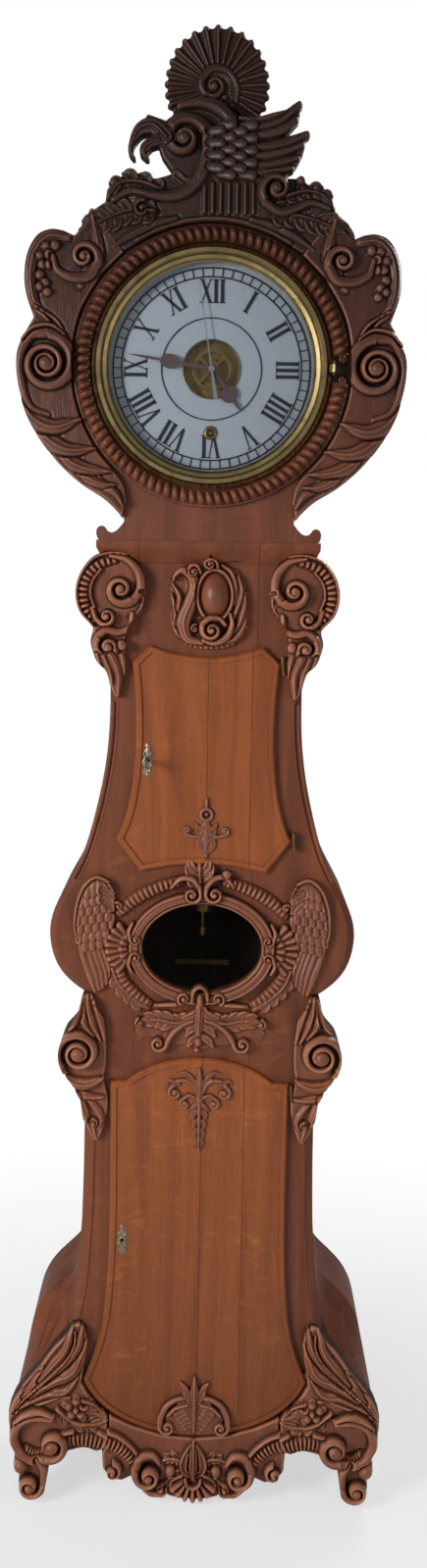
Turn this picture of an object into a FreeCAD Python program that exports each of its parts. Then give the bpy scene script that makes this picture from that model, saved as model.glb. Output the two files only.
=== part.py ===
# Carved oak longcase clock with a round hood, an oval window and a bombe base.
# Millimetres. The front looks along -Y, +X is the viewer's right and +Z is up.
# The origin lies on the floor, under the middle of the case.
import FreeCAD, Part
import math
import os
import re
from FreeCAD import Placement, Rotation, Vector

doc = FreeCAD.newDocument("CarvedLongcaseClock")
sheet = doc.addObject("Spreadsheet::Sheet", "Sizes")

# Every driving size in one table: name, value, what it measures.
SIZES = (
    ("case_front", 100, "front face of the trunk boards, ahead of the middle plane"),
    ("case_back", 155, "back face of the back board, behind the middle plane"),
    ("front_board", 22, "thickness of the trunk's front boards"),
    ("side_board", 20, "thickness of the trunk's side boards"),
    ("rear_board", 15, "thickness of the back board"),
    ("edge_bevel", 12, "width of the bevel on the trunk's front corners"),
    ("edge_bevel_deep", 9, "depth of that bevel"),
    ("overrun", 5, "how far a cutting tool runs past what it cuts"),
    ("seat_gap", 0.3, "gap between a moving piece and its seat"),
    ("trunk_top", 1652, "height of the trunk's top"),
    ("bulge_half", 259, "half width of the trunk at its swell"),
    ("base_joint", 520, "height where the base panels meet the trunk sides"),
    ("knee_top", 235, "height of the knee blocks' shoulders"),
    ("base_half", 326, "half width of the base at its swell"),
    ("base_swell_deep", 70, "depth over which the base panel swells out"),
    ("rear_foot_wide", 50, "width of a rear foot"),
    ("rear_foot_deep", 45, "depth of a rear foot"),
    ("upper_door_half", 147.5, "half width of the upper door at its lower corners"),
    ("upper_door_foot", 1135, "height of the upper door's lower corners"),
    ("upper_door_tall", 381, "height of the upper door"),
    ("lower_door_half", 197, "half width of the lower door at its lower corners"),
    ("lower_door_foot", 123, "height of the lower door's lowest point"),
    ("lower_door_tall", 688, "height of the lower door"),
    ("door_lip", 9, "how far a door's edge laps over the frame"),
    ("door_clear", 2.4, "clearance round a door's inner leaf"),
    ("door_gap", 0.8, "gap between a door's lip and the frame"),
    ("lip_thick", 8, "thickness of a door's lip"),
    ("leaf_deep", 19, "depth of a door's leaf behind its lip"),
    ("rim_wide", 10, "width of the moulded rim round a door"),
    ("rim_rise", 3, "height of that rim over the panel"),
    ("rim_round", 3, "fall of the rim's outer edge"),
    ("upper_hinge_top_x", 127, "upper door's hinge line at its top knuckle"),
    ("upper_hinge_top_z", 1486, "height of that knuckle"),
    ("upper_hinge_foot_x", 152, "upper door's hinge line at its lower knuckle"),
    ("upper_hinge_foot_z", 1190, "height of that knuckle"),
    ("lower_hinge_top_x", 157.5, "lower door's hinge line at its top knuckle"),
    ("lower_hinge_top_z", 752, "height of that knuckle"),
    ("lower_hinge_foot_x", 201, "lower door's hinge line at its lower knuckle"),
    ("lower_hinge_foot_z", 238, "height of that knuckle"),
    ("knuckle_radius", 3.2, "radius of a hinge knuckle"),
    ("knuckle_long", 10, "length of one knuckle"),
    ("pin_radius", 1.3, "radius of a hinge pin"),
    ("hinge_proud", 12.5, "distance of a hinge line from the trunk's front face"),
    ("wing_reach", 9, "reach of a moving hinge wing from the hinge line"),
    ("wing_thick", 1.5, "thickness of a hinge wing"),
    ("wing_back", 4.5, "moving wing's distance behind the hinge line"),
    ("wing_let", 4, "how deep a fixed wing is let into the frame"),
    ("window_x", 101, "half width of the oval window"),
    ("window_z", 75, "half height of the oval window"),
    ("window_mid", 1006, "height of the window's middle"),
    ("window_rim", 20, "width of the window's moulding"),
    ("window_rise", 24, "projection of the window's moulding"),
    ("window_roll", 7, "fall of that moulding to each side"),
    ("glass_lap", 4, "how far the window glass laps behind its moulding"),
    ("glass_thick", 3, "thickness of a glass"),
    ("fan_radius", 39, "radius of the shells beside the window"),
    ("fan_rise", 20, "projection of those shells"),
    ("fan_x", 112, "distance of those shells' roots from the middle"),
    ("band_wide", 17, "width of the ribbed bands round the window"),
    ("band_rise", 16, "projection of those bands"),
    ("window_top_wide", 45, "half width of the double scroll over the window"),
    ("window_top_tall", 60, "height of that scroll"),
    ("window_top_foot", 1086, "height of its foot"),
    ("window_top_rise", 34, "projection of that scroll"),
    ("spray_half", 114, "half width of the spray under the window"),
    ("spray_tall", 80, "height of that spray"),
    ("spray_foot", 822, "height of its foot"),
    ("spray_rise", 20, "projection of that spray"),
    ("wing_x", 146, "distance of a carved wing's inner edge from the middle"),
    ("wing_wide", 74, "width of a carved wing"),
    ("wing_foot", 924, "height of its lowest feather"),
    ("wing_tall", 204, "height of a carved wing"),
    ("wing_rise", 20, "projection of a carved wing"),
    ("console_x", 156, "distance of a console's inner edge from the middle"),
    ("console_wide", 85, "width of a console"),
    ("console_foot", 660, "height of a console's foot"),
    ("console_tall", 264, "height of a console"),
    ("console_rise", 30, "projection of a console"),
    ("console_eye_x", 203, "distance of a console's volute from the middle"),
    ("console_eye_z", 820, "height of that volute"),
    ("console_eye", 30, "radius of that volute"),
    ("console_wrap", 50, "how far a console wraps round the trunk's side"),
    ("volute_rise", 12, "projection of a volute over its ground"),
    ("ear_x", 100, "distance of a scroll ear's inner edge from the middle"),
    ("ear_wide", 118, "width of a scroll ear"),
    ("ear_foot", 1426, "height of the foot of its drop"),
    ("ear_tall", 244, "height of a scroll ear with its drop"),
    ("ear_rise", 24, "projection of a scroll ear"),
    ("ear_eye_x", 160, "distance of its volute from the middle"),
    ("ear_eye_z", 1612, "height of that volute"),
    ("ear_eye", 52, "radius of that volute"),
    ("drop_eye_x", 165, "distance of the drop's volute from the middle"),
    ("drop_eye_z", 1514, "height of that volute"),
    ("drop_eye", 22, "radius of that volute"),
    ("cartouche_x", -64, "place of the frieze ornament's left edge"),
    ("cartouche_wide", 138, "width of the frieze ornament"),
    ("cartouche_foot", 1508, "height of its foot"),
    ("cartouche_tall", 160, "height of the frieze ornament"),
    ("cartouche_rise", 18, "projection of that ornament"),
    ("boss_x", 12, "place of its oval boss"),
    ("boss_z", 1601, "height of that boss"),
    ("boss_wide", 24, "half width of that boss"),
    ("boss_tall", 40, "half height of that boss"),
    ("boss_rise", 14, "projection of that boss"),
    ("carve_round", 5, "fall of a carving's edge"),
    ("knee_x", 142, "distance of a knee's inner edge from the middle"),
    ("knee_wide", 186, "width of a knee"),
    ("knee_tall", 334, "height of a knee"),
    ("knee_rise", 32, "projection of the acanthus on the knee"),
    ("knee_round", 12, "fall of the knee's edge"),
    ("knee_eye_x", 284, "distance of the knee's scroll from the middle"),
    ("knee_eye_z", 126, "height of that scroll"),
    ("knee_eye", 34, "radius of that scroll"),
    ("foot_lift", 3, "rise of the knee's carved front over the floor"),
    ("foot_slope", 110, "height over which the foot's front falls back"),
    ("apron_half", 163, "half width of the apron"),
    ("apron_foot", 28, "height of the apron's lowest edge"),
    ("apron_tall", 134, "height of the apron"),
    ("apron_rise", 24, "projection of the apron"),
    ("apron_eye_x", 137, "distance of the apron's volutes from the middle"),
    ("apron_eye_z", 60, "height of those volutes"),
    ("apron_eye", 21, "radius of those volutes"),
    ("apron_roll_x", 78, "distance of the apron's inner scrolls from the middle"),
    ("apron_roll_z", 66, "height of those scrolls"),
    ("apron_roll", 24, "radius of those scrolls"),
    ("shell_tall", 66, "height of that shell over the floor"),
    ("shell_rise", 26, "projection of that shell over the apron"),
    ("bud_radius", 15, "radius of the bud over the shell"),
    ("bud_z", 92, "height of that bud"),
    ("cornice_low_half", 172, "half width of the waist moulding's foot"),
    ("cornice_half", 184, "half width of the waist moulding"),
    ("cornice_flare", 24, "height over which the waist moulding flares"),
    ("cornice_tall", 36, "height of the waist moulding"),
    ("cornice_low_rise", 5, "projection of its foot"),
    ("cornice_rise", 21, "projection of the waist moulding"),
    ("well_half", 92, "half width of the well through the waist moulding"),
    ("well_front", 70, "front of that well, ahead of the middle plane"),
    ("well_back", 100, "back of that well, behind the middle plane"),
    ("hood_half", 232, "half width of the hood board"),
    ("hood_tall", 509, "height of the hood board"),
    ("hood_board", 20, "thickness of the hood board"),
    ("hood_inset", 6, "how far the drum stands in from the hood board's edge"),
    ("drum_wall", 12, "wall of the hood's drum"),
    ("drum_gap", 1.5, "gap between the drum and the back board"),
    ("sight_radius", 171, "radius of the opening over the dial"),
    ("neck_scroll_x", 139, "place of the scrolls that flank the neck"),
    ("neck_scroll_wide", 46, "width of such a scroll"),
    ("neck_scroll_tall", 42, "height of such a scroll"),
    ("cheek_x", 120, "distance of a cheek's inner edge from the middle"),
    ("cheek_wide", 192, "width of a cheek"),
    ("cheek_foot", 1722, "height of a cheek's foot"),
    ("cheek_tall", 456, "height of a cheek with its ear"),
    ("cheek_rise", 16, "projection of a cheek"),
    ("cheek_eye_x", 265, "distance of the cheek's volute from the middle"),
    ("cheek_eye_z", 1966, "height of that volute"),
    ("cheek_eye", 38, "radius of that volute"),
    ("ear_ball_x", 255, "distance of the ear's scroll from the middle"),
    ("ear_ball_z", 2118, "height of that scroll"),
    ("ear_ball", 42, "radius of that scroll"),
    ("crest_x", -212, "place of the crest's left edge"),
    ("crest_wide", 438, "width of the crest"),
    ("crest_foot", 2143, "height of the crest's feet"),
    ("crest_tall", 125, "height of the crest's scrollwork"),
    ("crest_rise", 12, "projection of the scrollwork"),
    ("beast_wing_x", -12, "place of the raised wing's root"),
    ("beast_wing_wide", 160, "width of the raised wing"),
    ("beast_wing_foot", 2250, "height of its foot"),
    ("beast_wing_tall", 130, "height of the raised wing"),
    ("beast_wing_rise", 22, "projection of the raised wing"),
    ("hook_x", -136, "place of the curled leaf's tip"),
    ("hook_wide", 62, "width of the curled leaf"),
    ("hook_foot", 2286, "height of its foot"),
    ("hook_tall", 68, "height of the curled leaf"),
    ("coil_x", -47, "place of the big spiral in the crest"),
    ("coil_z", 2313, "height of that spiral"),
    ("coil_radius", 47, "radius of that spiral"),
    ("crown_x", 1, "place of the crowning shell"),
    ("crown_z", 2415, "height of the crowning shell's middle"),
    ("crown_radius", 84, "radius of the crowning shell"),
    ("crown_boss", 14, "radius of that boss"),
    ("crown_rise", 20, "projection of the crowning shell's boss"),
    ("crown_edge", 12, "thickness of the crowning shell's edge"),
    ("crown_dip", 4, "depth of the hollows between its ribs"),
    ("dial_z", 1966, "height of the dial's middle"),
    ("dial_radius", 180, "radius of the dial plate"),
    ("dial_thick", 1.5, "thickness of the dial plate"),
    ("dial_face", 98, "dial's front face, ahead of the middle plane"),
    ("dial_hole", 46, "radius of the dial's open middle"),
    ("winding_drop", 102, "winding square's distance under the dial's middle"),
    ("eyelet_outer", 11, "outer radius of the winding eyelet"),
    ("eyelet_inner", 6.5, "inner radius of the winding eyelet"),
    ("bezel_outer", 193, "outer radius of the brass bezel"),
    ("bezel_inner", 165, "inner radius of the brass bezel"),
    ("bezel_deep", 22, "depth of the brass bezel"),
    ("bezel_gap", 0.4, "gap behind the brass bezel"),
    ("bezel_clear", 2, "clearance between the bezel and the gadroons"),
    ("bezel_lap", 6, "rebate in the bezel for its glass"),
    ("gadroon_outer", 224, "outer radius of the gadroon ring"),
    ("gadroon_rise", 28, "projection of the gadroon ring"),
    ("gadroon_dip", 6, "depth of the hollows between the gadroons"),
    ("bezel_hinge_x", 197, "distance of the bezel's hinge line from the middle"),
    ("bezel_hinge_proud", 25, "its distance from the hood board's face"),
    ("bezel_knuckle", 3, "radius of the bezel's knuckle"),
    ("bezel_knuckle_long", 12, "length of the bezel's knuckle"),
    ("bezel_pin", 1.2, "radius of the bezel's hinge pin"),
    ("bezel_arm", 5, "thickness of the arms at the bezel's hinge"),
    ("pivot_clear", 0.3, "clearance round a pin or a pivot"),
    ("escutcheon_half", 10, "half width of a key plate"),
    ("escutcheon_tall", 61, "height of a key plate"),
    ("escutcheon_thick", 2, "thickness of a key plate"),
    ("upper_key_x", -96, "place of the upper keyhole"),
    ("upper_key_z", 1324, "height of the upper keyhole"),
    ("lower_key_x", -130, "place of the lower keyhole"),
    ("lower_key_z", 482, "height of the lower keyhole"),
    ("keyhole_radius", 2.8, "radius of a keyhole"),
    ("lock_wide", 36, "width of a lock case"),
    ("lock_tall", 56, "height of a lock case"),
    ("lock_deep", 13, "depth of a lock case"),
    ("lock_wall", 1.5, "wall of a lock case"),
    ("lock_offset", 7, "lock case's middle, inward of the keyhole"),
    ("bolt_wide", 24, "length of a bolt"),
    ("bolt_tall", 11, "height of a bolt"),
    ("bolt_deep", 5, "thickness of a bolt"),
    ("bolt_lift", 19, "bolt's middle over the keyhole"),
    ("bolt_tip", 11, "drawn bolt's tip, outward of the keyhole"),
    ("key_shank", 2.2, "radius of the key's shank"),
    ("key_out", 30, "how far the key stands out of the door"),
    ("key_bow", 10, "outer radius of the key's bow"),
    ("key_bow_hole", 6, "inner radius of the key's bow"),
    ("key_bow_thick", 3, "thickness of the key's bow"),
    ("key_bit_wide", 2, "thickness of the key's bit"),
    ("key_bit_drop", 7, "reach of the key's bit"),
    ("key_bit_long", 6, "length of the key's bit"),
    ("pendant_x", 4, "place of the upper door's pendant"),
    ("pendant_half", 42, "half width of that pendant"),
    ("pendant_foot", 1160, "height of its foot"),
    ("pendant_tall", 102, "height of that pendant"),
    ("pendant_rise", 8, "projection of that pendant"),
    ("fleur_half", 61, "half width of the lower door's fleur"),
    ("fleur_foot", 137, "height of its foot"),
    ("fleur_tall", 102, "height of that fleur"),
    ("fleur_rise", 10, "projection of that fleur"),
    ("fleur_eye_x", 44, "distance of its volutes from the middle"),
    ("fleur_eye_z", 148, "height of those volutes"),
    ("fleur_eye", 13, "radius of those volutes"),
    ("husk_half", 52, "half width of the lower door's husk"),
    ("husk_foot", 655, "height of its foot"),
    ("husk_tall", 142, "height of that husk"),
    ("husk_rise", 4, "projection of that husk"),
    ("seat_half", 112, "half width of the movement's seat board"),
    ("seat_cheek_in", 96, "inner face of the cheeks that carry the seat"),
    ("seat_cheek", 14, "thickness of those cheeks"),
    ("seat_board", 18, "thickness of the seat board"),
    ("seat_front", 80, "front of the seat board, ahead of the middle plane"),
    ("slot_half", 60, "half width of the pendulum's slot in the seat board"),
    ("slot_front", -1, "front of that slot, ahead of the middle plane"),
    ("slot_deep", 34, "depth of that slot"),
    ("plate_half", 60, "half width of the movement's plates"),
    ("plate_drop", 158, "plates' lower edge under the dial's middle"),
    ("plate_lift", 62, "plates' upper edge over the dial's middle"),
    ("plate_thick", 3, "thickness of a movement plate"),
    ("front_plate", 78, "front plate's face, ahead of the middle plane"),
    ("plate_space", 60, "distance between the plates"),
    ("pillar_radius", 5, "radius of a movement pillar"),
    ("pillar_x", 51, "distance of the pillars from the middle"),
    ("pillar_up", 52, "upper pillars over the dial's middle"),
    ("pillar_down", 148, "lower pillars under the dial's middle"),
    ("dial_foot", 3, "radius of a dial foot"),
    ("third_module", 1.2, "module of the centre wheel and third pinion"),
    ("great_module", 2.5, "module of the great wheel"),
    ("hour_module", 0.9, "module of the hour wheel"),
    ("wheel_thick", 3, "thickness of a wheel"),
    ("leaf_extra", 1, "how far a pinion runs past its wheel on each side"),
    ("rim_band", 3.4, "width of a wheel's rim under its teeth"),
    ("spoke_wide", 5, "width of a wheel's spoke"),
    ("hub_radius", 8, "radius of a wheel's hub"),
    ("arbor_end", 1, "how far an arbor's end stands back in its plate"),
    ("great_front", 67, "great wheel's front face, ahead of the middle plane"),
    ("middle_front", 53, "intermediate wheel's front face"),
    ("centre_front", 45, "centre wheel's front face"),
    ("third_front", 35, "third wheel's front face"),
    ("escape_front", 26, "escape wheel's front face"),
    ("minute_front", 85, "minute wheel's front face"),
    ("hour_front", 91, "hour wheel's front face"),
    ("second_arbor", 2.2, "radius of the seconds arbor"),
    ("minute_bore", 2.6, "bore of the minute pipe"),
    ("minute_pipe", 4.2, "radius of the minute pipe"),
    ("hour_bore", 4.6, "bore of the hour pipe"),
    ("hour_pipe", 6, "radius of the hour pipe"),
    ("great_arbor", 3, "radius of the winding arbor"),
    ("middle_arbor", 2.5, "radius of the intermediate arbor"),
    ("third_arbor", 2, "radius of the third arbor"),
    ("motion_arbor", 1.1, "radius of the minute wheel's arbor"),
    ("hour_hand_front", 106, "hour hand's front face"),
    ("hour_hand_long", 84, "length of the hour hand"),
    ("hour_hand_wide", 26, "width of the hour hand's head"),
    ("minute_hand_front", 109.5, "minute hand's front face"),
    ("minute_hand_long", 137, "length of the minute hand"),
    ("minute_hand_wide", 20, "width of the minute hand's head"),
    ("hand_thick", 1.2, "thickness of a hand"),
    ("second_hand_front", 113, "seconds hand's front face"),
    ("second_hand_long", 138, "length of the seconds hand"),
    ("second_hand_tail", 48, "length of its tail"),
    ("second_hand_wide", 2.4, "width of the seconds hand"),
    ("hand_boss", 8, "radius of a hand's boss"),
    ("escape_radius", 26, "radius of the escape wheel"),
    ("escape_tooth", 4, "height of its teeth"),
    ("pallet_lift", 47, "pallet arbor over the dial's middle"),
    ("pallet_half", 21, "distance of a pallet from the middle"),
    ("pallet_arm", 3.6, "width of the pallet arms"),
    ("pallet_down", 24, "pallets' drop under their arbor"),
    ("pallet_thick", 4, "thickness of the pallets"),
    ("pallet_bore", 1.6, "radius of the pallet arbor"),
    ("crutch_long", 120, "length of the crutch"),
    ("crutch_wide", 4, "width of the crutch"),
    ("crutch_thick", 2, "thickness of the crutch"),
    ("crutch_back", 6, "crutch's place behind the middle plane"),
    ("fork_gap", 0.6, "gap between the fork and the rod"),
    ("fork_prong", 2, "thickness of a prong"),
    ("suspension_z", 2095, "height of the pendulum's suspension"),
    ("pendulum_y", 14, "pendulum's place behind the middle plane"),
    ("rod_radius", 3, "radius of the pendulum's rod"),
    ("bob_radius", 20, "radius of the pendulum's bob"),
    ("bob_foot", 1045, "height of the bob's foot"),
    ("bob_tall", 122, "height of the bob"),
    ("nut_radius", 7, "radius of the rating nut"),
    ("nut_tall", 12, "height of the rating nut"),
    ("nut_drop", 30, "rating nut's top under the bob"),
    ("tail_drop", 46, "end of the rod under the bob"),
    ("cock_wide", 30, "width of the suspension cock"),
    ("cock_tall", 16, "height of the suspension cock"),
    ("cock_jaw", 12, "depth of the suspension cock's jaw"),
    ("hook_radius", 2, "radius of the suspension pin"),
    ("scale_half", 48, "half width of the beat scale"),
    ("scale_z", 944, "height of the beat scale's middle"),
    ("scale_tall", 9, "height of the beat scale"),
    ("scale_thick", 2, "thickness of the beat scale"),
    ("scale_y", 40, "beat scale's place behind the middle plane"),
    ("scale_arm", 6, "thickness of the beat scale's bracket"),
    ("wall_screw", 3, "radius of the wall screw's hole in the back board"),
    ("wall_screw_z", 2060, "height of that hole"),
    ("wall_screw_x", 120, "its distance from the middle"),
)
NAMES = {row[0] for row in SIZES}
for line, (name, value, meaning) in enumerate(SIZES, start=1):
    sheet.set(f"A{line}", name)
    sheet.set(f"B{line}", str(value))
    sheet.set(f"C{line}", meaning)
    sheet.setAlias(f"B{line}", name)
doc.recompute()


def s(name):
    """One size from the sheet, in mm."""
    return float(sheet.get(name))


# Tooth forms as shares of the module and of the pitch.
WHEEL_TOOTH_shares = {"tip": 0.9, "root": 1.0, "tip_half": 0.12, "root_half": 0.22}
LEAF_TOOTH_shares = {"tip": 0.65, "root": 1.25, "tip_half": 0.11, "root_half": 0.18}
MOTION_TOOTH_shares = {"tip": 0.85, "root": 1.2, "tip_half": 0.09, "root_half": 0.22}
GREAT_TEETH, MIDDLE_TEETH, CENTRE_TEETH, THIRD_TEETH = 36, 36, 48, 45
LEAVES, MOTION_TEETH, HOUR_TEETH, ESCAPE_TEETH = 6, 18, 72, 30

# Outlines. Each row is one run of the edge, and a run of two points is straight.
# A point is a share of the piece's width and height, from its foot and its inner edge.
# Trunk's right edge from its top to the notch over the console.
TRUNK_SIDE_shares = (
    ((0.6641, 1), (0.6486, 0.9625), (0.6255, 0.914), (0.6178, 0.8626), (0.6293, 0.8172),
     (0.6641, 0.7778), (0.7104, 0.7446), (0.7838, 0.7052), (0.8842, 0.6719), (0.9614, 0.6489),
     (1, 0.6265), (0.9923, 0.6053), (0.9421, 0.5835), (0.8649, 0.569), (0.7645, 0.5575)),
)
# The edge below the notch, straight and then flaring to the knee.
STILE_SIDE_shares = (
    ((0.7645, 0.4237), (0.7683, 0.3632), (0.7761, 0.3148)),
    ((0.7761, 0.3148), (0.7876, 0.2845), (0.8069, 0.2482), (0.8301, 0.2209), (0.8571, 0.1967)),
)
# Base panel's outer edge where it meets the knee.
BASE_FRONT_shares = (
    ((0.6166, 1), (0.6319, 0.8654), (0.6595, 0.7019), (0.6933, 0.6154), (0.7577, 0.5481),
     (0.8344, 0.4769), (0.9018, 0.4192), (0.9571, 0.3615), (0.9816, 0.2981), (0.9693, 0.2115),
     (0.9448, 0.1154)),
)
# Base panel's outer edge at its full swell.
BASE_REAR_shares = (
    ((0.6166, 1), (0.6319, 0.8654), (0.6656, 0.7615), (0.7423, 0.7077), (0.8344, 0.6462),
     (0.8926, 0.5769), (0.9264, 0.4808), (0.9601, 0.3808), (0.9877, 0.2846), (0.9785, 0.2077),
     (0.9509, 0.1154)),
)
# Upper door, right half from the top centre down.
UPPER_DOOR_shares = (
    ((0, 0.9528), (0.339, 0.9659), (0.6373, 1)),
    ((0.6373, 1), (0.8305, 0.9265)),
    ((0.8305, 0.9265), (0.7932, 0.7612), (0.7831, 0.5906), (0.8, 0.4593), (0.8339, 0.3491),
     (0.9017, 0.2362), (1, 0.1444)),
    ((1, 0.1444), (0.7186, 0)),
    ((0.7186, 0), (0.3729, 0.0262), (0, 0.0367)),
)
# Lower door, right half from the top centre down.
LOWER_DOOR_shares = (
    ((0, 1), (0.2284, 0.9942), (0.4467, 0.9738), (0.6345, 0.939)),
    ((0.6345, 0.939), (0.7766, 0.9375)),
    ((0.7766, 0.9375), (0.7716, 0.7515), (0.7716, 0.577), (0.7817, 0.4608), (0.802, 0.3735),
     (0.8376, 0.2936), (0.8985, 0.2253), (1, 0.1497)),
    ((1, 0.1497), (0.8985, 0.1017), (0.7513, 0.0625), (0.5482, 0.0305), (0.2944, 0.0087), (0, 0)),
)
# Hood board, right half from the top centre down.
HOOD_shares = (
    ((0, 1), (0.2672, 0.9843), (0.5172, 0.9352), (0.7328, 0.8546), (0.8879, 0.7544),
     (0.9784, 0.6464), (1, 0.5442), (0.9828, 0.444), (0.9224, 0.3438), (0.8276, 0.2574),
     (0.7155, 0.1886), (0.6379, 0.1297), (0.5991, 0.0648), (0.6078, 0)),
    ((0.6078, 0), (0, 0)),
)
# Small scroll that flanks the neck.
NECK_SCROLL_shares = (
    ((0, 0.6905), (0.1739, 0.4524), (0.413, 0.2857), (0.6087, 0.3571), (0.7391, 0.5238),
     (0.913, 0.4762), (0.9783, 0.2381), (0.8913, 0)),
    ((0.8913, 0), (0, 0)),
    ((0, 0), (0, 0.6905)),
)
# Hood's right cheek and ear.
CHEEK_shares = (
    ((0.3854, 1.0746), (0.4479, 1.0219), (0.5312, 0.9781)),
    ((0.5312, 0.9781), (0.625, 0.9956), (0.7292, 1), (0.8385, 0.9803), (0.9167, 0.9276),
     (0.9479, 0.8618), (0.9375, 0.7851), (0.8646, 0.693)),
    ((0.8646, 0.693), (0.9479, 0.6404), (0.9948, 0.5768), (1, 0.511), (0.974, 0.4342),
     (0.9167, 0.3575), (0.8125, 0.2763), (0.6562, 0.193), (0.4688, 0.1228), (0.2708, 0.0702),
     (0.1562, 0.0263), (0.1094, 0)),
    ((0.1094, 0), (0.0677, 0.0658), (0.1094, 0.136)),
    ((0.1094, 0.136), (0.349, 0.2522), (0.5104, 0.4013), (0.5469, 0.5548), (0.4844, 0.7083),
     (0.3021, 0.8465), (0.1146, 0.9232)),
    ((0.1146, 0.9232), (0.3854, 1.0746)),
)
# Scrollwork over the dial, clockwise from its left foot.
CREST_shares = (
    ((0.1598, 0), (0.0502, 0.2), (0, 0.312)),
    ((0, 0.312), (0.0365, 0.504), (0.089, 0.632)),
    ((0.089, 0.632), (0.0959, 0.808), (0.137, 0.928), (0.1918, 0.952)),
    ((0.1918, 0.952), (0.2603, 0.928), (0.3333, 1)),
    ((0.3333, 1), (0.7352, 0.968)),
    ((0.7352, 0.968), (0.7763, 0.952), (0.8059, 0.848)),
    ((0.8059, 0.848), (0.8607, 0.832), (0.9041, 0.752), (0.9247, 0.56)),
    ((0.9247, 0.56), (0.9772, 0.392), (1, 0.2)),
    ((1, 0.2), (0.9178, 0.136), (0.8082, 0)),
    ((0.8082, 0), (0.6553, 0.304), (0.484, 0.408), (0.3128, 0.304), (0.1598, 0)),
)
# Raised wing of the crest, clockwise from its root.
BEAST_WING_shares = (
    ((0.0125, 0.0923), (0, 0.4615), (0.075, 0.8308)),
    ((0.075, 0.8308), (0.325, 0.7692), (0.5625, 0.7692)),
    ((0.5625, 0.7692), (0.725, 0.8615), (0.8375, 0.8923), (0.925, 1)),
    ((0.925, 1), (0.9125, 0.7846), (0.825, 0.6462), (0.725, 0.5692)),
    ((0.725, 0.5692), (0.8625, 0.5538), (1, 0.6308)),
    ((1, 0.6308), (0.95, 0.3846), (0.875, 0.2154), (0.7625, 0.0923)),
    ((0.7625, 0.0923), (0.45, 0), (0.0125, 0.0923)),
)
# Curled leaf on the crest's left.
BEAST_HOOK_shares = (
    ((0.9677, 0.8824), (0.7097, 0.9412), (0.4839, 1)),
    ((0.4839, 1), (0.1935, 0.8235), (0.0161, 0.4706), (0, 0.1471), (0.1452, 0.0294)),
    ((0.1452, 0.0294), (0.1935, 0.25), (0.3065, 0.3382)),
    ((0.3065, 0.3382), (0.3871, 0.1176), (0.5323, 0)),
    ((0.5323, 0), (0.6774, 0.1029), (0.8387, 0.1471)),
    ((0.8387, 0.1471), (0.7742, 0.5294), (0.9677, 0.8824)),
)
# Scroll ear with its drop, right side, clockwise from the top.
EAR_shares = (
    ((0.1017, 0.9098), (0.2712, 0.9754), (0.5085, 1), (0.7627, 0.959), (0.9407, 0.8443),
     (1, 0.7131), (0.9407, 0.5902), (0.7627, 0.4918)),
    ((0.7627, 0.4918), (0.7881, 0.3852), (0.7119, 0.2705), (0.5593, 0.1885)),
    ((0.5593, 0.1885), (0.5339, 0.0902), (0.4407, 0)),
    ((0.4407, 0), (0.339, 0.0574), (0.3051, 0.1639), (0.2881, 0.2705)),
    ((0.2881, 0.2705), (0.3051, 0.3934), (0.2373, 0.5), (0.1017, 0.582)),
    ((0.1017, 0.582), (0.0169, 0.6803), (0.0085, 0.8033), (0.1017, 0.9098)),
)
# Frieze ornament, clockwise from the top.
CARTOUCHE_shares = (
    ((0.4928, 1), (0.6377, 0.9125), (0.7826, 0.9313), (0.913, 0.825)),
    ((0.913, 0.825), (0.9565, 0.575), (0.9928, 0.375), (0.913, 0.175)),
    ((0.913, 0.175), (0.7536, 0.05), (0.5072, 0), (0.2899, 0.0312), (0.1014, 0.1375)),
    ((0.1014, 0.1375), (0.0435, 0.325), (0.0652, 0.575), (0, 0.75)),
    ((0, 0.75), (0.1159, 0.85), (0.3043, 0.875), (0.4928, 1)),
)
# Double scroll over the window, right half from the top.
WINDOW_TOP_shares = (
    ((0, 1), (0.4783, 0.95), (0.8696, 0.7), (0.9783, 0.4)),
    ((0.9783, 0.4), (0.6957, 0.2833), (0.5217, 0.0667), (0.2174, 0)),
    ((0.2174, 0), (0, 0.1)),
)
# Spray under the window, right half from the top.
SPRAY_shares = (
    ((0, 1), (0.2982, 0.875), (0.5965, 0.825), (0.8596, 0.625), (1, 0.35)),
    ((1, 0.35), (0.9298, 0.175), (0.7895, 0.175)),
    ((0.7895, 0.175), (0.7368, 0.35), (0.5789, 0.375)),
    ((0.5789, 0.375), (0.5088, 0.15), (0.3684, 0.1)),
    ((0.3684, 0.1), (0.2281, 0.25), (0.1228, 0.05), (0, 0)),
)
# Wing beside the window, right side, clockwise from its tip.
WING_shares = (
    ((0.1892, 0.9902), (0.4595, 0.9951), (0.7568, 0.8922), (0.9459, 0.7157), (0.9865, 0.5196),
     (0.8919, 0.3529)),
    ((0.8919, 0.3529), (0.7568, 0.2059), (0.5135, 0.0686), (0.2703, 0)),
    ((0.2703, 0), (0.1892, 0.1667), (0.1622, 0.3725)),
    ((0.1622, 0.3725), (0.0541, 0.5196), (0, 0.7255), (0.1892, 0.9902)),
)
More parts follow.
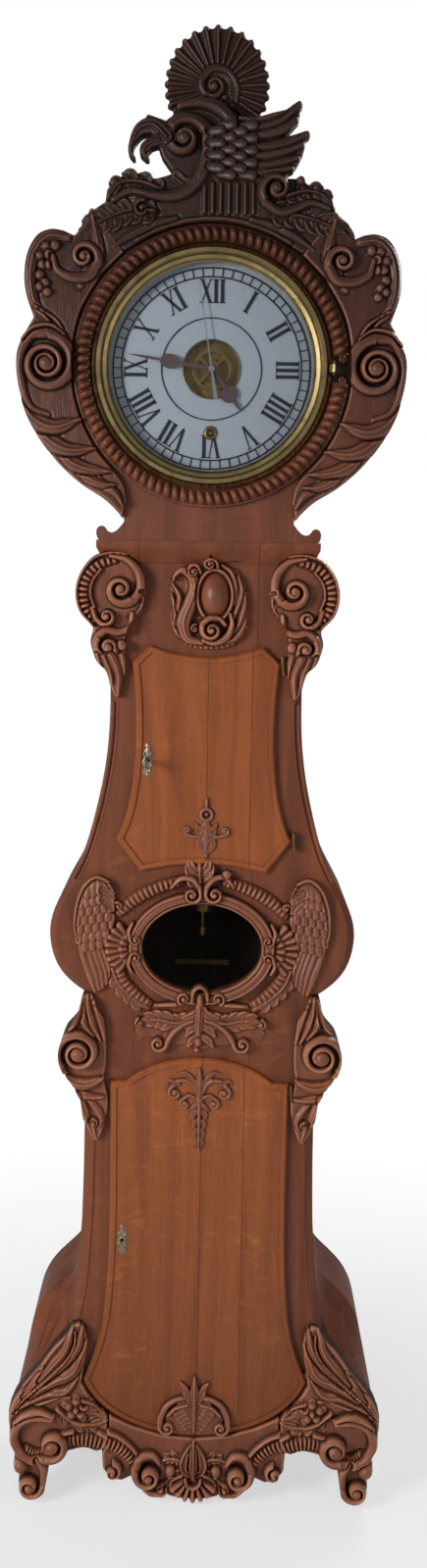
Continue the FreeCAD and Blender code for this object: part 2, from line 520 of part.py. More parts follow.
# Console, right side, clockwise from its top leaf.
CONSOLE_shares = (
    ((0.3529, 1), (0.5412, 0.9924), (0.6, 0.9091), (0.6824, 0.803), (0.9059, 0.7197), (1, 0.6061),
     (0.9176, 0.4924), (0.7059, 0.3864), (0.5529, 0.2955), (0.5176, 0.197)),
    ((0.5176, 0.197), (0.4706, 0.0758), (0.2824, 0)),
    ((0.2824, 0), (0.1412, 0.0758), (0.1059, 0.1742)),
    ((0.1059, 0.1742), (0.0824, 0.303), (0.1882, 0.4621)),
    ((0.1882, 0.4621), (0.0471, 0.5758), (0.1176, 0.7121), (0.3059, 0.7879)),
    ((0.3059, 0.7879), (0.2353, 0.8939), (0.3529, 1)),
)
# Acanthus on the knee, right side, clockwise from its tip.
KNEE_CREST_shares = (
    ((0.3118, 1), (0.3817, 0.982), (0.4516, 0.9281), (0.5645, 0.8563), (0.6989, 0.7485),
     (0.828, 0.6647), (0.9462, 0.5749), (1, 0.4731), (0.9785, 0.3653), (0.914, 0.2934)),
    ((0.914, 0.2934), (0.9462, 0.2275), (0.9032, 0.1557)),
    ((0.9032, 0.1557), (0.8817, 0.0659), (0.8226, 0)),
    ((0.8226, 0), (0.7097, 0)),
    ((0.7097, 0), (0.6559, 0.0539), (0.629, 0.1317), (0.6129, 0.2156)),
    ((0.6129, 0.2156), (0.4946, 0.2275), (0.4301, 0.2754), (0.2688, 0.2904), (0.1183, 0.2754)),
    ((0.1183, 0.2754), (0.0484, 0.3234)),
    ((0.0484, 0.3234), (0.0484, 0.485)),
    ((0.0484, 0.485), (0.1882, 0.5659), (0.3118, 0.6647)),
    ((0.3118, 0.6647), (0.2796, 0.7844), (0.2527, 0.8862), (0.2581, 0.9581), (0.3118, 1)),
)
# Solid corner block behind the acanthus, right side.
KNEE_BLOCK_shares = (
    ((0.4328, 0.9521), (0.5645, 0.8503), (0.6989, 0.7395), (0.8172, 0.6497), (0.914, 0.5599),
     (0.957, 0.4641), (0.9355, 0.3293), (0.8817, 0.1796)),
    ((0.8817, 0.1796), (0.8656, 0.0719), (0.8226, 0)),
    ((0.8226, 0), (0.7097, 0)),
    ((0.7097, 0), (0.6559, 0.0539), (0.629, 0.1317), (0.6129, 0.2156)),
    ((0.6129, 0.2156), (0.4946, 0.2275), (0.4301, 0.2754), (0.2688, 0.2904), (0.1183, 0.2754)),
    ((0.1183, 0.2754), (0.0484, 0.3234)),
    ((0.0484, 0.3234), (0.0484, 0.485)),
    ((0.0484, 0.485), (0.1882, 0.5659), (0.3118, 0.6647)),
    ((0.3118, 0.6647), (0.3118, 0.7036)),
    ((0.3118, 0.7036), (0.4328, 0.7036)),
    ((0.4328, 0.7036), (0.4328, 0.9521)),
)
# Apron, right half from the top centre.
APRON_shares = (
    ((0, 0.6866), (0.3558, 0.7313), (0.6626, 0.8433), (0.9252, 1)),
    ((0.9252, 1), (0.9252, 0.5896)),
    ((0.9252, 0.5896), (1, 0.4701)),
    ((1, 0.4701), (0.9816, 0.2239), (0.8957, 0.0896), (0.773, 0.0597), (0.6626, 0.1343)),
    ((0.6626, 0.1343), (0.5767, 0.0149), (0.4663, -0.0149), (0.3681, 0.0448)),
    ((0.3681, 0.0448), (0.2454, 0.0149), (0, 0)),
)
# Pendant on the upper door, right half from the top.
PENDANT_shares = (
    ((0, 1), (0.3095, 0.8868), (0.3571, 0.7547), (0.1429, 0.6226)),
    ((0.1429, 0.6226), (0.381, 0.4906), (0.9048, 0.434), (1, 0.3208)),
    ((1, 0.3208), (0.6667, 0.3585), (0.381, 0.3208)),
    ((0.381, 0.3208), (0.2381, 0.1132), (0, 0)),
)
# Fleur on the lower door, right half from the top.
FLEUR_shares = (
    ((0, 1), (0.1311, 0.8519), (0.0984, 0.7037)),
    ((0.0984, 0.7037), (0.2951, 0.6111), (0.3607, 0.5185)),
    ((0.3607, 0.5185), (0.7541, 0.537), (1, 0.4907)),
    ((1, 0.4907), (1, 0.2593), (0.7541, 0.0556), (0.459, 0.0926)),
    ((0.459, 0.0926), (0.1967, 0.0185), (0, 0)),
)
# Low husk on the lower door, right half from the top.
HUSK_shares = (
    ((0, 1), (0.3846, 0.9648), (0.5769, 0.838)),
    ((0.5769, 0.838), (0.9231, 0.7817), (1, 0.6127)),
    ((1, 0.6127), (0.7308, 0.6831), (0.5, 0.6268)),
    ((0.5, 0.6268), (0.3846, 0.5141), (0.1731, 0.4718)),
    ((0.1731, 0.4718), (0.2885, 0.3451), (0.1731, 0.2324), (0.25, 0.1197), (0, 0)),
)
# Key plate, right half from the top.
ESCUTCHEON_shares = (
    ((0, 1), (0.6, 0.8934), (0.4, 0.7623)),
    ((0.4, 0.7623), (1, 0.6639), (0.9, 0.5), (1, 0.3361)),
    ((1, 0.3361), (0.5, 0.2541), (0.7, 0.1066), (0, 0)),
)

BEZEL_shares = ((1, 0), (1, 0.45), (0.82, 0.72), (0.72, 1), (0.5, 1), (0.36, 0.62), (0.14, 0.54),
                (0, 0.3))
HOUR_HAND_shares = (
    ((0, 1), (0.1, 0.86), (0.09, 0.74)), ((0.09, 0.74), (0.5, 0.66), (0.5, 0.52), (0.14, 0.46)),
    ((0.14, 0.46), (0.14, 0.05)), ((0.14, 0.05), (0, 0.05)),
)
MINUTE_HAND_shares = (
    ((0, 1), (0.1, 0.8), (0.1, 0.62)), ((0.1, 0.62), (0.5, 0.56), (0.5, 0.44), (0.16, 0.38)),
    ((0.16, 0.38), (0.16, 0.05)), ((0.16, 0.05), (0, 0.05)),
)
VOLUTE_TOP_share = 0.84
SPIRAL_BAND_share = 0.16
SPIRAL_CORE_share = 0.24
EYE_share = 0.26
GADROONS, CROWN_RIBS, SHELL_RIBS, SIDE_RIBS, BAND_RIBS = 72, 22, 8, 6, 9
GADROON_BREAK, GADROON_LEAD = 6.0, 2.0
CROWN_FOOT_share = 0.6
ESCAPE_TOOTH_shares = ((0, -0.3), (0.7, -0.06), (1, -0.02), (1, 0.04), (0, 0.12))
NEEDLE_shares = (
    ((0, 1), (0.25, 1)), ((0.25, 1), (0.5, 0.26)), ((0.5, 0.26), (1.4, 0)), ((1.4, 0), (0, 0)),
)
THIRD_BEARING = math.radians(60)
HOUR_TURN, MINUTE_TURN, SECOND_TURN = 143.5, 279.0, 351.0


# Helpers: outlines in the XZ plane, in mm.
def table(shares, x="", z="", wide="", tall=""):
    """Runs of points from a table of shares and four named sizes."""
    left = value(x) if x else 0.0
    foot = value(z) if z else 0.0
    across, up = value(wide), value(tall)
    return [[(left + u * across, foot + v * up) for u, v in run] for run in shares]


def flipped(runs):
    """The same runs on the other side of the middle plane, in the opposite order."""
    return [[(-x, z) for x, z in reversed(run)] for run in reversed(runs)]


def both_sides(half, x=0.0):
    """A closed outline from its right half, which runs from the top centre down."""
    whole = half + flipped(half)
    return [[(px + x, pz) for px, pz in run] for run in whole]


def drawn_in(runs, distance):
    """The closed outline with its sides moved toward the middle plane."""
    return [[(x - math.copysign(min(abs(x), distance), x), z) for x, z in run] for run in runs]


def grown(runs, distance):
    """The closed outline moved outward by a distance."""
    corners = [point for run in runs for point in run[:-1]]
    count = len(corners)
    pairs = zip(corners, corners[1:] + corners[:1])
    area = sum(a[0] * b[1] - b[0] * a[1] for a, b in pairs)
    sign = distance * math.copysign(1, area)
    moved = []
    for i in range(count):
        (x0, z0), (x1, z1), (x2, z2) = corners[i - 1], corners[i], corners[(i + 1) % count]
        first = math.hypot(x1 - x0, z1 - z0)
        second = math.hypot(x2 - x1, z2 - z1)
        ax, az = (z1 - z0) / first, (x0 - x1) / first
        bx, bz = (z2 - z1) / second, (x1 - x2) / second
        reach = sign / max(1 + ax * bx + az * bz, 0.4)
        moved.append((x1 + reach * (ax + bx), z1 + reach * (az + bz)))
    moved += moved
    result, start = [], 0
    for run in runs:
        result.append(moved[start:start + len(run)])
        start += len(run) - 1
    return result


def wire(runs):
    """One closed wire: straight edges for runs of two points, splines for the others."""
    edges = []
    for run in runs:
        points = [Vector(x, 0, z) for x, z in run]
        if len(points) == 2:
            edges.append(Part.LineSegment(points[0], points[1]).toShape())
        else:
            curve = Part.BSplineCurve()
            curve.interpolate(points)
            edges.append(curve.toShape())
    return Part.Wire(Part.__sortEdges__(edges))


def bind(obj, prop, text):
    """Ties a property to an expression in the sheet's names."""
    word = re.compile(r"[A-Za-z_]\w*")
    obj.setExpression(prop, word.sub(lambda m: ("Sizes." if m.group() in NAMES else "") +
                                     m.group(), text))


def place(obj, x="", y="", z=""):
    for axis, text in zip("xyz", (x, y, z)):
        if text:
            bind(obj, f"Placement.Base.{axis}", text)
    return obj


def profile(name, runs, y, grow="", x="", z="", turn=0.0):
    """An outline standing at depth y, grown by a named amount."""
    obj = doc.addObject("Part::Feature", name)
    obj.Shape = wire(grown(runs, value(grow)) if grow else runs)
    if turn:
        obj.Placement = Placement(Vector(), Rotation(Vector(0, 1, 0), turn))
    return place(obj, x, y, z)


def value(text):
    """The number that an expression in the sheet's names gives now."""
    words = {name: s(name) for name in re.findall(r"[A-Za-z_]\w*", text)}
    total, sign = 0.0, 1.0
    for part in re.findall(r"[+-]|[^+\-\s][^+\-]*", text):
        part = part.strip()
        if part in "+-":
            sign = -1.0 if part == "-" else 1.0
            continue
        product = 1.0
        for factor in part.split("*"):
            factor = factor.strip()
            product *= words[factor] if factor in words else float(factor)
        total += sign * product
        sign = 1.0
    return total


def prism(name, runs, y, deep, grow="", x="", z="", turn=0.0):
    """An outline pushed back from depth y."""
    obj = doc.addObject("Part::Extrusion", name)
    obj.Base = profile(name + "_outline", runs, y, grow, x, z, turn)
    obj.DirMode = "Custom"
    obj.Dir = Vector(0, 1, 0)
    obj.Solid = True
    bind(obj, "LengthFwd", deep)
    return obj


def layered(name, runs, stations, x="", z="", turn=0.0):
    """A ruled solid through the same outline at several depths, grown by named amounts."""
    obj = doc.addObject("Part::Loft", name)
    obj.Sections = [profile(f"{name}_{i}", runs, y, grow, x, z, turn) for i, (y,
            grow) in enumerate(stations)]
    obj.Solid = True
    obj.Ruled = True
    return obj


def relief(name, runs, rise, ground="case_front", fall="carve_round"):
    """A flat carving on its ground: upright edges, then a fall inward to its face."""
    stations = ((f"-{ground}", ""), (f"-{ground} - {rise} + {fall}", ""), (f"-{ground} - {rise}",
            f"-{fall}"))
    return layered(name, runs, stations)


def box(name, x, y, z, dx, dy, dz):
    obj = doc.addObject("Part::Box", name)
    for prop, text in (("Length", dx), ("Width", dy), ("Height", dz)):
        bind(obj, prop, text)
    return place(obj, x, y, z)


def rod(name, radius, long, x, y, z, along="y"):
    """A cylinder that starts at a place and runs along +X, +Y or +Z."""
    obj = doc.addObject("Part::Cylinder", name)
    bind(obj, "Radius", radius)
    bind(obj, "Height", long)
    turns = {"x": Rotation(Vector(0, 1, 0), 90), "y": Rotation(Vector(1, 0, 0), -90), "z": Rotation()}
    obj.Placement = Placement(Vector(), turns[along])
    return place(obj, x, y, z)


def button(name, radius, rise, x, z, ground):
    """A low cone on its ground, as the body of a volute."""
    obj = doc.addObject("Part::Cone", name)
    bind(obj, "Radius1", radius)
    bind(obj, "Radius2", f"{radius} * {VOLUTE_TOP_share}")
    bind(obj, "Height", rise)
    obj.Placement = Placement(Vector(), Rotation(Vector(1, 0, 0), 90))
    return place(obj, x, f"-{ground}", z)


def spiral(radius, hand):
    """A spiral band around the origin, as straight runs."""
    outer, inner = [], []
    steps = 17
    for i in range(steps + 1):
        angle = hand * math.radians(36 * i) + math.pi / 2
        reach = radius * (1 - (1 - SPIRAL_CORE_share) * i / steps)
        band = radius * SPIRAL_BAND_share * (1 - i / (2 * steps))
        outer.append((reach * math.cos(angle), reach * math.sin(angle)))
        inner.append(((reach - band) * math.cos(angle), (reach - band) * math.sin(angle)))
    ring = outer + inner[::-1]
    return [list(pair) for pair in zip(ring, ring[1:] + ring[:1])]


def volute(name, radius, rise, x, z, ground, hand=1):
    """A volute: a low cone, a spiral band on it and a round eye."""
    body = button(name + "_body", radius, rise, x, z, ground)
    runs = spiral(s(radius) * VOLUTE_TOP_share, hand)
    face = f"-{ground} - {rise}"
    band = prism(name + "_band", runs, f"{face} - {rise} * 0.5", f"{rise}", x=x, z=z)
    eye = rod(name + "_eye", f"{radius} * {EYE_share}", f"{rise} * 1.2", x, f"{face} - {rise} * 0.7", z)
    return fuse(name, body, band, eye)


def cut(name, base, *tools):
    """Takes each tool away from the base in turn."""
    for i, tool in enumerate(tools):
        last = i == len(tools) - 1
        obj = doc.addObject("Part::Cut", name if last else f"{name}_{i}")
        obj.Base, obj.Tool = base, tool
        base = obj
    return base


def fuse(name, *parts):
    obj = doc.addObject("Part::MultiFuse", name)
    obj.Shapes = list(parts)
    obj.Refine = False
    return obj


def group(name, *parts):
    """Separate solids of one node."""
    obj = doc.addObject("Part::Compound", name)
    obj.Links = list(parts)
    return obj


def mirror(name, source):
    obj = doc.addObject("Part::Mirroring", name)
    obj.Source = source
    obj.Normal = Vector(1, 0, 0)
    return obj


def skin(name, stations):
    """A faceted solid through equal flat sections, each a ring of points."""
    faces = [Part.Face(Part.makePolygon(list(ring) + [ring[0]])) for ring in (stations[0],
            stations[-1])]
    for first, second in zip(stations, stations[1:]):
        for i in range(len(first)):
            j = (i + 1) % len(first)
            for a, b, c in ((first[i], first[j], second[j]), (first[i], second[j], second[i])):
                faces.append(Part.Face(Part.makePolygon([a, b, c, a])))
    shell = Part.makeShell(faces)
    shell.sewShape()
    solid = Part.Solid(shell)
    if solid.Volume < 0:
        solid.reverse()
    obj = doc.addObject("Part::Feature", name)
    obj.Shape = solid
    return obj


def fan(name, middle, radii, angles, ribs, ground, heights):
    """A ribbed shell: ribs spring from a raised root and fall to a thin scalloped edge."""
    stations = []
    (x, z), (root, reach), (start, end), (edge, rise, dip) = middle, radii, angles, heights
    for i in range(2 * ribs + 1):
        angle = math.radians(start + (end - start) * i / (2 * ribs))
        fall = dip if i % 2 == 0 else 0.0
        cos, sin = math.cos(angle), math.sin(angle)
        near, far = (x + root * cos, z + root * sin), (x + (reach - fall) * cos, z + (reach -
                fall) * sin)
        stations.append((Vector(near[0], -ground, near[1]), Vector(near[0], -ground - rise, near[1]),
                         Vector(far[0], -ground - edge + fall, far[1]), Vector(far[0], -ground,
                                 far[1])))
    return skin(name, stations)


def hinge_line(top_x, top_z, foot_x, foot_z):
    """The lean of a hinge line, in degrees about +Y."""
    return math.degrees(math.atan2(s(top_x) - s(foot_x), s(top_z) - s(foot_z)))


def stand(obj, turn, x, y, z):
    """Leans a hinge part about +Y and sets it on its hinge line."""
    obj.Placement = Placement(Vector(), Rotation(Vector(0, 1, 0), turn))
    return place(obj, x, y, z)


def fixed_hinge(name, turn, x, z):
    """Two knuckles on upright wings, with the pin through all three knuckles."""
    parts = []
    for side, start in (("low", "-1.5 * knuckle_long - pivot_clear"), ("high",
            "0.5 * knuckle_long + pivot_clear")):
        parts.append(rod(f"{name}_{side}", "knuckle_radius", "knuckle_long", "", "", start, "z"))
        parts.append(box(f"{name}_{side}_wing", "-0.5 * wing_thick", "0", start, "wing_thick",
                         "hinge_proud + wing_let", "knuckle_long"))
    parts.append(rod(f"{name}_pin", "pin_radius", "3 * knuckle_long + 2 * pivot_clear", "", "",
                     "-1.5 * knuckle_long - pivot_clear", "z"))
    return stand(fuse(name, *parts), turn, x, "-case_front - hinge_proud", z)


def moving_hinge(name, turn, x, z):
    """The middle knuckle, with a short wing let into the door's lip."""
    knuckle = rod(f"{name}_knuckle", "knuckle_radius", "knuckle_long", "", "",
                  "-0.5 * knuckle_long", "z")
    wing = box(f"{name}_wing", "-wing_reach", "wing_back", "-0.5 * knuckle_long", "wing_reach",
               "wing_thick", "knuckle_long")
    neck = box(f"{name}_neck", "-knuckle_radius", "0", "-0.5 * knuckle_long", "wing_thick",
               "wing_back + wing_thick", "knuckle_long")
    bore = rod(f"{name}_bore", "pin_radius + pivot_clear", "2 * knuckle_long", "", "",
               "-knuckle_long", "z")
    return stand(cut(name, fuse(f"{name}_solid", knuckle, wing, neck), bore), turn, x,
                 "-case_front - hinge_proud", z)


def hinge_room(name, turn, x, z):
    """The space that a hinge needs in what stands beside it."""
    room = box(f"{name}_box", "-wing_reach - seat_gap", "-knee_rise",
               "-1.5 * knuckle_long - knuckle_radius",
               "wing_reach + knuckle_radius + door_clear", "hinge_proud + knee_rise",
               "3 * knuckle_long + 2 * knuckle_radius")
    return stand(group(name, room), turn, x, "-case_front - hinge_proud", z)


NODES = []


def node(obj, label):
    """Names a finished sub-part and lists it for writing."""
    obj.Label = label
    NODES.append(obj)
    return obj


# Trunk: one pierced front board, two side boards and the back board.
trunk_edge = table(TRUNK_SIDE_shares, wide="bulge_half", tall="trunk_top")
stile_edge = table(STILE_SIDE_shares, wide="bulge_half", tall="trunk_top")
top_corner, notch = trunk_edge[0][0], trunk_edge[0][-1]
stile_start, stile_end, joint = stile_edge[0][0], stile_edge[1][-1], stile_edge[0][-1]
shoulder = s("knee_top")
foot_half = stile_end[0]
front_half = (
    [[(0, top_corner[1]), top_corner]] + trunk_edge + [[notch, stile_start]] + stile_edge
    + [[stile_end, (foot_half, shoulder)], [(foot_half, shoulder), (0, shoulder)]]
)
upper_door = both_sides(table(UPPER_DOOR_shares, z="upper_door_foot", wide="upper_door_half",
                              tall="upper_door_tall"))
lower_door = both_sides(table(LOWER_DOOR_shares, z="lower_door_foot", wide="lower_door_half",
                              tall="lower_door_tall"))
upper_lean = hinge_line("upper_hinge_top_x", "upper_hinge_top_z", "upper_hinge_foot_x",
                        "upper_hinge_foot_z")
lower_lean = hinge_line("lower_hinge_top_x", "lower_hinge_top_z", "lower_hinge_foot_x",
                        "lower_hinge_foot_z")
HINGES = (
    ("upper", "top", upper_lean), ("upper", "foot", upper_lean),
    ("lower", "top", lower_lean), ("lower", "foot", lower_lean),
)


def hinge_place(door, end):
    return f"{door}_hinge_{end}_x", f"{door}_hinge_{end}_z"


fixed = [fixed_hinge(f"fixed_{d}_{e}", lean, *hinge_place(d, e)) for d, e, lean in HINGES]
whole_front = both_sides(front_half)
board = doc.addObject("Part::Loft", "front_board_blank")
board.Sections = [
    profile("front_board_face", drawn_in(whole_front, s("edge_bevel")), "-case_front"),
    profile("front_board_edge", whole_front, "-case_front + edge_bevel_deep"),
    profile("front_board_back", whole_front, "-case_front + front_board"),
]
board.Solid = True
board.Ruled = True
hole_back = "front_board + 2 * overrun"
upper_hole = prism("upper_hole", upper_door, "-case_front - overrun", hole_back,
                   "door_clear - door_lip")
lower_hole = prism("lower_hole", lower_door, "-case_front - overrun", hole_back,
                   "door_clear - door_lip")


def oval(name, extra, y, deep):
    """An upright oval prism round the window's middle."""
    obj = doc.addObject("Part::Extrusion", name)
    ring = doc.addObject("Part::Ellipse", name + "_ring")
    bind(ring, "MajorRadius", f"window_x + {extra}")
    bind(ring, "MinorRadius", f"window_z + {extra}")
    ring.Placement = Placement(Vector(), Rotation(Vector(1, 0, 0), 90))
    place(ring, "", y, "window_mid")
    obj.Base = ring
    obj.DirMode = "Custom"
    obj.Dir = Vector(0, 1, 0)
    obj.Solid = True
    bind(obj, "LengthFwd", deep)
    return obj


window_hole = oval("window_hole", "glass_lap + seat_gap", "-case_front - overrun", hole_back)
trunk_front = node(cut("trunk_front_board", board, upper_hole, lower_hole, window_hole, *fixed),
                   "trunk_front")

joint_z = joint[1]
side_runs = (
    [[(top_corner[0] - s("side_board"), top_corner[1]), top_corner]] + trunk_edge + [[notch,
            stile_start]]
    + [stile_edge[0]] + [[joint, (joint[0] - s("side_board"), joint_z)]]
)
inner = [[(x - s("side_board"), z) for x, z in reversed(run)] for run in reversed(trunk_edge +
        [[notch, stile_start]] + [stile_edge[0]])]
side_deep = "case_front - front_board + case_back - rear_board"
side = prism("trunk_side", side_runs + inner, "-case_front + front_board", side_deep)
node(side, "trunk_side_right")
node(mirror("trunk_side_mirror", side), "trunk_side_left")


def panel_runs(shares):
    """A base panel's section across its thickness, from its outer edge."""
    outer = table(shares, wide="base_half", tall="base_joint")[0]
    inside = [(x - s("side_board"), z) for x, z in outer]
    return [outer, [outer[-1], inside[-1]], inside[::-1], [inside[0], outer[0]]]


panel = doc.addObject("Part::Loft", "base_panel")
panel.Sections = [
    profile("base_panel_front", panel_runs(BASE_FRONT_shares), "-case_front + front_board"),
    profile("base_panel_swell", panel_runs(BASE_REAR_shares),
            "-case_front + front_board + base_swell_deep"),
    profile("base_panel_back", panel_runs(BASE_REAR_shares), "case_back - rear_board"),
]
panel.Solid = True
panel.Ruled = True
base_corner = table(BASE_REAR_shares, wide="base_half", tall="base_joint")[0][-1]
rear_foot = box("rear_foot", f"base_half * {BASE_REAR_shares[0][-1][0]} - rear_foot_wide",
                "case_back - rear_board - rear_foot_deep", "0", "rear_foot_wide", "rear_foot_deep",
                f"base_joint * {BASE_REAR_shares[0][-1][1]} + seat_gap")
base_side = node(fuse("base_side", panel, rear_foot), "base_side_right")
node(mirror("base_side_mirror", base_side), "base_side_left")

HOOD_FOOT = "trunk_top + cornice_tall + seat_gap"
hood_runs = both_sides(table(HOOD_shares, z=HOOD_FOOT, wide="hood_half", tall="hood_tall"))
base_edge = table(BASE_REAR_shares, wide="base_half", tall="base_joint")
base_edge[0][0] = joint
back_half = (
    [[(0, top_corner[1]), top_corner]] + trunk_edge + [[notch,
                                                        stile_start]] + [stile_edge[0]] + base_edge
    + [[base_corner, (0, base_corner[1])]]
)
back_trunk = prism("back_trunk", both_sides(back_half), "case_back - rear_board", "rear_board")
back_head = prism("back_head", hood_runs, "case_back - rear_board", "rear_board",
                  "-hood_inset - drum_wall - drum_gap")
back_neck = box("back_neck", "-seat_half", "case_back - rear_board", "trunk_top - overrun",
                "2 * seat_half",
                "rear_board", "cornice_tall + 2 * neck_scroll_tall")
screw_holes = [rod(f"screw_hole_{side}", "wall_screw", "rear_board + 2 * overrun",
                   f"{sign}wall_screw_x",
                   "case_back - rear_board - overrun", "wall_screw_z") for side, sign in (("a",
                           "-"), ("b", ""))]
node(cut("back_board_solid", fuse("back_board_blank", back_trunk, back_head, back_neck),
         *screw_holes), "back_board")

# Waist moulding on the trunk's top, with a well for the pendulum.
corners = [(-1, 0), (1, 0), (1, 1), (-1, 1)]


def slab(name, half, rise, z):
    """A level rectangle of the waist moulding."""
    obj = doc.addObject("Part::Feature", name)
    front, back = -s("case_front") - value(rise), s("case_back") - s("rear_board")
    points = [Vector(x * s(half), back if b else front, 0) for x, b in corners]
    obj.Shape = Part.makePolygon(points + [points[0]])
    return place(obj, "", "", z)


ear_runs = table(EAR_shares, x="ear_x", z="ear_foot", wide="ear_wide", tall="ear_tall")
cartouche_runs = table(CARTOUCHE_shares, x="cartouche_x", z="cartouche_foot",
                       wide="cartouche_wide", tall="cartouche_tall")
moulding = doc.addObject("Part::Loft", "waist_moulding")
moulding.Sections = [
    slab("moulding_foot", "cornice_low_half", "cornice_low_rise", "trunk_top"),
    slab("moulding_flare", "cornice_half", "cornice_rise", "trunk_top + cornice_flare"),
    slab("moulding_top", "cornice_half", "cornice_rise", "trunk_top + cornice_tall"),
]
moulding.Solid = True
moulding.Ruled = True
well = box("moulding_well", "-well_half", "-well_front", "trunk_top - overrun", "2 * well_half",
           "well_front + well_back", "cornice_tall + 2 * overrun")
lap_deep = "cornice_rise + 2 * overrun + seat_gap"
ear_room = prism("ear_room", ear_runs, "-case_front - cornice_rise - 2 * overrun", lap_deep, "seat_gap")
cartouche_room = prism("cartouche_room", cartouche_runs,
                       "-case_front - cornice_rise - 2 * overrun", lap_deep, "seat_gap")
node(cut("waist_cornice_solid", moulding, well, ear_room, mirror("ear_room_mirror", ear_room),
         cartouche_room),
     "waist_cornice")

# Base: carved corner knees with their feet, and the apron with its shell.
block = prism("knee_block", table(KNEE_BLOCK_shares, x="knee_x", wide="knee_wide", tall="knee_tall"),
              "-case_front", "front_board")
acanthus = relief("knee_acanthus", table(KNEE_CREST_shares, x="knee_x", wide="knee_wide",
                                         tall="knee_tall"),
                  "knee_rise", fall="knee_round")
undercut = doc.addObject("Part::Feature", "foot_undercut")
reach = s("case_front") + s("knee_rise")
slope = [(-reach - s("overrun"), 0), (-s("case_front") - s("foot_lift"), 0), (-reach, s("foot_slope")),
         (-reach - s("overrun"), s("foot_slope"))]
undercut.Shape = Part.makePolygon([Vector(0, y, z) for y, z in slope + slope[:1]])
undercut_tool = doc.addObject("Part::Extrusion", "foot_undercut_tool")
undercut_tool.Base = undercut
undercut_tool.DirMode = "Custom"
undercut_tool.Dir = Vector(1, 0, 0)
undercut_tool.Solid = True
bind(undercut_tool, "LengthFwd", "2 * base_half")
knee_scroll = volute("knee_scroll", "knee_eye", "volute_rise", "knee_eye_x", "knee_eye_z",
                     "case_front - knee_rise")
hinge_notch = hinge_room("knee_hinge_room", lower_lean, *hinge_place("lower", "foot"))
knee = fuse("knee", cut("knee_carved", fuse("knee_blank", block, acanthus), undercut_tool), knee_scroll)
node(cut("knee_with_notch", knee, hinge_notch, fixed[-1]), "knee_right")
node(mirror("knee_mirror", knee), "knee_left")

apron_runs = both_sides(table(APRON_shares, z="apron_foot", wide="apron_half", tall="apron_tall"))
apron_plate = prism("apron_plate", apron_runs, "-case_front", "front_board")
apron_front = relief("apron_front", apron_runs, "apron_rise")
apron_scrolls = []
for side, sign, hand in (("left", "-", -1), ("right", "", 1)):
    apron_scrolls.append(volute(f"apron_volute_{side}", "apron_eye", "volute_rise",
                                f"{sign}apron_eye_x",
                                "apron_eye_z", "case_front - apron_rise", hand))
    apron_scrolls.append(volute(f"apron_roll_{side}", "apron_roll", "volute_rise",
                                f"{sign}apron_roll_x",
                                "apron_roll_z", "case_front - apron_rise", -hand))
apron_face = s("case_front") + s("apron_rise")
shell = fan("apron_shell", (0, s("shell_tall")), (s("bud_radius") / 2, s("shell_tall") -
                                                  s("foot_lift")),
            (200, 340), SHELL_RIBS, apron_face - s("carve_round"),
            (s("shell_rise"), s("shell_rise") + s("carve_round"), s("crown_dip")))
bud = button("apron_bud", "bud_radius", "shell_rise", "", "bud_z",
             "case_front - apron_rise + carve_round")
node(fuse("apron_solid", apron_plate, apron_front, shell, bud, *apron_scrolls), "apron")

# Carving on the trunk: window moulding with its shells, spray, wings, consoles, ears, cartouche.
def oval_ring(name, extra, y):
    ring = doc.addObject("Part::Ellipse", name)
    bind(ring, "MajorRadius", f"window_x + {extra}")
    bind(ring, "MinorRadius", f"window_z + {extra}")
    ring.Placement = Placement(Vector(), Rotation(Vector(1, 0, 0), 90))
    return place(ring, "", y, "window_mid")


roll = doc.addObject("Part::Loft", "window_roll_outer")
roll.Sections = [
    oval_ring("window_roll_foot", "window_rim", "-case_front"),
    oval_ring("window_roll_edge", "window_rim", "-case_front - window_rise + window_roll"),
    oval_ring("window_roll_face", "window_rim - window_roll", "-case_front - window_rise"),
]
roll.Solid = True
roll.Ruled = True
light = oval("window_light", "0", "-case_front - window_rise - overrun", "window_rise + 2 * overrun")


def band(name, start, end):
    """A ribbed band that follows the window's moulding over a range of angles."""
    stations = []
    near_x = value("window_x + window_rim - carve_round")
    near_z = value("window_z + window_rim - carve_round")
    ground, rise, dip = s("case_front"), s("band_rise"), s("crown_dip")
    for i in range(2 * BAND_RIBS + 1):
        angle = math.radians(start + (end - start) * i / (2 * BAND_RIBS))
        fall = dip if i % 2 == 0 else 0.0
        wide = s("band_wide") + s("carve_round") - fall
        cos, sin = math.cos(angle), math.sin(angle)
        near = (near_x * cos, s("window_mid") + near_z * sin)
        far = ((near_x + wide) * cos, s("window_mid") + (near_z + wide) * sin)
        stations.append((
            Vector(near[0], -ground, near[1]), Vector(near[0], -ground - rise + fall, near[1]),
            Vector(far[0], -ground - rise / 2 + fall, far[1]), Vector(far[0], -ground, far[1])))
    return skin(name, stations)


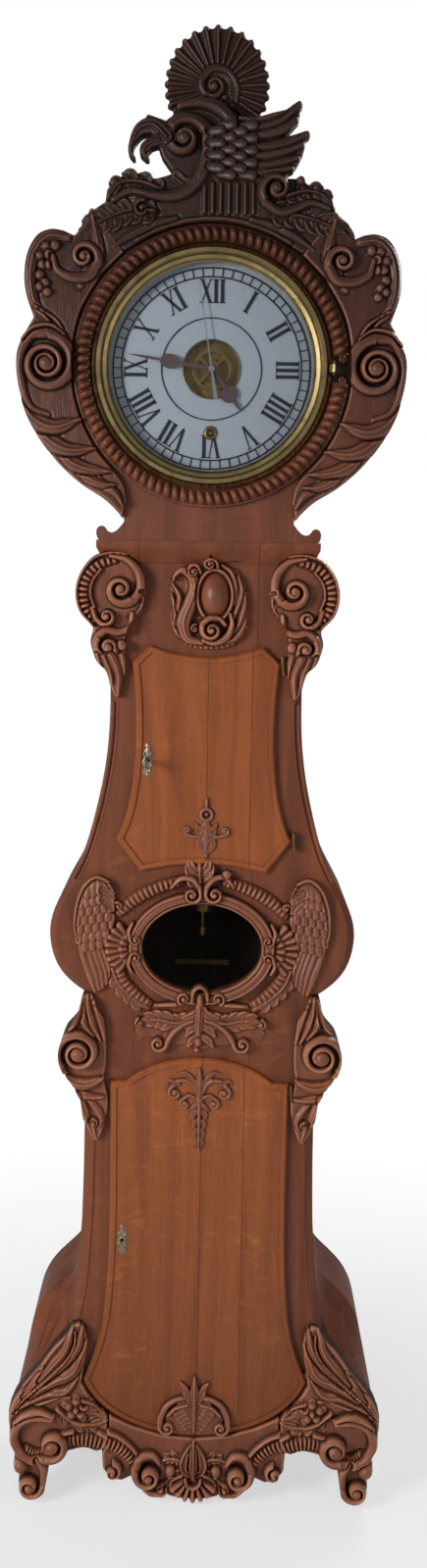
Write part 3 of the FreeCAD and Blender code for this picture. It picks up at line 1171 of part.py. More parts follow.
window_parts = [
    roll, band("band_top_right", 28, 62), band("band_top_left", 152, 118),
    band("band_low_right", -28, -62), band("band_low_left", 208, 242),
]
for side, sign, start, end in (("right", 1, -62, 62), ("left", -1, 242, 118)):
    window_parts.append(fan(
        f"window_fan_{side}", (sign * s("fan_x"), s("window_mid")), (s("carve_round"), s("fan_radius")),
        (start, end), SIDE_RIBS, s("case_front"), (s("band_rise") / 2, s("fan_rise"), s("crown_dip"))))
top_half = table(WINDOW_TOP_shares, z="window_top_foot", wide="window_top_wide", tall="window_top_tall")
window_parts.append(relief("window_top_scroll", both_sides(top_half), "window_top_rise"))
node(cut("window_frame_solid", fuse("window_frame_blank", *window_parts), light), "window_frame")
node(oval("window_pane", "glass_lap", "-case_front", "glass_thick"), "window_glass")

spray_half = table(SPRAY_shares, z="spray_foot", wide="spray_half", tall="spray_tall")
node(relief("spray_body", both_sides(spray_half), "spray_rise"), "window_spray")
wing_runs = table(WING_shares, x="wing_x", z="wing_foot", wide="wing_wide", tall="wing_tall")
wing = node(relief("wing_body", wing_runs, "wing_rise"), "wing_right")
node(mirror("wing_mirror", wing), "wing_left")

trunk_room = prism("trunk_room", both_sides(front_half), "-case_front - overrun",
                   "console_wrap + 2 * overrun")
console_runs = table(CONSOLE_shares, x="console_x", z="console_foot", wide="console_wide",
                     tall="console_tall")
console_side = cut("console_side", prism("console_blank", console_runs, "-case_front",
                                         "console_wrap"), trunk_room)
console_scroll = volute("console_scroll", "console_eye", "volute_rise", "console_eye_x",
                        "console_eye_z",
                        "case_front - console_rise")
console = node(fuse("console", relief("console_face", console_runs, "console_rise"), console_side,
                    console_scroll), "console_right")
node(mirror("console_mirror", console), "console_left")

ear_blank = prism("ear_blank", ear_runs, "-case_front", "console_wrap")
cornice_deep = "console_wrap + 2 * overrun"
cornice_room = box("ear_cornice_room", "0", "-case_front - overrun", "trunk_top", "base_half",
                   cornice_deep, "ear_tall")
ear_side = cut("ear_side", ear_blank, trunk_room, cornice_room)
ear_scroll = volute("ear_scroll", "ear_eye", "volute_rise", "ear_eye_x", "ear_eye_z",
                    "case_front - ear_rise", -1)
drop_scroll = volute("drop_scroll", "drop_eye", "volute_rise * 0.6", "drop_eye_x", "drop_eye_z",
                     "case_front - ear_rise")
ear = node(fuse("ear", relief("ear_face", ear_runs, "ear_rise"), ear_side, ear_scroll, drop_scroll),
           "scroll_ear_right")
node(mirror("ear_mirror", ear), "scroll_ear_left")

boss = doc.addObject("Part::Ellipsoid", "cartouche_boss")
for prop, text in (("Radius1", "boss_tall"), ("Radius2", "boss_wide"), ("Radius3", "boss_rise")):
    bind(boss, prop, text)
place(boss, "boss_x", "-case_front - cartouche_rise", "boss_z")
node(fuse("cartouche_solid", relief("cartouche_body", cartouche_runs, "cartouche_rise"), boss),
     "cartouche")
node(group("fixed_hinges", *fixed), "case_hinges")


# Doors: a leaf inside the frame, a lip over it and a moulded rim round the panel.
def door(name, runs, lean, key_x, key_z):
    gap_face = "-case_front - door_gap"
    lip_front = f"{gap_face} - lip_thick"
    lip = layered(f"{name}_lip", runs, (
        (gap_face, ""), (lip_front, ""), (f"{lip_front} - rim_rise", "-rim_round")))
    panel_room = prism(f"{name}_panel_room", runs, f"{lip_front} - rim_rise - overrun",
                       "rim_rise + overrun",
                       "-rim_wide")
    leaf = prism(f"{name}_leaf", runs, gap_face, "leaf_deep + door_gap", "-door_lip")
    hole = rod(f"{name}_keyhole", "keyhole_radius", "leaf_deep + lip_thick + 4 * overrun", key_x,
               f"{lip_front} - overrun", key_z)
    hinges = [moving_hinge(f"{name}_hinge_{end}", lean, *hinge_place(name, end)) for end in ("top",
            "foot")]
    node(cut(f"{name}_door_solid", fuse(f"{name}_blank", lip, leaf), panel_room, hole, *hinges),
         f"{name}_door")
    node(group(f"{name}_moving_hinges", *hinges), f"{name}_door_hinges")
    plate_half = table(ESCUTCHEON_shares, z="-0.5 * escutcheon_tall", wide="escutcheon_half",
                       tall="escutcheon_tall")
    plate = prism(f"{name}_plate", both_sides(plate_half), f"{lip_front} - escutcheon_thick",
                  "escutcheon_thick",
                  x=key_x, z=key_z)
    plate_hole = rod(f"{name}_plate_hole", "keyhole_radius", "escutcheon_thick + 2 * overrun", key_x,
                     f"{lip_front} - escutcheon_thick - overrun", key_z)
    node(cut(f"{name}_plate_solid", plate, plate_hole), f"{name}_escutcheon")
    left = f"{key_x} - 0.5 * lock_wide + lock_offset"
    low = f"{key_z} - 0.5 * lock_tall + lock_offset"
    back = "-case_front + leaf_deep"
    block = box(f"{name}_lock_block", left, back, low, "lock_wide", "lock_deep", "lock_tall")
    hollow = box(f"{name}_lock_hollow", f"{left} + lock_wall", f"{back} - overrun",
                 f"{low} + lock_wall",
                 "lock_wide - 2 * lock_wall", "lock_deep - lock_wall + overrun",
                 "lock_tall - 2 * lock_wall")
    bolt_y = f"{back} + 0.5 * lock_deep - 0.5 * bolt_deep + seat_gap"
    bolt_z = f"{key_z} + bolt_lift - 0.5 * bolt_tall"
    slot = box(f"{name}_bolt_slot", f"{left} - overrun", f"{bolt_y} - seat_gap", f"{bolt_z} - seat_gap",
               "lock_wall + 2 * overrun", "bolt_deep + 2 * seat_gap", "bolt_tall + 2 * seat_gap")
    node(cut(f"{name}_lock_solid", block, hollow, slot), f"{name}_lock_case")
    node(box(f"{name}_bolt_bar", f"{key_x} - bolt_tip", bolt_y, bolt_z, "bolt_wide", "bolt_deep",
             "bolt_tall"),
         f"{name}_bolt")


door("upper", upper_door, upper_lean, "upper_key_x", "upper_key_z")
door("lower", lower_door, lower_lean, "lower_key_x", "lower_key_z")
panel_face = "case_front - door_gap - lip_thick"
pendant_half = table(PENDANT_shares, z="pendant_foot", wide="pendant_half", tall="pendant_tall")
node(relief("pendant_body", both_sides(pendant_half, s("pendant_x")), "pendant_rise", panel_face,
            "door_clear"),
     "upper_door_pendant")
fleur_half = table(FLEUR_shares, z="fleur_foot", wide="fleur_half", tall="fleur_tall")
fleur = relief("fleur_body", both_sides(fleur_half), "fleur_rise", panel_face, "door_clear")
fleur_eyes = [volute(f"fleur_eye_{side}", "fleur_eye", "volute_rise * 0.4", f"{sign}fleur_eye_x",
                     "fleur_eye_z",
                     f"{panel_face} - fleur_rise", hand) for side, sign, hand in (("left", "-", 1),
                             ("right", "", -1))]
husk_half = table(HUSK_shares, z="husk_foot", wide="husk_half", tall="husk_tall")
husk = prism("husk_body", both_sides(husk_half), f"-{panel_face} - husk_rise", "husk_rise")
node(group("fleur_and_husk", fuse("fleur_carving", fleur, *fleur_eyes), husk), "lower_door_fleur")

key_front = f"-{panel_face} - key_out"
shank = rod("key_shank_rod", "key_shank",
            "key_out + lip_thick + door_gap + leaf_deep + 0.5 * lock_deep",
            "upper_key_x", key_front, "upper_key_z")
bow_y = f"{key_front} - key_bow + seat_gap"
bow = cut("key_bow_ring",
          rod("key_bow_disc", "key_bow", "key_bow_thick", "upper_key_x - 0.5 * key_bow_thick",
              bow_y, "upper_key_z", "x"),
          rod("key_bow_hole_rod", "key_bow_hole", "key_bow_thick + 2 * overrun",
              "upper_key_x - 0.5 * key_bow_thick - overrun", bow_y, "upper_key_z", "x"))
bit = box("key_bit_plate", "upper_key_x - 0.5 * key_bit_wide", "-case_front + leaf_deep + lock_wall",
          "upper_key_z - key_bit_drop", "key_bit_wide", "key_bit_long", "key_bit_drop")
node(fuse("key_solid", shank, bow, bit), "upper_key")

# Hood: front board, drum, gadroon ring, cheeks and crest. It slides forward off the case.
hood_face = "case_front - hood_board"
scroll_runs = table(NECK_SCROLL_shares, x="neck_scroll_x", z=HOOD_FOOT, wide="neck_scroll_wide",
                    tall="neck_scroll_tall")
neck_scroll = prism("neck_scroll", scroll_runs, f"-{hood_face}", "hood_board")
hinge_y = f"-{hood_face} - bezel_hinge_proud"
lug_low = "dial_z - 0.5 * bezel_knuckle_long - pivot_clear - bezel_arm"
lug_high = "dial_z + 0.5 * bezel_knuckle_long + pivot_clear"
lugs = [rod("bezel_hinge_pin", "bezel_pin", "bezel_knuckle_long + 2 * bezel_arm", "bezel_hinge_x",
            hinge_y,
            "dial_z - 0.5 * bezel_knuckle_long - bezel_arm", "z")]
for side, low in (("low", lug_low), ("high", lug_high)):
    lugs.append(box(f"bezel_lug_{side}", "bezel_hinge_x", hinge_y, low, "bezel_knuckle",
                    "bezel_hinge_proud + seat_gap", "bezel_arm"))
    lugs.append(rod(f"bezel_lug_eye_{side}", "bezel_knuckle", "bezel_arm", "bezel_hinge_x",
                    hinge_y, low, "z"))
sight = rod("sight_hole", "sight_radius", "hood_board + 2 * overrun", "",
            f"-{hood_face} - overrun", "dial_z")
hood_plate = cut("hood_plate_open", prism("hood_plate", hood_runs, f"-{hood_face}", "hood_board"),
                 sight)
node(fuse("hood_front_solid", hood_plate, neck_scroll, mirror("neck_scroll_mirror", neck_scroll),
          *lugs),
     "hood_front")
drum_deep = "case_front + case_back"
mouth_half = f"hood_half * {HOOD_shares[1][0][0]} - hood_inset - drum_wall"
mouth = box("drum_mouth", f"seat_gap - ({mouth_half})", "-case_front - overrun", "trunk_top",
            f"2 * ({mouth_half}) - 2 * seat_gap",
            f"{drum_deep} + 2 * overrun", "cornice_tall + seat_gap + hood_inset + drum_wall + overrun")
drum = cut("hood_drum", prism("drum_outer", hood_runs, "-case_front", drum_deep, "-hood_inset"),
           prism("drum_inner", hood_runs, "-case_front - overrun", f"{drum_deep} + 2 * overrun",
                 "-hood_inset - drum_wall"), mouth)
drum_feet = [box(f"drum_foot_{side}", x, "-case_front", HOOD_FOOT, "drum_wall", drum_deep,
                 "hood_inset + overrun")
             for side, x in (("right", mouth_half), ("left", f"-({mouth_half}) - drum_wall"))]
node(fuse("hood_shell_solid", drum, *drum_feet), "hood_shell")

hood_out = value("case_front + hood_board")
gadroon_inner = value("bezel_outer + bezel_clear")
gadroon_mid = (gadroon_inner + s("gadroon_outer")) / 2
stations = []
for i in range(2 * GADROONS + 1):
    angle = GADROON_BREAK + (360 - 2 * GADROON_BREAK) * i / (2 * GADROONS)
    dip = s("gadroon_dip") if i % 2 == 0 else 0.0
    points = []
    for radius, out, lead in ((gadroon_inner, 0.0, 0.0), (s("gadroon_outer") - dip / 3, 0.0, 0.0),
                              (gadroon_mid, s("gadroon_rise") - dip, GADROON_LEAD)):
        turn = math.radians(angle + lead)
        points.append(Vector(radius * math.cos(turn), -hood_out - out, s("dial_z") + radius *
                             math.sin(turn)))
    stations.append(points)
node(skin("gadroon_ring_solid", stations), "gadroon_ring")

# A carving that stands past the hood board also runs back beside it.
hood_room = prism("hood_room", hood_runs, f"-{hood_face} - overrun", "hood_board + 2 * overrun")
cheek_runs = table(CHEEK_shares, x="cheek_x", z="cheek_foot", wide="cheek_wide", tall="cheek_tall")
cheek_edge = cut("cheek_edge", prism("cheek_blank", cheek_runs, f"-{hood_face}", "hood_board"),
                 hood_room)
cheek_scroll = volute("cheek_scroll", "cheek_eye", "volute_rise", "cheek_eye_x", "cheek_eye_z",
                      f"{hood_face} - cheek_rise")
ear_ball = volute("ear_ball_scroll", "ear_ball", "volute_rise * 0.6", "ear_ball_x", "ear_ball_z",
                  f"{hood_face} - cheek_rise", -1)
cheek = node(fuse("cheek", relief("cheek_body", cheek_runs, "cheek_rise", hood_face), cheek_edge,
                  cheek_scroll,
                  ear_ball), "hood_carving_right")
node(mirror("cheek_mirror", cheek), "hood_carving_left")

crest_runs = table(CREST_shares, x="crest_x", z="crest_foot", wide="crest_wide", tall="crest_tall")
wing_shape = table(BEAST_WING_shares, x="beast_wing_x", z="beast_wing_foot", wide="beast_wing_wide",
                   tall="beast_wing_tall")
hook_runs = table(BEAST_HOOK_shares, x="hook_x", z="hook_foot", wide="hook_wide", tall="hook_tall")
crest_edge = cut("crest_edge", prism("crest_back", crest_runs, f"-{hood_face}", "hood_board"),
                 hood_room)
crest_blank = fuse("crest_blank", relief("crest_body", crest_runs, "crest_rise", hood_face), crest_edge,
                   relief("beast_wing_body", wing_shape, "beast_wing_rise", hood_face),
                   relief("hook_body", hook_runs, "crest_rise", hood_face),
                   volute("coil", "coil_radius", "beast_wing_rise", "coil_x", "coil_z", hood_face))
cheek_room = prism("cheek_room", cheek_runs, f"-{hood_face} - beast_wing_rise - overrun",
                   "beast_wing_rise + hood_board + 2 * overrun", "seat_gap")
crown_foot_z = "dial_z + hood_half - hood_inset"
crown_foot_x = f"crown_x - crown_radius * {CROWN_FOOT_share}"
crown_foot = box("crown_foot", crown_foot_x, f"-{hood_face}", crown_foot_z,
                 f"2 * crown_radius * {CROWN_FOOT_share}", "hood_board",
                 "crown_z - dial_z - hood_half + hood_inset")
node(cut("crest_solid", crest_blank, cheek_room, mirror("cheek_room_mirror", cheek_room), crown_foot),
     "crest_scrolls")
crown = fan("crown_fan", (s("crown_x"), s("crown_z")), (s("crown_boss"), s("crown_radius")), (-50, 230),
            CROWN_RIBS, s("case_front"), (s("crown_edge"), s("crown_rise"), s("crown_dip")))
crown_core = rod("crown_core", "crown_boss + overrun", "crown_rise", "crown_x",
                 "-case_front - crown_rise", "crown_z")
node(cut("crown_solid", fuse("crown_blank", crown, crown_core, crown_foot), hood_room), "crest_shell")

# Bezel: a turned brass ring with its glass, hinged on the right.
ring_wide = value("bezel_outer - bezel_inner")
ring_back = -hood_out - s("bezel_gap")
ring_points = [(s("bezel_inner") + u * ring_wide, ring_back - v * s("bezel_deep")) for u,
               v in BEZEL_shares]
lap = value("bezel_inner + bezel_lap")
ring_points += [(lap, ring_points[-1][1]), (lap, ring_back)]
section = doc.addObject("Part::Feature", "bezel_section")
ring_vectors = [Vector(x, y, s("dial_z")) for x, y in ring_points]
section.Shape = Part.makePolygon(ring_vectors + ring_vectors[:1])
turned = doc.addObject("Part::Revolution", "bezel_turned")
turned.Source = section
turned.Axis = Vector(0, 1, 0)
turned.Base = Vector(0, 0, s("dial_z"))
turned.Angle = 360
turned.Solid = True
knuckle_z = "dial_z - 0.5 * bezel_knuckle_long"
arm = box("bezel_arm_box", "bezel_outer - bezel_knuckle", f"{hinge_y} + bezel_pin + pivot_clear",
          knuckle_z,
          "bezel_hinge_x - bezel_outer + bezel_knuckle", "bezel_knuckle", "bezel_knuckle_long")
knuckle = rod("bezel_knuckle_rod", "bezel_knuckle", "bezel_knuckle_long", "bezel_hinge_x", hinge_y,
              knuckle_z, "z")
bezel_bore = rod("bezel_bore", "bezel_pin + pivot_clear", "bezel_knuckle_long + 2 * overrun",
                 "bezel_hinge_x",
                 hinge_y, f"{knuckle_z} - overrun", "z")
node(cut("bezel_solid", fuse("bezel_blank", turned, arm, knuckle), bezel_bore), "bezel_ring")
node(rod("bezel_pane", "bezel_inner + bezel_lap - seat_gap", "glass_thick", "",
         f"-{hood_face} - bezel_gap - bezel_deep * {BEZEL_shares[-1][1]}", "dial_z"), "bezel_glass")

# Movement: seat, plates with pillars and dial feet, the open dial.
seat_z = "dial_z - plate_drop - seat_board"
cheek_up = "dial_z - plate_drop - seat_board - trunk_top - cornice_tall"
seat_cheeks = [box(f"seat_cheek_{side}", x, "-slot_front", "trunk_top + cornice_tall", "seat_cheek",
                   "case_back - rear_board + slot_front", cheek_up)
               for side, x in (("left", "-seat_cheek_in - seat_cheek"), ("right", "seat_cheek_in"))]
seat = cut("seat_open",
           box("seat_plank", "-seat_half", "-seat_front", seat_z, "2 * seat_half",
               "seat_front + case_back - rear_board",
               "seat_board"),
           box("seat_slot", "-slot_half", "-slot_front", f"{seat_z} - overrun", "2 * slot_half",
               "slot_deep",
               "seat_board + 2 * overrun"))
node(fuse("movement_seat_solid", seat, *seat_cheeks), "movement_seat")

back_plate = "-front_plate + plate_thick + plate_space"
great_z = "dial_z - winding_drop"
middle_reach = (GREAT_TEETH + LEAVES) / 2
third_reach = (CENTRE_TEETH + LEAVES) / 2 * s("third_module")
motion_reach = (HOUR_TEETH + LEAVES) / 2 * s("hour_module")
middle_module = s("winding_drop") / ((MIDDLE_TEETH + LEAVES) / 2) - s("great_module")
third_wheel_module = third_reach / ((THIRD_TEETH + LEAVES) / 2)
motion_module = motion_reach / MOTION_TEETH
middle_z = f"dial_z - winding_drop + great_module * {middle_reach}"
third_x = f"-{third_reach * math.sin(THIRD_BEARING):.5f}"
third_z = f"dial_z + {third_reach * math.cos(THIRD_BEARING):.5f}"
motion_z = f"dial_z - {motion_reach:.5f}"
pallet_z = "dial_z + pallet_lift"
plates = [box(f"{side}_plate", "-plate_half", y, "dial_z - plate_drop", "2 * plate_half", "plate_thick",
              "plate_drop + plate_lift") for side, y in (("front", "-front_plate"), ("back",
                      back_plate))]
both_plates = "plate_space + 2 * plate_thick + 2 * overrun"
one_plate = "plate_thick + 2 * overrun"
BORES = (
    ("centre", "minute_pipe", one_plate, "", "dial_z"), ("great", "great_arbor", both_plates, "",
                                                         great_z),
    ("middle", "middle_arbor", both_plates, "", middle_z), ("third", "third_arbor", both_plates,
                                                            third_x, third_z),
    ("motion", "motion_arbor", one_plate, "", motion_z), ("pallet", "pallet_bore", both_plates, "",
                                                          pallet_z),
)
bores = [rod(f"bore_{name}", f"{radius} + pivot_clear", long, x, "-front_plate - overrun", z)
         for name, radius, long, x, z in BORES]
bores.append(rod("bore_seconds", "second_arbor + pivot_clear", one_plate, "",
                 f"{back_plate} - overrun", "dial_z"))
pillars = []
for i, (x, z) in enumerate((("-pillar_x", "dial_z + pillar_up"), ("pillar_x", "dial_z + pillar_up"),
                            ("-pillar_x", "dial_z - pillar_down"), ("pillar_x",
                                    "dial_z - pillar_down"))):
    pillars.append(rod(f"pillar_{i}", "pillar_radius", "plate_space", x,
                       "-front_plate + plate_thick", z))
    pillars.append(rod(f"dial_foot_{i}", "dial_foot", "dial_face - dial_thick - front_plate", x,
                       "-dial_face + dial_thick", z))
node(cut("plates_open", fuse("plates_blank", *plates, *pillars), *bores), "movement_plates")

disc = rod("dial_disc", "dial_radius", "dial_thick", "", "-dial_face", "dial_z")
eyelet = rod("eyelet_ring", "eyelet_outer", "dial_thick", "", "-dial_face - dial_thick", great_z)
node(cut("dial_solid", fuse("dial_blank", disc, eyelet),
         rod("dial_hole_rod", "dial_hole", "dial_thick + 2 * overrun", "", "-dial_face - overrun",
             "dial_z"),
         rod("eyelet_hole", "eyelet_inner", "2 * dial_thick + 2 * overrun", "",
             "-dial_face - dial_thick - overrun",
             great_z)), "dial")


# Going train. The wheels have straight-flanked teeth, in mesh at rest.
def gear_runs(teeth, module, form, start, gap=False):
    """A toothed outline. Start is where a tooth, or a gap, points, in degrees clockwise from up."""
    radius, pitch = teeth * module / 2, math.pi * module
    foot, tip = radius - form["root"] * module, radius + form["tip"] * module
    points = []
    for i in range(teeth):
        turn = math.radians(start) + 2 * math.pi * (i + (0.5 if gap else 0)) / teeth
        for reach, half in ((foot, -form["root_half"]), (tip, -form["tip_half"]), (tip,
                form["tip_half"]),
                            (foot, form["root_half"])):
            angle = turn + half * pitch / reach
            points.append((reach * math.sin(angle), reach * math.cos(angle)))
    return [list(pair) for pair in zip(points, points[1:] + points[:1])]


def bar_runs(left, right, half):
    """A straight bar from one end to the other, as four runs."""
    corners = [(left, -half), (right, -half), (right, half), (left, half)]
    return [list(pair) for pair in zip(corners, corners[1:] + corners[:1])]


def wheel(name, runs, inner, front, x, z):
    """A spoked wheel: a rim with the given edge, two crossing bars and a hub."""
    rim = prism(f"{name}_rim", runs, f"-{front}", "wheel_thick", x=x, z=z)
    opening = rod(f"{name}_opening", f"{inner:.4f}", "wheel_thick + 2 * overrun", x,
                  f"-{front} - overrun", z)
    reach = inner + s("rim_band") / 2
    bars = [prism(f"{name}_bar_{i}", bar_runs(-reach, reach, s("spoke_wide") / 2), f"-{front}",
                  "wheel_thick",
                  x=x, z=z, turn=45 + 90 * i) for i in (0, 1)]
    hub = rod(f"{name}_hub", "hub_radius", "wheel_thick", x, f"-{front}", z)
    return [cut(f"{name}_rim_open", rim, opening), *bars, hub]


def gear(name, teeth, module, form, start, front, x, z):
    inner = teeth * module / 2 - form["root"] * module - s("rim_band")
    return wheel(name, gear_runs(teeth, module, form, start), inner, front, x, z)


def leaves(name, module, start, front, x, z):
    """A pinion, a little longer than the wheel it meshes with."""
    runs = gear_runs(LEAVES, module, LEAF_TOOTH_shares, start, True)
    return prism(name, runs, f"-{front} - leaf_extra", "wheel_thick + 2 * leaf_extra", x=x, z=z)


def arbor(name, radius, front, x, z):
    """An arbor from its front end to just inside the back plate's rear face."""
    return rod(name, radius, f"{back_plate} + plate_thick - arbor_end - ({front})", x, front, z)


plate_end = "-front_plate + arbor_end"
third_turn = -math.degrees(THIRD_BEARING)
pipe_bore = rod("minute_pipe_bore", "minute_bore", "minute_hand_front", "",
                "-minute_hand_front - overrun", "dial_z")
pipe = rod("minute_pipe_rod", "minute_pipe",
           "minute_hand_front - hand_thick - centre_front + wheel_thick + leaf_extra",
           "", "-minute_hand_front + hand_thick", "dial_z")
cannon_runs = gear_runs(MOTION_TEETH, motion_module, MOTION_TOOTH_shares, 180)
cannon = prism("cannon_wheel", cannon_runs, "-minute_front - leaf_extra",
               "wheel_thick + 2 * leaf_extra", z="dial_z")
centre_parts = gear("centre", CENTRE_TEETH, s("third_module"), WHEEL_TOOTH_shares, third_turn,
                    "centre_front", "",
                    "dial_z")
centre_leaf = leaves("centre_pinion", middle_module, 180, "middle_front", "", "dial_z")
node(cut("centre_solid", fuse("centre_blank", *centre_parts, pipe, cannon, centre_leaf),
         pipe_bore), "centre_wheel")

third_parts = gear("third", THIRD_TEETH, third_wheel_module, WHEEL_TOOTH_shares, third_turn + 180,
                   "third_front",
                   third_x, third_z)
third_leaf = leaves("third_pinion", s("third_module"), third_turn + 180, "centre_front", third_x,
                    third_z)
third_rod = arbor("third_arbor_rod", "third_arbor", plate_end, third_x, third_z)
node(fuse("third_solid", *third_parts, third_leaf, third_rod), "third_wheel")

points = []
for i in range(ESCAPE_TEETH):
    for reach, lead in ESCAPE_TOOTH_shares:
        angle = 2 * math.pi * (i + lead) / ESCAPE_TEETH
        radius = s("escape_radius") - (1 - reach) * s("escape_tooth")
        points.append((radius * math.sin(angle), radius * math.cos(angle)))
escape_runs = [list(pair) for pair in zip(points, points[1:] + points[:1])]
escape_parts = wheel("escape", escape_runs, value("escape_radius - escape_tooth - rim_band"),
                     "escape_front", "",
                     "dial_z")
escape_leaf = leaves("escape_pinion", third_wheel_module, third_turn, "third_front", "", "dial_z")
second_rod = arbor("second_arbor_rod", "second_arbor", "-second_hand_front + hand_thick", "", "dial_z")
node(fuse("escape_solid", *escape_parts, escape_leaf, second_rod), "escape_wheel")

middle_parts = gear("middle", MIDDLE_TEETH, middle_module, WHEEL_TOOTH_shares, 0, "middle_front",
                    "", middle_z)
middle_leaf = leaves("middle_pinion", s("great_module"), 180, "great_front", "", middle_z)
middle_rod = arbor("middle_arbor_rod", "middle_arbor", plate_end, "", middle_z)
node(fuse("middle_solid", *middle_parts, middle_leaf, middle_rod), "intermediate_wheel")
great_parts = gear("great", GREAT_TEETH, s("great_module"), WHEEL_TOOTH_shares, 0, "great_front",
                   "", great_z)
great_rod = arbor("great_arbor_rod", "great_arbor", "-dial_face", "", great_z)
node(fuse("great_solid", *great_parts, great_rod), "great_wheel")

motion_runs = gear_runs(MOTION_TEETH, motion_module, MOTION_TOOTH_shares, 0, True)
motion_rim = prism("motion_wheel", motion_runs, "-hour_front + wheel_thick + leaf_extra",
                   "hour_front - front_plate - wheel_thick - 3 * leaf_extra", z=motion_z)
motion_leaf = leaves("motion_pinion", s("hour_module"), 0, "hour_front", "", motion_z)
motion_rod = rod("motion_rod", "motion_arbor",
                 "hour_front + leaf_extra - front_plate + plate_thick - arbor_end", "",
                 "-hour_front - leaf_extra", motion_z)
node(fuse("motion_solid", motion_rim, motion_leaf, motion_rod), "minute_wheel")

hour_parts = gear("hour", HOUR_TEETH, s("hour_module"), WHEEL_TOOTH_shares, 180, "hour_front", "",
                  "dial_z")
hour_rod = rod("hour_pipe_rod", "hour_pipe",
               "hour_hand_front - hand_thick - hour_front + wheel_thick", "",
               "-hour_hand_front + hand_thick", "dial_z")
hour_hole = rod("hour_bore_rod", "hour_bore", "hour_hand_front", "", "-hour_hand_front - overrun",
                "dial_z")
node(cut("hour_solid", fuse("hour_blank", *hour_parts, hour_rod), hour_hole), "hour_wheel")


# Hands, each on its own pipe or arbor.
def hand(name, shares, wide, long, front, turn, bore_radius):
    blade_runs = both_sides(table(shares, wide=wide, tall=long))
    blade = prism(f"{name}_blade", blade_runs, f"-{front}", "hand_thick", z="dial_z", turn=turn)
    disc = rod(f"{name}_boss", "hand_boss", "hand_thick", "", f"-{front}", "dial_z")
    hole = rod(f"{name}_hole", bore_radius, "hand_thick + 2 * overrun", "", f"-{front} - overrun",
               "dial_z")
    node(cut(f"{name}_solid", fuse(f"{name}_blank", blade, disc), hole), name)


hand("hour_hand", HOUR_HAND_shares, "hour_hand_wide", "hour_hand_long", "hour_hand_front",
     HOUR_TURN, "hour_bore")
hand("minute_hand", MINUTE_HAND_shares, "minute_hand_wide", "minute_hand_long",
     "minute_hand_front", MINUTE_TURN,
     "minute_bore")
needle_runs = both_sides(table(NEEDLE_shares, z="-1 * second_hand_tail", wide="second_hand_wide",
                               tall="second_hand_long + second_hand_tail"))
needle = prism("seconds_blade", needle_runs, "-second_hand_front", "hand_thick", z="dial_z",
               turn=SECOND_TURN)
needle_boss = rod("seconds_boss", "0.6 * hand_boss", "hand_thick", "", "-second_hand_front", "dial_z")
node(fuse("seconds_solid", needle, needle_boss), "seconds_hand")

# Pallets with their crutch, the suspension cock, the pendulum and the beat scale.
arm_lean = math.degrees(math.atan2(s("pallet_half"), s("pallet_down")))
arm_long = math.hypot(s("pallet_half"), s("pallet_down"))
pallet_y = "-escape_front - 0.5 * pallet_thick + 0.5 * wheel_thick"
arms = [prism(f"pallet_arm_{side}", bar_runs(0.0, arm_long, s("pallet_arm") / 2), pallet_y,
              "pallet_thick",
              z=pallet_z, turn=turn) for side, turn in (("left", 90 + arm_lean), ("right", 90 -
                      arm_lean))]
pallet_rod = rod("pallet_rod", "pallet_bore",
                 "front_plate - arbor_end + crutch_back + crutch_thick", "", plate_end,
                 pallet_z)
pallet_hub = rod("pallet_hub", "0.5 * hub_radius", "pallet_thick", "", pallet_y, pallet_z)
crutch_foot = "dial_z + pallet_lift - crutch_long"
crutch = box("crutch_bar", "-0.5 * crutch_wide", "crutch_back", crutch_foot, "crutch_wide",
             "crutch_thick",
             "crutch_long + pallet_bore")
fork = [box("fork_bar", "-rod_radius - fork_gap - fork_prong", "crutch_back", crutch_foot,
            "2 * rod_radius + 2 * fork_gap + 2 * fork_prong", "crutch_thick", "crutch_wide")]
for side, x in (("left", "-rod_radius - fork_gap - fork_prong"), ("right", "rod_radius + fork_gap")):
    fork.append(box(f"fork_{side}", x, "crutch_back", crutch_foot, "fork_prong",
                    "pendulum_y + rod_radius - crutch_back", "crutch_wide"))
node(fuse("pallets_solid", *arms, pallet_rod, pallet_hub, crutch, *fork), "pallets")

cock_y = "pendulum_y + rod_radius + seat_gap"
cock = box("cock_bar", "-0.5 * cock_wide", cock_y, "suspension_z - 0.5 * cock_tall", "cock_wide",
           f"case_back - rear_board - ({cock_y})", "cock_tall")
cock_pin = rod("cock_pin", "hook_radius", "2 * rod_radius + 2 * seat_gap + cock_jaw", "",
               "pendulum_y - rod_radius - seat_gap", "suspension_z")
node(fuse("cock_solid", cock, cock_pin), "suspension_bracket")

bob_foot = "bob_foot"
rod_foot = "bob_foot - tail_drop"
pendulum_rod = rod("pendulum_rod", "rod_radius", f"suspension_z + 2 * rod_radius - ({rod_foot})",
                   "", "pendulum_y", rod_foot,
                   "z")
bob = rod("pendulum_bob", "bob_radius", "bob_tall", "", "pendulum_y", bob_foot, "z")
nut = rod("rating_nut", "nut_radius", "nut_tall", "", "pendulum_y",
          "bob_foot - nut_drop - nut_tall", "z")
eye = rod("suspension_eye", "2 * rod_radius", "2 * rod_radius", "", "pendulum_y - rod_radius",
          "suspension_z")
eye_hole = rod("suspension_eye_hole", "hook_radius + pivot_clear", "2 * rod_radius + 2 * overrun", "",
               "pendulum_y - rod_radius - overrun", "suspension_z")
node(cut("pendulum_solid", fuse("pendulum_blank", pendulum_rod, bob, nut, eye), eye_hole), "pendulum")

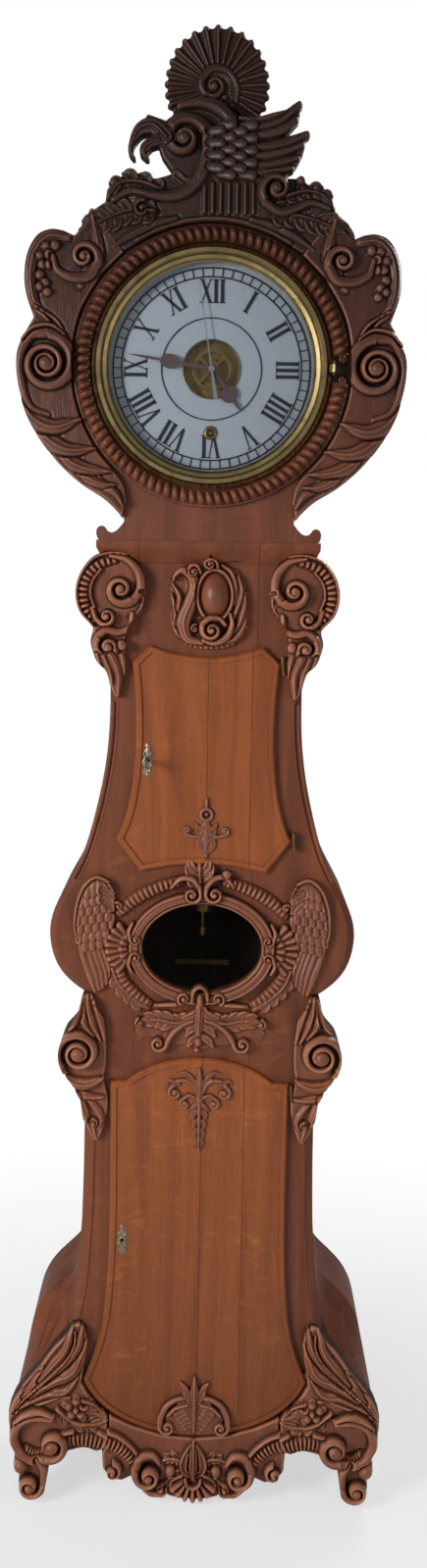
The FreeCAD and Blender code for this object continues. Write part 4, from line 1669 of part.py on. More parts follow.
scale_plate = box("scale_plate", "-scale_half", "scale_y", "scale_z - 0.5 * scale_tall",
                  "2 * scale_half",
                  "scale_thick", "scale_tall")
scale_arm = box("scale_bracket", "-0.5 * scale_arm", "scale_y + scale_thick",
                "scale_z - 0.5 * scale_arm",
                "scale_arm", "case_back - rear_board - scale_y - scale_thick", "scale_arm")
node(fuse("scale_solid", scale_plate, scale_arm), "beat_scale")

# Each sub-part is checked before its file is written.
doc.recompute()
faults = [o.Label for o in doc.Objects if "Invalid" in o.State or "Error" in o.State]
for part in NODES:
    if part.Shape.isNull() or not part.Shape.isValid() or part.Shape.Volume <= 0:
        faults.append(part.Label)
if faults:
    raise ValueError("These sub-parts are not sound: " + ", ".join(faults))
os.makedirs("parts", exist_ok=True)
for part in NODES:
    part.Shape.exportStep("parts/" + part.Label + ".step")
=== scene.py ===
"""Carved oak longcase clock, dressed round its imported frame.

Each operator makes one group of pieces, in metres, where the frame has them.
"""

import math

import bmesh
import bpy
import numpy as np
from mathutils import Matrix, Vector
from mathutils.geometry import tessellate_polygon


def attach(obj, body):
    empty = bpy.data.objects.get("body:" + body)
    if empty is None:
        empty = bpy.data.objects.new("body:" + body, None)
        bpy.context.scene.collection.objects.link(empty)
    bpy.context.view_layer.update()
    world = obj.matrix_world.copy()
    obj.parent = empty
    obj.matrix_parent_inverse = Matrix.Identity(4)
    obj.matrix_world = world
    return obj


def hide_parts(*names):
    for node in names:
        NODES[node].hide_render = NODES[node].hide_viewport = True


bl_info = {
    "name": "Carved Longcase Clock",
    "version": (1, 0, 0),
    "blender": (4, 5, 0),
    "location": "3D View > Sidebar > Clock",
    "description": "Dresses a longcase clock's frame with carving, wood, metal and a dial",
    "category": "Object",
}

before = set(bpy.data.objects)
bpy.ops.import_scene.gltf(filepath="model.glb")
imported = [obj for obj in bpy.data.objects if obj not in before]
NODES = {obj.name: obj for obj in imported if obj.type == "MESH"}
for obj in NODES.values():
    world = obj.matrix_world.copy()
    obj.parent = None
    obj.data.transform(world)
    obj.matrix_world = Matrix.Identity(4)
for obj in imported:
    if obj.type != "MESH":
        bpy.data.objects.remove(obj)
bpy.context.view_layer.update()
MM = 0.001

# Depths in millimetres, measured forwards from the middle of the case.
TRUNK_FACE = 100.0
DOOR_FACE = 108.8
BASE_FACE = 78.0
HOOD_FACE = 120.0
DIAL_FACE = 99.5

DIAL_Z = 1966  # height of the dial's middle, in millimetres
BEAD_BREAK = 6.0  # half of the beaded ring's gap, in degrees

UNREACHED = -99.0  # a carving's reach where nothing is cut yet
FAR = 1e9
RIM = 2.2  # width of the groove beside a stroke, in steps of the grid
EDGE_SHIFT = 1.6  # most that an outline point moves, in steps of the grid
COIL_BAND = 0.7  # share of a coil's pitch that its band takes
COIL_FLOOR = 0.4  # height of a coil's channel, as a share of the band's
DEEPEST = -6.0  # least reach that is blurred with its neighbours
LEAST_SLOPE = 0.15
FULL_SHADE_DEPTH = 3.2  # millimetres below its surroundings where a place counts as fully hollow and gets its fullest painted shade
FOOT_SHADE_AND_DIRT, FOOT_WIDE = 0.3, 1.5  # painted shade and grime where a carving meets its ground, and how wide
BACK_SHADE = -0.5


def curve(points, step=2.0):
    """A smooth line through given points."""
    p = np.array(points, float)
    ends = np.vstack([2 * p[0] - p[1], p, 2 * p[-1] - p[-2]])
    line = []
    for k in range(1, len(ends) - 2):
        a, b, c, d = ends[k - 1:k + 3]
        count = max(2, int(np.hypot(*(c - b)) / step))
        t = np.linspace(0, 1, count, endpoint=False)[:, None]
        line.append(0.5 * (2 * b + (c - a) * t + (2 * a - 5 * b + 4 * c - d) * t**2
                           + (3 * b - a - 3 * c + d) * t**3))
    return np.vstack(line + [p[-1:]])


def arc(x, z, radius, start, end, squeeze=1.0):
    """Part of a ring, with angles in degrees; squeeze flattens it upright."""
    angle = np.radians(np.linspace(start, end, max(4, int(abs(end - start) / 6))))
    return np.c_[x + radius * np.cos(angle), z + radius * squeeze * np.sin(angle)]


def joined(*runs):
    """A closed outline from smooth lines, with a corner wherever one ends."""
    return np.vstack([curve(run) for run in runs])


def doubled(half):
    """A closed outline from its right half and the mirror image of that."""
    return np.array(half + [(-x, z) for x, z in half[-2:0:-1]])


def along(table, share):
    """A measure at each share of a line's length.

    The table is one number, a tuple of values at even steps, or a list of (share, value).
    """
    if isinstance(table, (int, float)):
        return np.full(np.shape(share), float(table))
    if isinstance(table, tuple):
        return np.interp(share, np.linspace(0, 1, len(table)), table)
    return np.interp(share, *zip(*table))


def scaled(table, by):
    """The same table with its values multiplied."""
    if isinstance(table, tuple):
        return tuple(v * by for v in table)
    return [(s, v * by) for s, v in table] if isinstance(table, list) else table * by


def run_of(path):
    """The length of a line up to each of its points."""
    return np.r_[0, np.cumsum(np.hypot(*np.diff(path, axis=0).T))]


def nearest(px, pz, path):
    """Each point's distance to a line, and the share of the line's length where it is nearest."""
    run = run_of(path)
    best = np.full(px.shape, FAR)
    place = np.zeros(px.shape)
    for (ax, az), (bx, bz), start in zip(path[:-1], path[1:], run):
        long = np.hypot(bx - ax, bz - az)
        if long == 0:
            continue
        dx, dz = (bx - ax) / long, (bz - az) / long
        t = np.clip((px - ax) * dx + (pz - az) * dz, 0, long)
        gap = (px - ax - dx * t)**2 + (pz - az - dz * t)**2
        near = gap < best
        best[near] = gap[near]
        place[near] = (start + t[near]) / run[-1]
    return np.sqrt(best), place


def edge_off(v, power):
    return np.clip(1 - np.abs(v)**power, 0, 1)


# The section of a stroke: its height at v, which runs from -1 to 1 across it.
FORMS = {
    "round": lambda v: np.clip(1 - v * v, 0, 1)**0.62,
    "soft": lambda v: edge_off(v, 3),
    "ridge": lambda v: 0.25 * edge_off(v, 6) + 0.75 * (1 - np.abs(v)),
    "hollow": lambda v: (0.6 + 0.4 * v * v) * edge_off(v, 8),
    "veined": lambda v: (0.62 + 0.25 * v * v + 0.38 * np.exp(-(v / 0.17)**2)) * edge_off(v, 7),
    "roll": lambda v: 0.5 * edge_off(v, 12) + 0.5 * np.sqrt(np.clip(1 - v * v, 0, 1)),
    "pleat": lambda v: (np.clip(1 - v * v, 0, 1)**0.4
                        * (0.87 + 0.13 * np.abs(np.cos(1.5 * math.pi * v)))),
}


def blurred(field, reach):
    """The field with each point averaged over its neighbours, reach cells each way."""
    for axis in (0, 1):
        total = np.zeros_like(field)
        for k in range(-reach, reach + 1):
            total += np.roll(field, k, axis) * (reach + 1 - abs(k))
        field = total / (reach + 1)**2
    return field


class Carving:
    """One carved piece as heights over its ground, all in millimetres.

    reach is each point's distance inside the piece's outline, negative outside it.
    """

    def __init__(self, left, low, right, high, pitch):
        pad = 4 * pitch
        self.pitch = pitch
        self.x, self.z = np.meshgrid(np.arange(left - pad, right + pad + pitch, pitch),
                                     np.arange(low - pad, high + pad + pitch, pitch))
        self.top = np.zeros(self.x.shape)
        self.reach = np.full(self.x.shape, UNREACHED)

    def window(self, path, spare):
        """The rows and columns of the grid that lie near a path."""
        lo, hi = path.min(0) - spare, path.max(0) + spare
        cols = np.flatnonzero((self.x[0] >= lo[0]) & (self.x[0] <= hi[0]))
        rows = np.flatnonzero((self.z[:, 0] >= lo[1]) & (self.z[:, 0] <= hi[1]))
        if not len(cols) or not len(rows):
            return None
        return slice(rows[0], rows[-1] + 1), slice(cols[0], cols[-1] + 1)

    def stroke(self, path, wide, high, form="round", base=0.0, ribs=0, dent=0.35, over=False,
               groove=0.0):
        """Lays a shaped line. wide is half its width, high its height over base."""
        path = np.asarray(path, float)
        run = run_of(path)
        share = run / run[-1]
        halves = along(wide, share)
        at = self.window(path, halves.max() + 4 * self.pitch)
        if at is None:
            return
        far, s = nearest(self.x[at], self.z[at], path)
        half = np.maximum(np.interp(s, share, halves), 0.3)
        height = along(high, s) * FORMS[form](np.clip(far / half, 0, 1))
        if ribs:
            height *= 1 - dent * np.abs(np.cos(math.pi * ribs * s))**4
        height += along(base, s)
        inside = far < half
        top = self.top[at]
        if groove:
            ring = np.clip(1 - (far - half) / (RIM * self.pitch), 0, 1) * ~inside
            top -= groove * ring * (self.reach[at] > -self.pitch)
        top[inside] = height[inside] if over else np.maximum(top, height)[inside]
        self.reach[at] = np.maximum(self.reach[at], half - far)

    def lay(self, points, wide, high, form, groove, ribs=0, dent=0.35):
        """A smooth stroke laid over what is there, with a groove beside it."""
        self.stroke(curve(points), wide, high, form, 0.0, ribs, dent, True, groove)

    def signed(self, outline, spare):
        """The part of the grid near a closed outline, and each point's distance inside it."""
        path = np.vstack([outline, outline[:1]])
        at = self.window(path, spare)
        px, pz = self.x[at], self.z[at]
        odd = np.zeros(px.shape, bool)
        for (ax, az), (bx, bz) in zip(path[:-1], path[1:]):
            if az != bz:
                cross = (az > pz) != (bz > pz)
                odd ^= cross & (px < (bx - ax) * (pz - az) / (bz - az) + ax)
        far = nearest(px, pz, path)[0]
        return at, np.where(odd, far, -far)

    def slab(self, outline, high):
        """Fills a closed outline up to a height, as the ground of what lies on it."""
        at, inside = self.signed(outline, 5 * self.pitch)
        top = self.top[at]
        fill = high * np.clip(inside / 2.0, 0, 1)**0.5
        top[inside > 0] = np.maximum(top, fill)[inside > 0]
        self.reach[at] = np.maximum(self.reach[at], inside)

    def bore(self, x, z, radius):
        """Cuts a round hole."""
        self.reach = np.minimum(self.reach, np.hypot(self.x - x, self.z - z) - radius)

    def trim(self, outline, spare):
        """Cuts off what stands out past a closed outline."""
        at, inside = self.signed(outline, 400.0)
        self.reach[at] = np.minimum(self.reach[at], inside + spare)

    def dome(self, x, z, radius, high, squeeze=1.0, base=0.0, over=True, groove=0.0):
        """A bead, boss or grape; squeeze stretches it upright."""
        at = self.window(np.array([[x, z]]), radius * max(1, squeeze) + 4 * self.pitch)
        if at is None:
            return
        far = np.hypot(self.x[at] - x, (self.z[at] - z) / squeeze)
        height = base + high * np.sqrt(np.clip(1 - (far / radius)**2, 0, 1))
        inside = far < radius
        top = self.top[at]
        if groove:
            top -= groove * np.clip(1 - (far - radius) / (2 * self.pitch), 0, 1) * ~inside
        top[inside] = height[inside] if over else np.maximum(top, height)[inside]
        self.reach[at] = np.maximum(self.reach[at], radius - far)

    def snail(self, x, z, outer, start, way, wide, high, eye=0.2, rise=0.3):
        """A coil: a band that narrows inwards to a button, with a sunk channel beside it.

        way is 1 where the coil runs inwards anticlockwise, and -1 where it runs clockwise.
        """
        at = self.window(np.array([[x, z]]), outer + 4 * self.pitch)
        if at is None:
            return
        px, pz = self.x[at] - x, self.z[at] - z
        far = np.maximum(np.hypot(px, pz), 0.01)
        turn = np.mod(way * (np.arctan2(pz, px) - math.radians(start)), 2 * math.pi) / (2 * math.pi)
        ratio = max(1.6, outer / max(outer - 2.9 * wide, 0.38 * outer))
        edge = outer * ratio**-turn
        band = np.mod(np.log(np.maximum(edge / far, 1e-6)) / math.log(ratio), 1)
        lift = 1 + rise * np.clip(1 - far / outer, 0, 1)
        section = FORMS["roll"](np.clip(band / 0.35 - 1, -1, 1))
        height = high * lift * np.where(band < COIL_BAND, section, COIL_FLOOR)
        height = np.maximum(height, high * lift * COIL_FLOOR)
        button = outer * eye
        boss = 0.75 + 0.28 * np.sqrt(np.clip(1 - (far / button)**2, 0, 1))
        height = np.where(far < button, high * (1 + rise) * boss, height)
        inside = far < edge
        top = self.top[at]
        rim = np.clip(1 - (far - edge) / (RIM * self.pitch), 0, 1) * ~inside
        top -= 1.2 * rim * (self.reach[at] > -self.pitch)
        top[inside] = height[inside]
        self.reach[at] = np.maximum(self.reach[at], edge - far)

    def curl(self, points, centre, wide, high, way, first=0.5, low=0.8, eye=0.2, rise=0.3):
        """A band that ends in a coil; wide is half its width where the coil begins."""
        self.lay(points, [(0, wide * first), (0.6, wide), (1, wide)], (high * low, high), "roll",
                 1.2)
        dx, dz = points[-1][0] - centre[0], points[-1][1] - centre[1]
        start = math.degrees(math.atan2(dz, dx))
        self.snail(*centre, math.hypot(dx, dz) + wide, start, way, wide, high, eye, rise)

    def leaf(self, spine, wide, high, lobes=5, lean=52, sides=(1, -1), plump=0.8, over=False):
        """An acanthus leaf: hollow pointed lobes that overlap, off a midrib."""
        line = curve(spine)
        run = run_of(line)
        share = run / run[-1]
        self.stroke(line, scaled(wide, 0.55), high * 0.55, "soft", over=over)
        gap = run[-1] / lobes
        for k in range(lobes):
            t = 0.02 + 0.86 * k / lobes
            x = np.interp(t, share, line[:, 0])
            z = np.interp(t, share, line[:, 1])
            ahead = min(1, t + 0.06)
            way = math.atan2(np.interp(ahead, share, line[:, 1]) - z,
                             np.interp(ahead, share, line[:, 0]) - x)
            half = float(along(wide, np.array([t + 0.3 / lobes]))[0])
            w = min(plump * gap * (0.62 - 0.18 * t), 0.75 * half)
            for side in sides:
                open_by = math.radians(lean * (1.15 - 0.4 * t)) * side
                far = half / max(0.45, math.sin(abs(open_by)))
                mid = (x + 0.55 * far * math.cos(way + open_by),
                       z + 0.55 * far * math.sin(way + open_by))
                end = (mid[0] + 0.62 * far * math.cos(way + 0.3 * open_by),
                       mid[1] + 0.62 * far * math.sin(way + 0.3 * open_by))
                self.stroke(curve([(x, z), mid, end], 1.5),
                            [(0, 0.7 * w), (0.5, w), (0.8, 0.75 * w), (1, 0.2 * w)],
                            [(0, high * 0.75), (0.6, high), (1, high * 0.7)], "hollow",
                            over=True, groove=1.1)
        end = np.array(line[-1]) + 0.3 * (line[-1] - line[-4])
        self.stroke(np.vstack([line[len(line) * 3 // 4:], end[None]]),
                    (0.3 * gap, 0.36 * gap, 0.1 * gap), high * 0.95, "hollow", over=True,
                    groove=1.0)
        self.stroke(line, (0.22 * gap, 0.08 * gap), (high * 1.12, high * 0.85))

    def frond(self, points, wide, high):
        """A smooth acanthus lobe with two creases, laid over what is there."""
        self.lay(points, wide, [(0, high * 0.85), (0.6, high), (1, high * 0.9)], "pleat", 1.4)

    def shell(self, x, z, inner, outer, start, end, ribs, high):
        """Fan of rounded ribs with scalloped ends."""
        for k in range(ribs):
            a = math.radians(start + (end - start) * (k + 0.5) / ribs)
            w = outer * abs(math.radians(end - start)) / ribs * 0.5
            tip = outer - w * 0.9
            path = [(x + inner * math.cos(a), z + inner * math.sin(a)),
                    (x + tip * math.cos(a), z + tip * math.sin(a))]
            self.stroke(path, (max(0.8, w * inner / outer), w), (high * 0.6, high), "soft",
                        groove=0.8)

    def rosette(self, x, z, radius, high, petals, base):
        """An open flower with round petals and a button."""
        for k in range(petals):
            a = math.radians(90 + 360 * k / petals)
            self.dome(x + 0.58 * radius * math.cos(a), z + 0.58 * radius * math.sin(a),
                      0.42 * radius, high * 0.8, base=base, over=False)
            tip = (x + 0.85 * radius * math.cos(a), z + 0.85 * radius * math.sin(a))
            self.stroke([(x, z), tip], (0.12 * radius, 0.3 * radius), high * 0.8, "hollow", base)
        self.dome(x, z, 0.26 * radius, high, base=base, groove=0.8)

    def scale(self, x, z, wide, long, way, high):
        """One short feather, proud at its end, that lies over those before it."""
        a = math.radians(way)
        tail = (x - long * math.cos(a), z - long * math.sin(a))
        self.stroke([tail, (x, z)], [(0, 0.8 * wide), (0.7, wide), (1, 0.85 * wide)],
                    (high * 0.1, high * 0.3), "roll", high * 0.7, over=True, groove=1.0)

    def feather(self, points, wide, high):
        """One long feather with its quill."""
        self.lay(points, [(0, wide * 0.7), (0.7, wide), (1, wide * 0.6)],
                 [(0, high * 0.8), (0.8, high), (1, high * 0.8)], "roll", 1.0)

    def build(self, name, ground, back, mirrored=False, fill=0.78):
        """Makes the closed mesh: carved front, side wall at the outline, flat back.

        back is one depth, or a function that gives it at each place. fill raises what lies
        between the strokes to a share of the height round it.
        """
        round_height = blurred(blurred(self.top, 4), 4)
        top = blurred(np.maximum(self.top, fill * round_height), 1)
        reach = blurred(np.maximum(self.reach, DEEPEST), 1)
        inside = reach > 0
        cells = inside[:-1, :-1] | inside[1:, :-1] | inside[:-1, 1:] | inside[1:, 1:]
        rows, cols = np.nonzero(cells)
        wide = self.x.shape[1]
        first = rows * wide + cols
        quads = np.c_[first, first + 1, first + wide + 1, first + wide]
        used = np.zeros(self.x.size, bool)
        used[quads.ravel()] = True
        slope_z, slope_x = np.gradient(reach, self.pitch)
        steep = np.maximum(slope_x**2 + slope_z**2, LEAST_SLOPE)
        outer = used & ~inside.ravel()
        most = EDGE_SHIFT * self.pitch
        x, z = (grid.ravel() + np.where(outer, shift.ravel(), 0) for grid, shift in (
            (self.x, np.clip(-reach * slope_x / steep, -most, most)),
            (self.z, np.clip(-reach * slope_z / steep, -most, most))))
        # The relief attribute: painted shade and patina where a place lies below its surroundings,
        # painted highlight and wear where it stands proud.
        hollow = np.clip((top - blurred(top, 3)) / FULL_SHADE_DEPTH, -1, 1).ravel()
        # More painted shade and grime along the foot of the outline.
        hollow -= FOOT_SHADE_AND_DIRT * np.clip(1 - reach.ravel() / FOOT_WIDE, 0, 1)
        y = np.maximum(top, 0).ravel()
        keep = np.flatnonzero(used)
        quads = (np.cumsum(used) - 1)[quads]
        count = len(keep)
        front = np.c_[x[keep], -(ground + y[keep]), z[keep]]
        a = quads.ravel()
        b = np.roll(quads, -1, 1).ravel()
        there = a.astype(np.int64) * count + b
        back_way = b.astype(np.int64) * count + a
        rim = ~np.isin(there, back_way)
        start, end = a[rim], b[rim]
        rim_points = np.unique(start)
        place = np.full(count, -1)
        place[rim_points] = count + np.arange(len(rim_points))
        behind = front[rim_points].copy()
        behind[:, 1] = -(back(behind[:, 0], behind[:, 2]) if callable(back) else back)
        walls = np.c_[end, start, place[start], place[end]]
        points = np.vstack([front, behind]) * MM
        faces = [tuple(q) for q in quads.tolist() + walls.tolist()]
        faces += self.backing(start, end, front, place)
        if mirrored:
            points[:, 0] *= -1
            faces = [f[::-1] for f in faces]
        mesh = bpy.data.meshes.new(name)
        mesh.from_pydata(points.tolist(), [], faces)
        shade = np.r_[hollow[keep], np.full(len(rim_points), BACK_SHADE)].astype(np.float32)
        mesh.attributes.new("relief", "FLOAT", "POINT").data.foreach_set("value", shade)
        return finished(name, mesh)

    @staticmethod
    def backing(start, end, front, place):
        """Triangles of the flat back, from the loops of the outline."""
        onward = {}
        for a, b in zip(start.tolist(), end.tolist()):
            onward.setdefault(a, []).append(b)
        loops = []
        while onward:
            first = next(iter(onward))
            loop, at = [], first
            while at in onward:
                loop.append(at)
                following = onward[at].pop()
                if not onward[at]:
                    del onward[at]
                at = following
                if at == first:
                    break
            if len(loop) > 2:
                loops.append(loop)
        order = [k for loop in loops for k in loop]
        flat = [[Vector((front[k, 0], front[k, 2], 0)) for k in loop] for loop in loops]
        faces = []
        for corners in tessellate_polygon(flat):
            ka, kb, kc = (order[k] for k in corners)
            area = ((front[kb, 0] - front[ka, 0]) * (front[kc, 2] - front[ka, 2])
                    - (front[kc, 0] - front[ka, 0]) * (front[kb, 2] - front[ka, 2]))
            if abs(area) < 1e-9 or len({ka, kb, kc}) < 3:
                continue
            tri = (int(place[ka]), int(place[kb]), int(place[kc]))
            faces.append(tri[::-1] if area > 0 else tri)
        return faces


def finished(name, mesh, angle=62):
    """Puts a mesh in the scene as an object with smooth faces and crisp corners."""
    mesh.validate()
    mesh.polygons.foreach_set("use_smooth", [True] * len(mesh.polygons))
    mesh.set_sharp_from_angle(angle=math.radians(angle))
    piece = bpy.data.objects.new(name, mesh)
    bpy.context.scene.collection.objects.link(piece)
    return piece


def settle(piece, body, finish, *nodes):
    """Gives a piece its finish, its body and the nodes that it stands for."""
    piece.data.materials.clear()
    piece.data.materials.append(FINISH[finish])
    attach(piece, body)
    if nodes:
        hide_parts(*nodes)


def tone(red, green, blue):
    """A colour as it looks on a screen, given 0 to 255, in the renderer's linear terms."""
    shares = [v / 255 for v in (red, green, blue)]
    return tuple(v / 12.92 if v <= 0.04045 else ((v + 0.055) / 1.055)**2.4 for v in shares) + (1.0,)


class Wire:
    """A number on its way through a finish; sums on it add the nodes they need."""

    def __init__(self, finish, socket):
        self.finish, self.socket = finish, socket

    def __add__(self, other):
        return self.finish.sum("ADD", self, other)

    def __sub__(self, other):
        return self.finish.sum("SUBTRACT", self, other)

    def __rsub__(self, other):
        return self.finish.sum("SUBTRACT", other, self)

    def __mul__(self, other):
        return self.finish.sum("MULTIPLY", self, other)

    def __truediv__(self, other):
        return self.finish.sum("DIVIDE", self, other)

    __radd__, __rmul__ = __add__, __mul__

    def held(self):
        """The number kept between 0 and 1."""
        return self.finish.sum("ADD", self, 0.0, True)

    def past(self, level, gain):
        """How far the number is past a level, between 0 and 1."""
        return ((self - level) * gain).held()


class Finish:
    """A procedural material in the making."""

    def __init__(self, name, **constants):
        self.material = bpy.data.materials.new(name)
        self.material.use_nodes = True
        self.tree = self.material.node_tree
        self.shader = self.tree.nodes["Principled BSDF"]
        self.output = self.tree.nodes["Material Output"]
        for socket, value in constants.items():
            self.shader.inputs[socket.replace("_", " ")].default_value = value
        self.place = self.node("ShaderNodeTexCoord", out="Object")
        self.relief = self.node("ShaderNodeAttribute", {"attribute_name": "relief"}, out="Fac")

    def node(self, kind, settings=None, sockets=None, out=0):
        """Adds a node: its settings first, then the values or wires of its sockets."""
        made = self.tree.nodes.new(kind)
        for key, value in (settings or {}).items():
            setattr(made, key, value)
        for key, value in (sockets or {}).items():
            if isinstance(value, Wire):
                self.tree.links.new(value.socket, made.inputs[key])
            else:
                made.inputs[key].default_value = value
        return Wire(self, made.outputs[out])

    def axis(self, index):
        """One coordinate of the place, in metres."""
        return self.node("ShaderNodeSeparateXYZ", None, {0: self.place}, index)

    def sum(self, operation, first, second=0.0, clamp=False):
        return self.node("ShaderNodeMath", {"operation": operation, "use_clamp": clamp},
                         {0: first, 1: second})

    def vector(self, operation, *sockets, out=0):
        return self.node("ShaderNodeVectorMath", {"operation": operation},
                         dict(enumerate(sockets)), out)

    def stretched(self, x, y, z, place=None):
        """The place, or another one, with its axes scaled."""
        return self.vector("MULTIPLY", place or self.place, (x, y, z))

    def noise(self, vector, scale=1.0, detail=3.0, rough=0.55, distort=0.0):
        return self.node("ShaderNodeTexNoise", None,
                         {"Vector": vector, "Scale": scale, "Detail": detail, "Roughness": rough,
                          "Distortion": distort}, "Fac")

    def mix(self, share, first, second):
        """Colours blended by a number."""
        return self.node("ShaderNodeMix", {"data_type": "RGBA"}, {0: share, 6: first, 7: second}, 2)

    def feed(self, socket, wire):
        self.tree.links.new(wire.socket, self.shader.inputs[socket])

    def bump(self, height, strength, distance):
        self.feed("Normal", self.node("ShaderNodeBump", None, {
            "Height": height, "Strength": strength, "Distance": distance}))

    def surface(self, wire):
        """Ends the material in another shader than its own."""
        self.tree.links.new(wire.socket, self.output.inputs["Surface"])


def oak(name, light, dark, recess, crest, figure=0.3, gloss=0.42, carved=0.0, seams=(), fade=None):
    """Quarter-sawn oak: growth lines, pores, ray figure, and in what is carved painted shade with
    grime in the hollows and painted highlight with wear on what stands proud.

    A board is glued up at its seams. The ramp, (from, to, share, axis), says where painted shade
    darkens it.
    """
    f = Finish(name, Specular_IOR_Level=0.35)
    board, joint = 0.0, 0.0
    for at in seams:
        board = f.axis(0).past(at, 4000.0) + board
        joint = (1.0 - f.sum("ABSOLUTE", f.axis(0) - at) * 900.0).held() + joint
    place = f.vector("MULTIPLY_ADD", board, (0.7, 0.3, 1.9), f.place) if seams else f.place
    wander = f.noise(f.stretched(2.5, 2.5, 1.2, place), 1.0, 2.0)
    shift = f.vector("MULTIPLY_ADD", wander, (2.4, 1.2, 1.6), f.stretched(30.0, 30.0, 1.3, place))
    growth = f.noise(shift, 1.0, 5.0, 0.62, 0.35)
    fine = f.noise(f.stretched(270.0, 270.0, 12.0, place), 1.0, 3.0, 0.6)
    pores = f.noise(f.stretched(750.0, 750.0, 26.0), 1.0, 2.0, 0.5).past(0.56, 5.0)
    sway = f.vector("MULTIPLY_ADD", wander, (5.0, 2.0, 9.0), f.stretched(26.0, 26.0, 62.0, place))
    rays = f.noise(sway, 1.0, 2.5, 0.5, 1.1).past(0.56, 8.0)
    patches = f.noise(f.place, 7.0, 2.0).past(0.42, 3.0)
    blotch = f.noise(f.stretched(3.0, 3.0, 1.5), 1.0, 4.0, 0.6)
    grain = growth.past(0.32, 2.2) * 0.75 + fine * 0.25
    colour = f.mix(grain.held(), dark, light)
    colour = f.mix(rays * patches * figure, colour, crest)
    colour = f.mix(blotch.past(0.45, 1.6) * 0.5, colour, dark)
    colour = f.mix(pores * 0.45, colour, recess)
    if seams:
        tint = f.noise(f.node("ShaderNodeCombineXYZ", None, {0: board * 3.7}), 1.0, 0.0)
        colour = f.mix(tint.past(0.3, 1.2) * 0.5, colour, dark)
        colour = f.mix(joint * 0.9, colour, recess)
    # Painted shade that darkens the wood along one axis.
    if fade:
        low, high, share, axis = fade
        colour = f.mix(((f.axis(axis) - low) / (high - low)).held() * share, colour, recess)
    if carved:
        # Painted shade and grime in the hollows, painted highlight and wear on what stands proud.
        sunk = (f.relief * -1.0).past(0.05, 1.5)
        proud = f.relief.past(0.05, 1.6)
        colour = f.mix(sunk * carved, colour, recess)
        colour = f.mix(proud * 0.5, colour, crest)
        rough = (gloss + 0.06 + sunk * 0.25 - proud * 0.1).held()
    else:
        rough = (gloss + pores * 0.2 + blotch * 0.08).held()
    f.feed("Base Color", colour)
    f.feed("Roughness", rough)
    chisel = f.noise(f.place, 260.0, 2.0) if carved else rays
    f.bump(grain * 0.35 - pores * 0.6 + chisel * (0.55 if carved else 0.2), 0.35, 0.0009)
    return f.material


def metal(name, bright, dull, rough, polish=0.3, dark_rings=()):
    """Worked metal: tarnish in patches, fine scratches, painted shade and tarnish in carved
    hollows, and dark rings, each at a turned groove, painted reflection with some grime.

    The dark rings are (radius, width) pairs round the dial's middle, in millimetres.
    """
    f = Finish(name, Metallic=1.0)
    tarnish = f.noise(f.place, 38.0, 5.0, 0.65).past(0.4, 2.4)
    spots = f.noise(f.place, 240.0, 3.0, 0.6).past(0.55, 4.0)
    lines = f.noise(f.stretched(500.0, 500.0, 500.0), 1.0, 2.0)
    # Painted shade and tarnish in the hollows of a carved plate, from its relief attribute.
    sunk = (f.relief * -1.4).held()
    colour = f.mix(tarnish * 0.55 + spots * 0.25, bright, dull)
    colour = f.mix(sunk * 0.7, colour, dull)
    if dark_rings:
        across, up = f.axis(0), f.axis(2) - DIAL_Z * MM
        radius = f.sum("SQRT", across * across + up * up)
        for at, wide in dark_rings:
            # Each dark ring is painted reflection with some grime in its turned groove.
            ring_reflection_and_dirt = (1.0 - f.sum("ABSOLUTE", radius - at * MM) / (wide * MM)).held()
            colour = f.mix(ring_reflection_and_dirt * 0.85, colour, tone(30, 22, 12))
    f.feed("Base Color", colour)
    f.feed("Roughness", (rough + tarnish * polish + lines * 0.12).held())
    f.bump(lines * 0.4 - spots * 0.6, 0.12, 0.0003)
    return f.material


def paint(name, colour, stain, rough, speckle=0.3, fine=60.0):
    """Enamel or printed black, with age spots and a soft unevenness."""
    f = Finish(name, Specular_IOR_Level=0.45)
    cloud = f.noise(f.place, 9.0, 4.0, 0.6)
    spot = f.noise(f.place, fine, 4.0, 0.6).past(0.6, 5.0)
    age = (cloud - 0.35).held() * speckle + spot * speckle * 0.5
    f.feed("Base Color", f.mix(age, colour, stain))
    f.feed("Roughness", (rough + cloud * 0.12 + spot * 0.15).held())
    f.bump(cloud * 0.3 - spot * 0.4, 0.1, 0.0004)
    return f.material


def pane(name, tint, shine):
    """Thin glass: clear where it is faced, shining where it is seen aslant, a little dusty."""
    f = Finish(name)
    f.tree.nodes.remove(f.shader)
    dust = f.noise(f.place, 30.0, 4.0, 0.65).past(0.45, 2.0)
    clear = f.node("ShaderNodeBsdfTransparent", None, {"Color": tint})
    gloss = f.node("ShaderNodeBsdfGlossy", None,
                   {"Color": (0.9, 0.93, 0.95, 1.0), "Roughness": 0.03})
    facing = f.node("ShaderNodeFresnel", None, {"IOR": 1.45})
    share = ((facing + dust * 0.02) * shine).held()
    f.surface(f.node("ShaderNodeMixShader", None, {0: share, 1: clear, 2: gloss}))
    return f.material
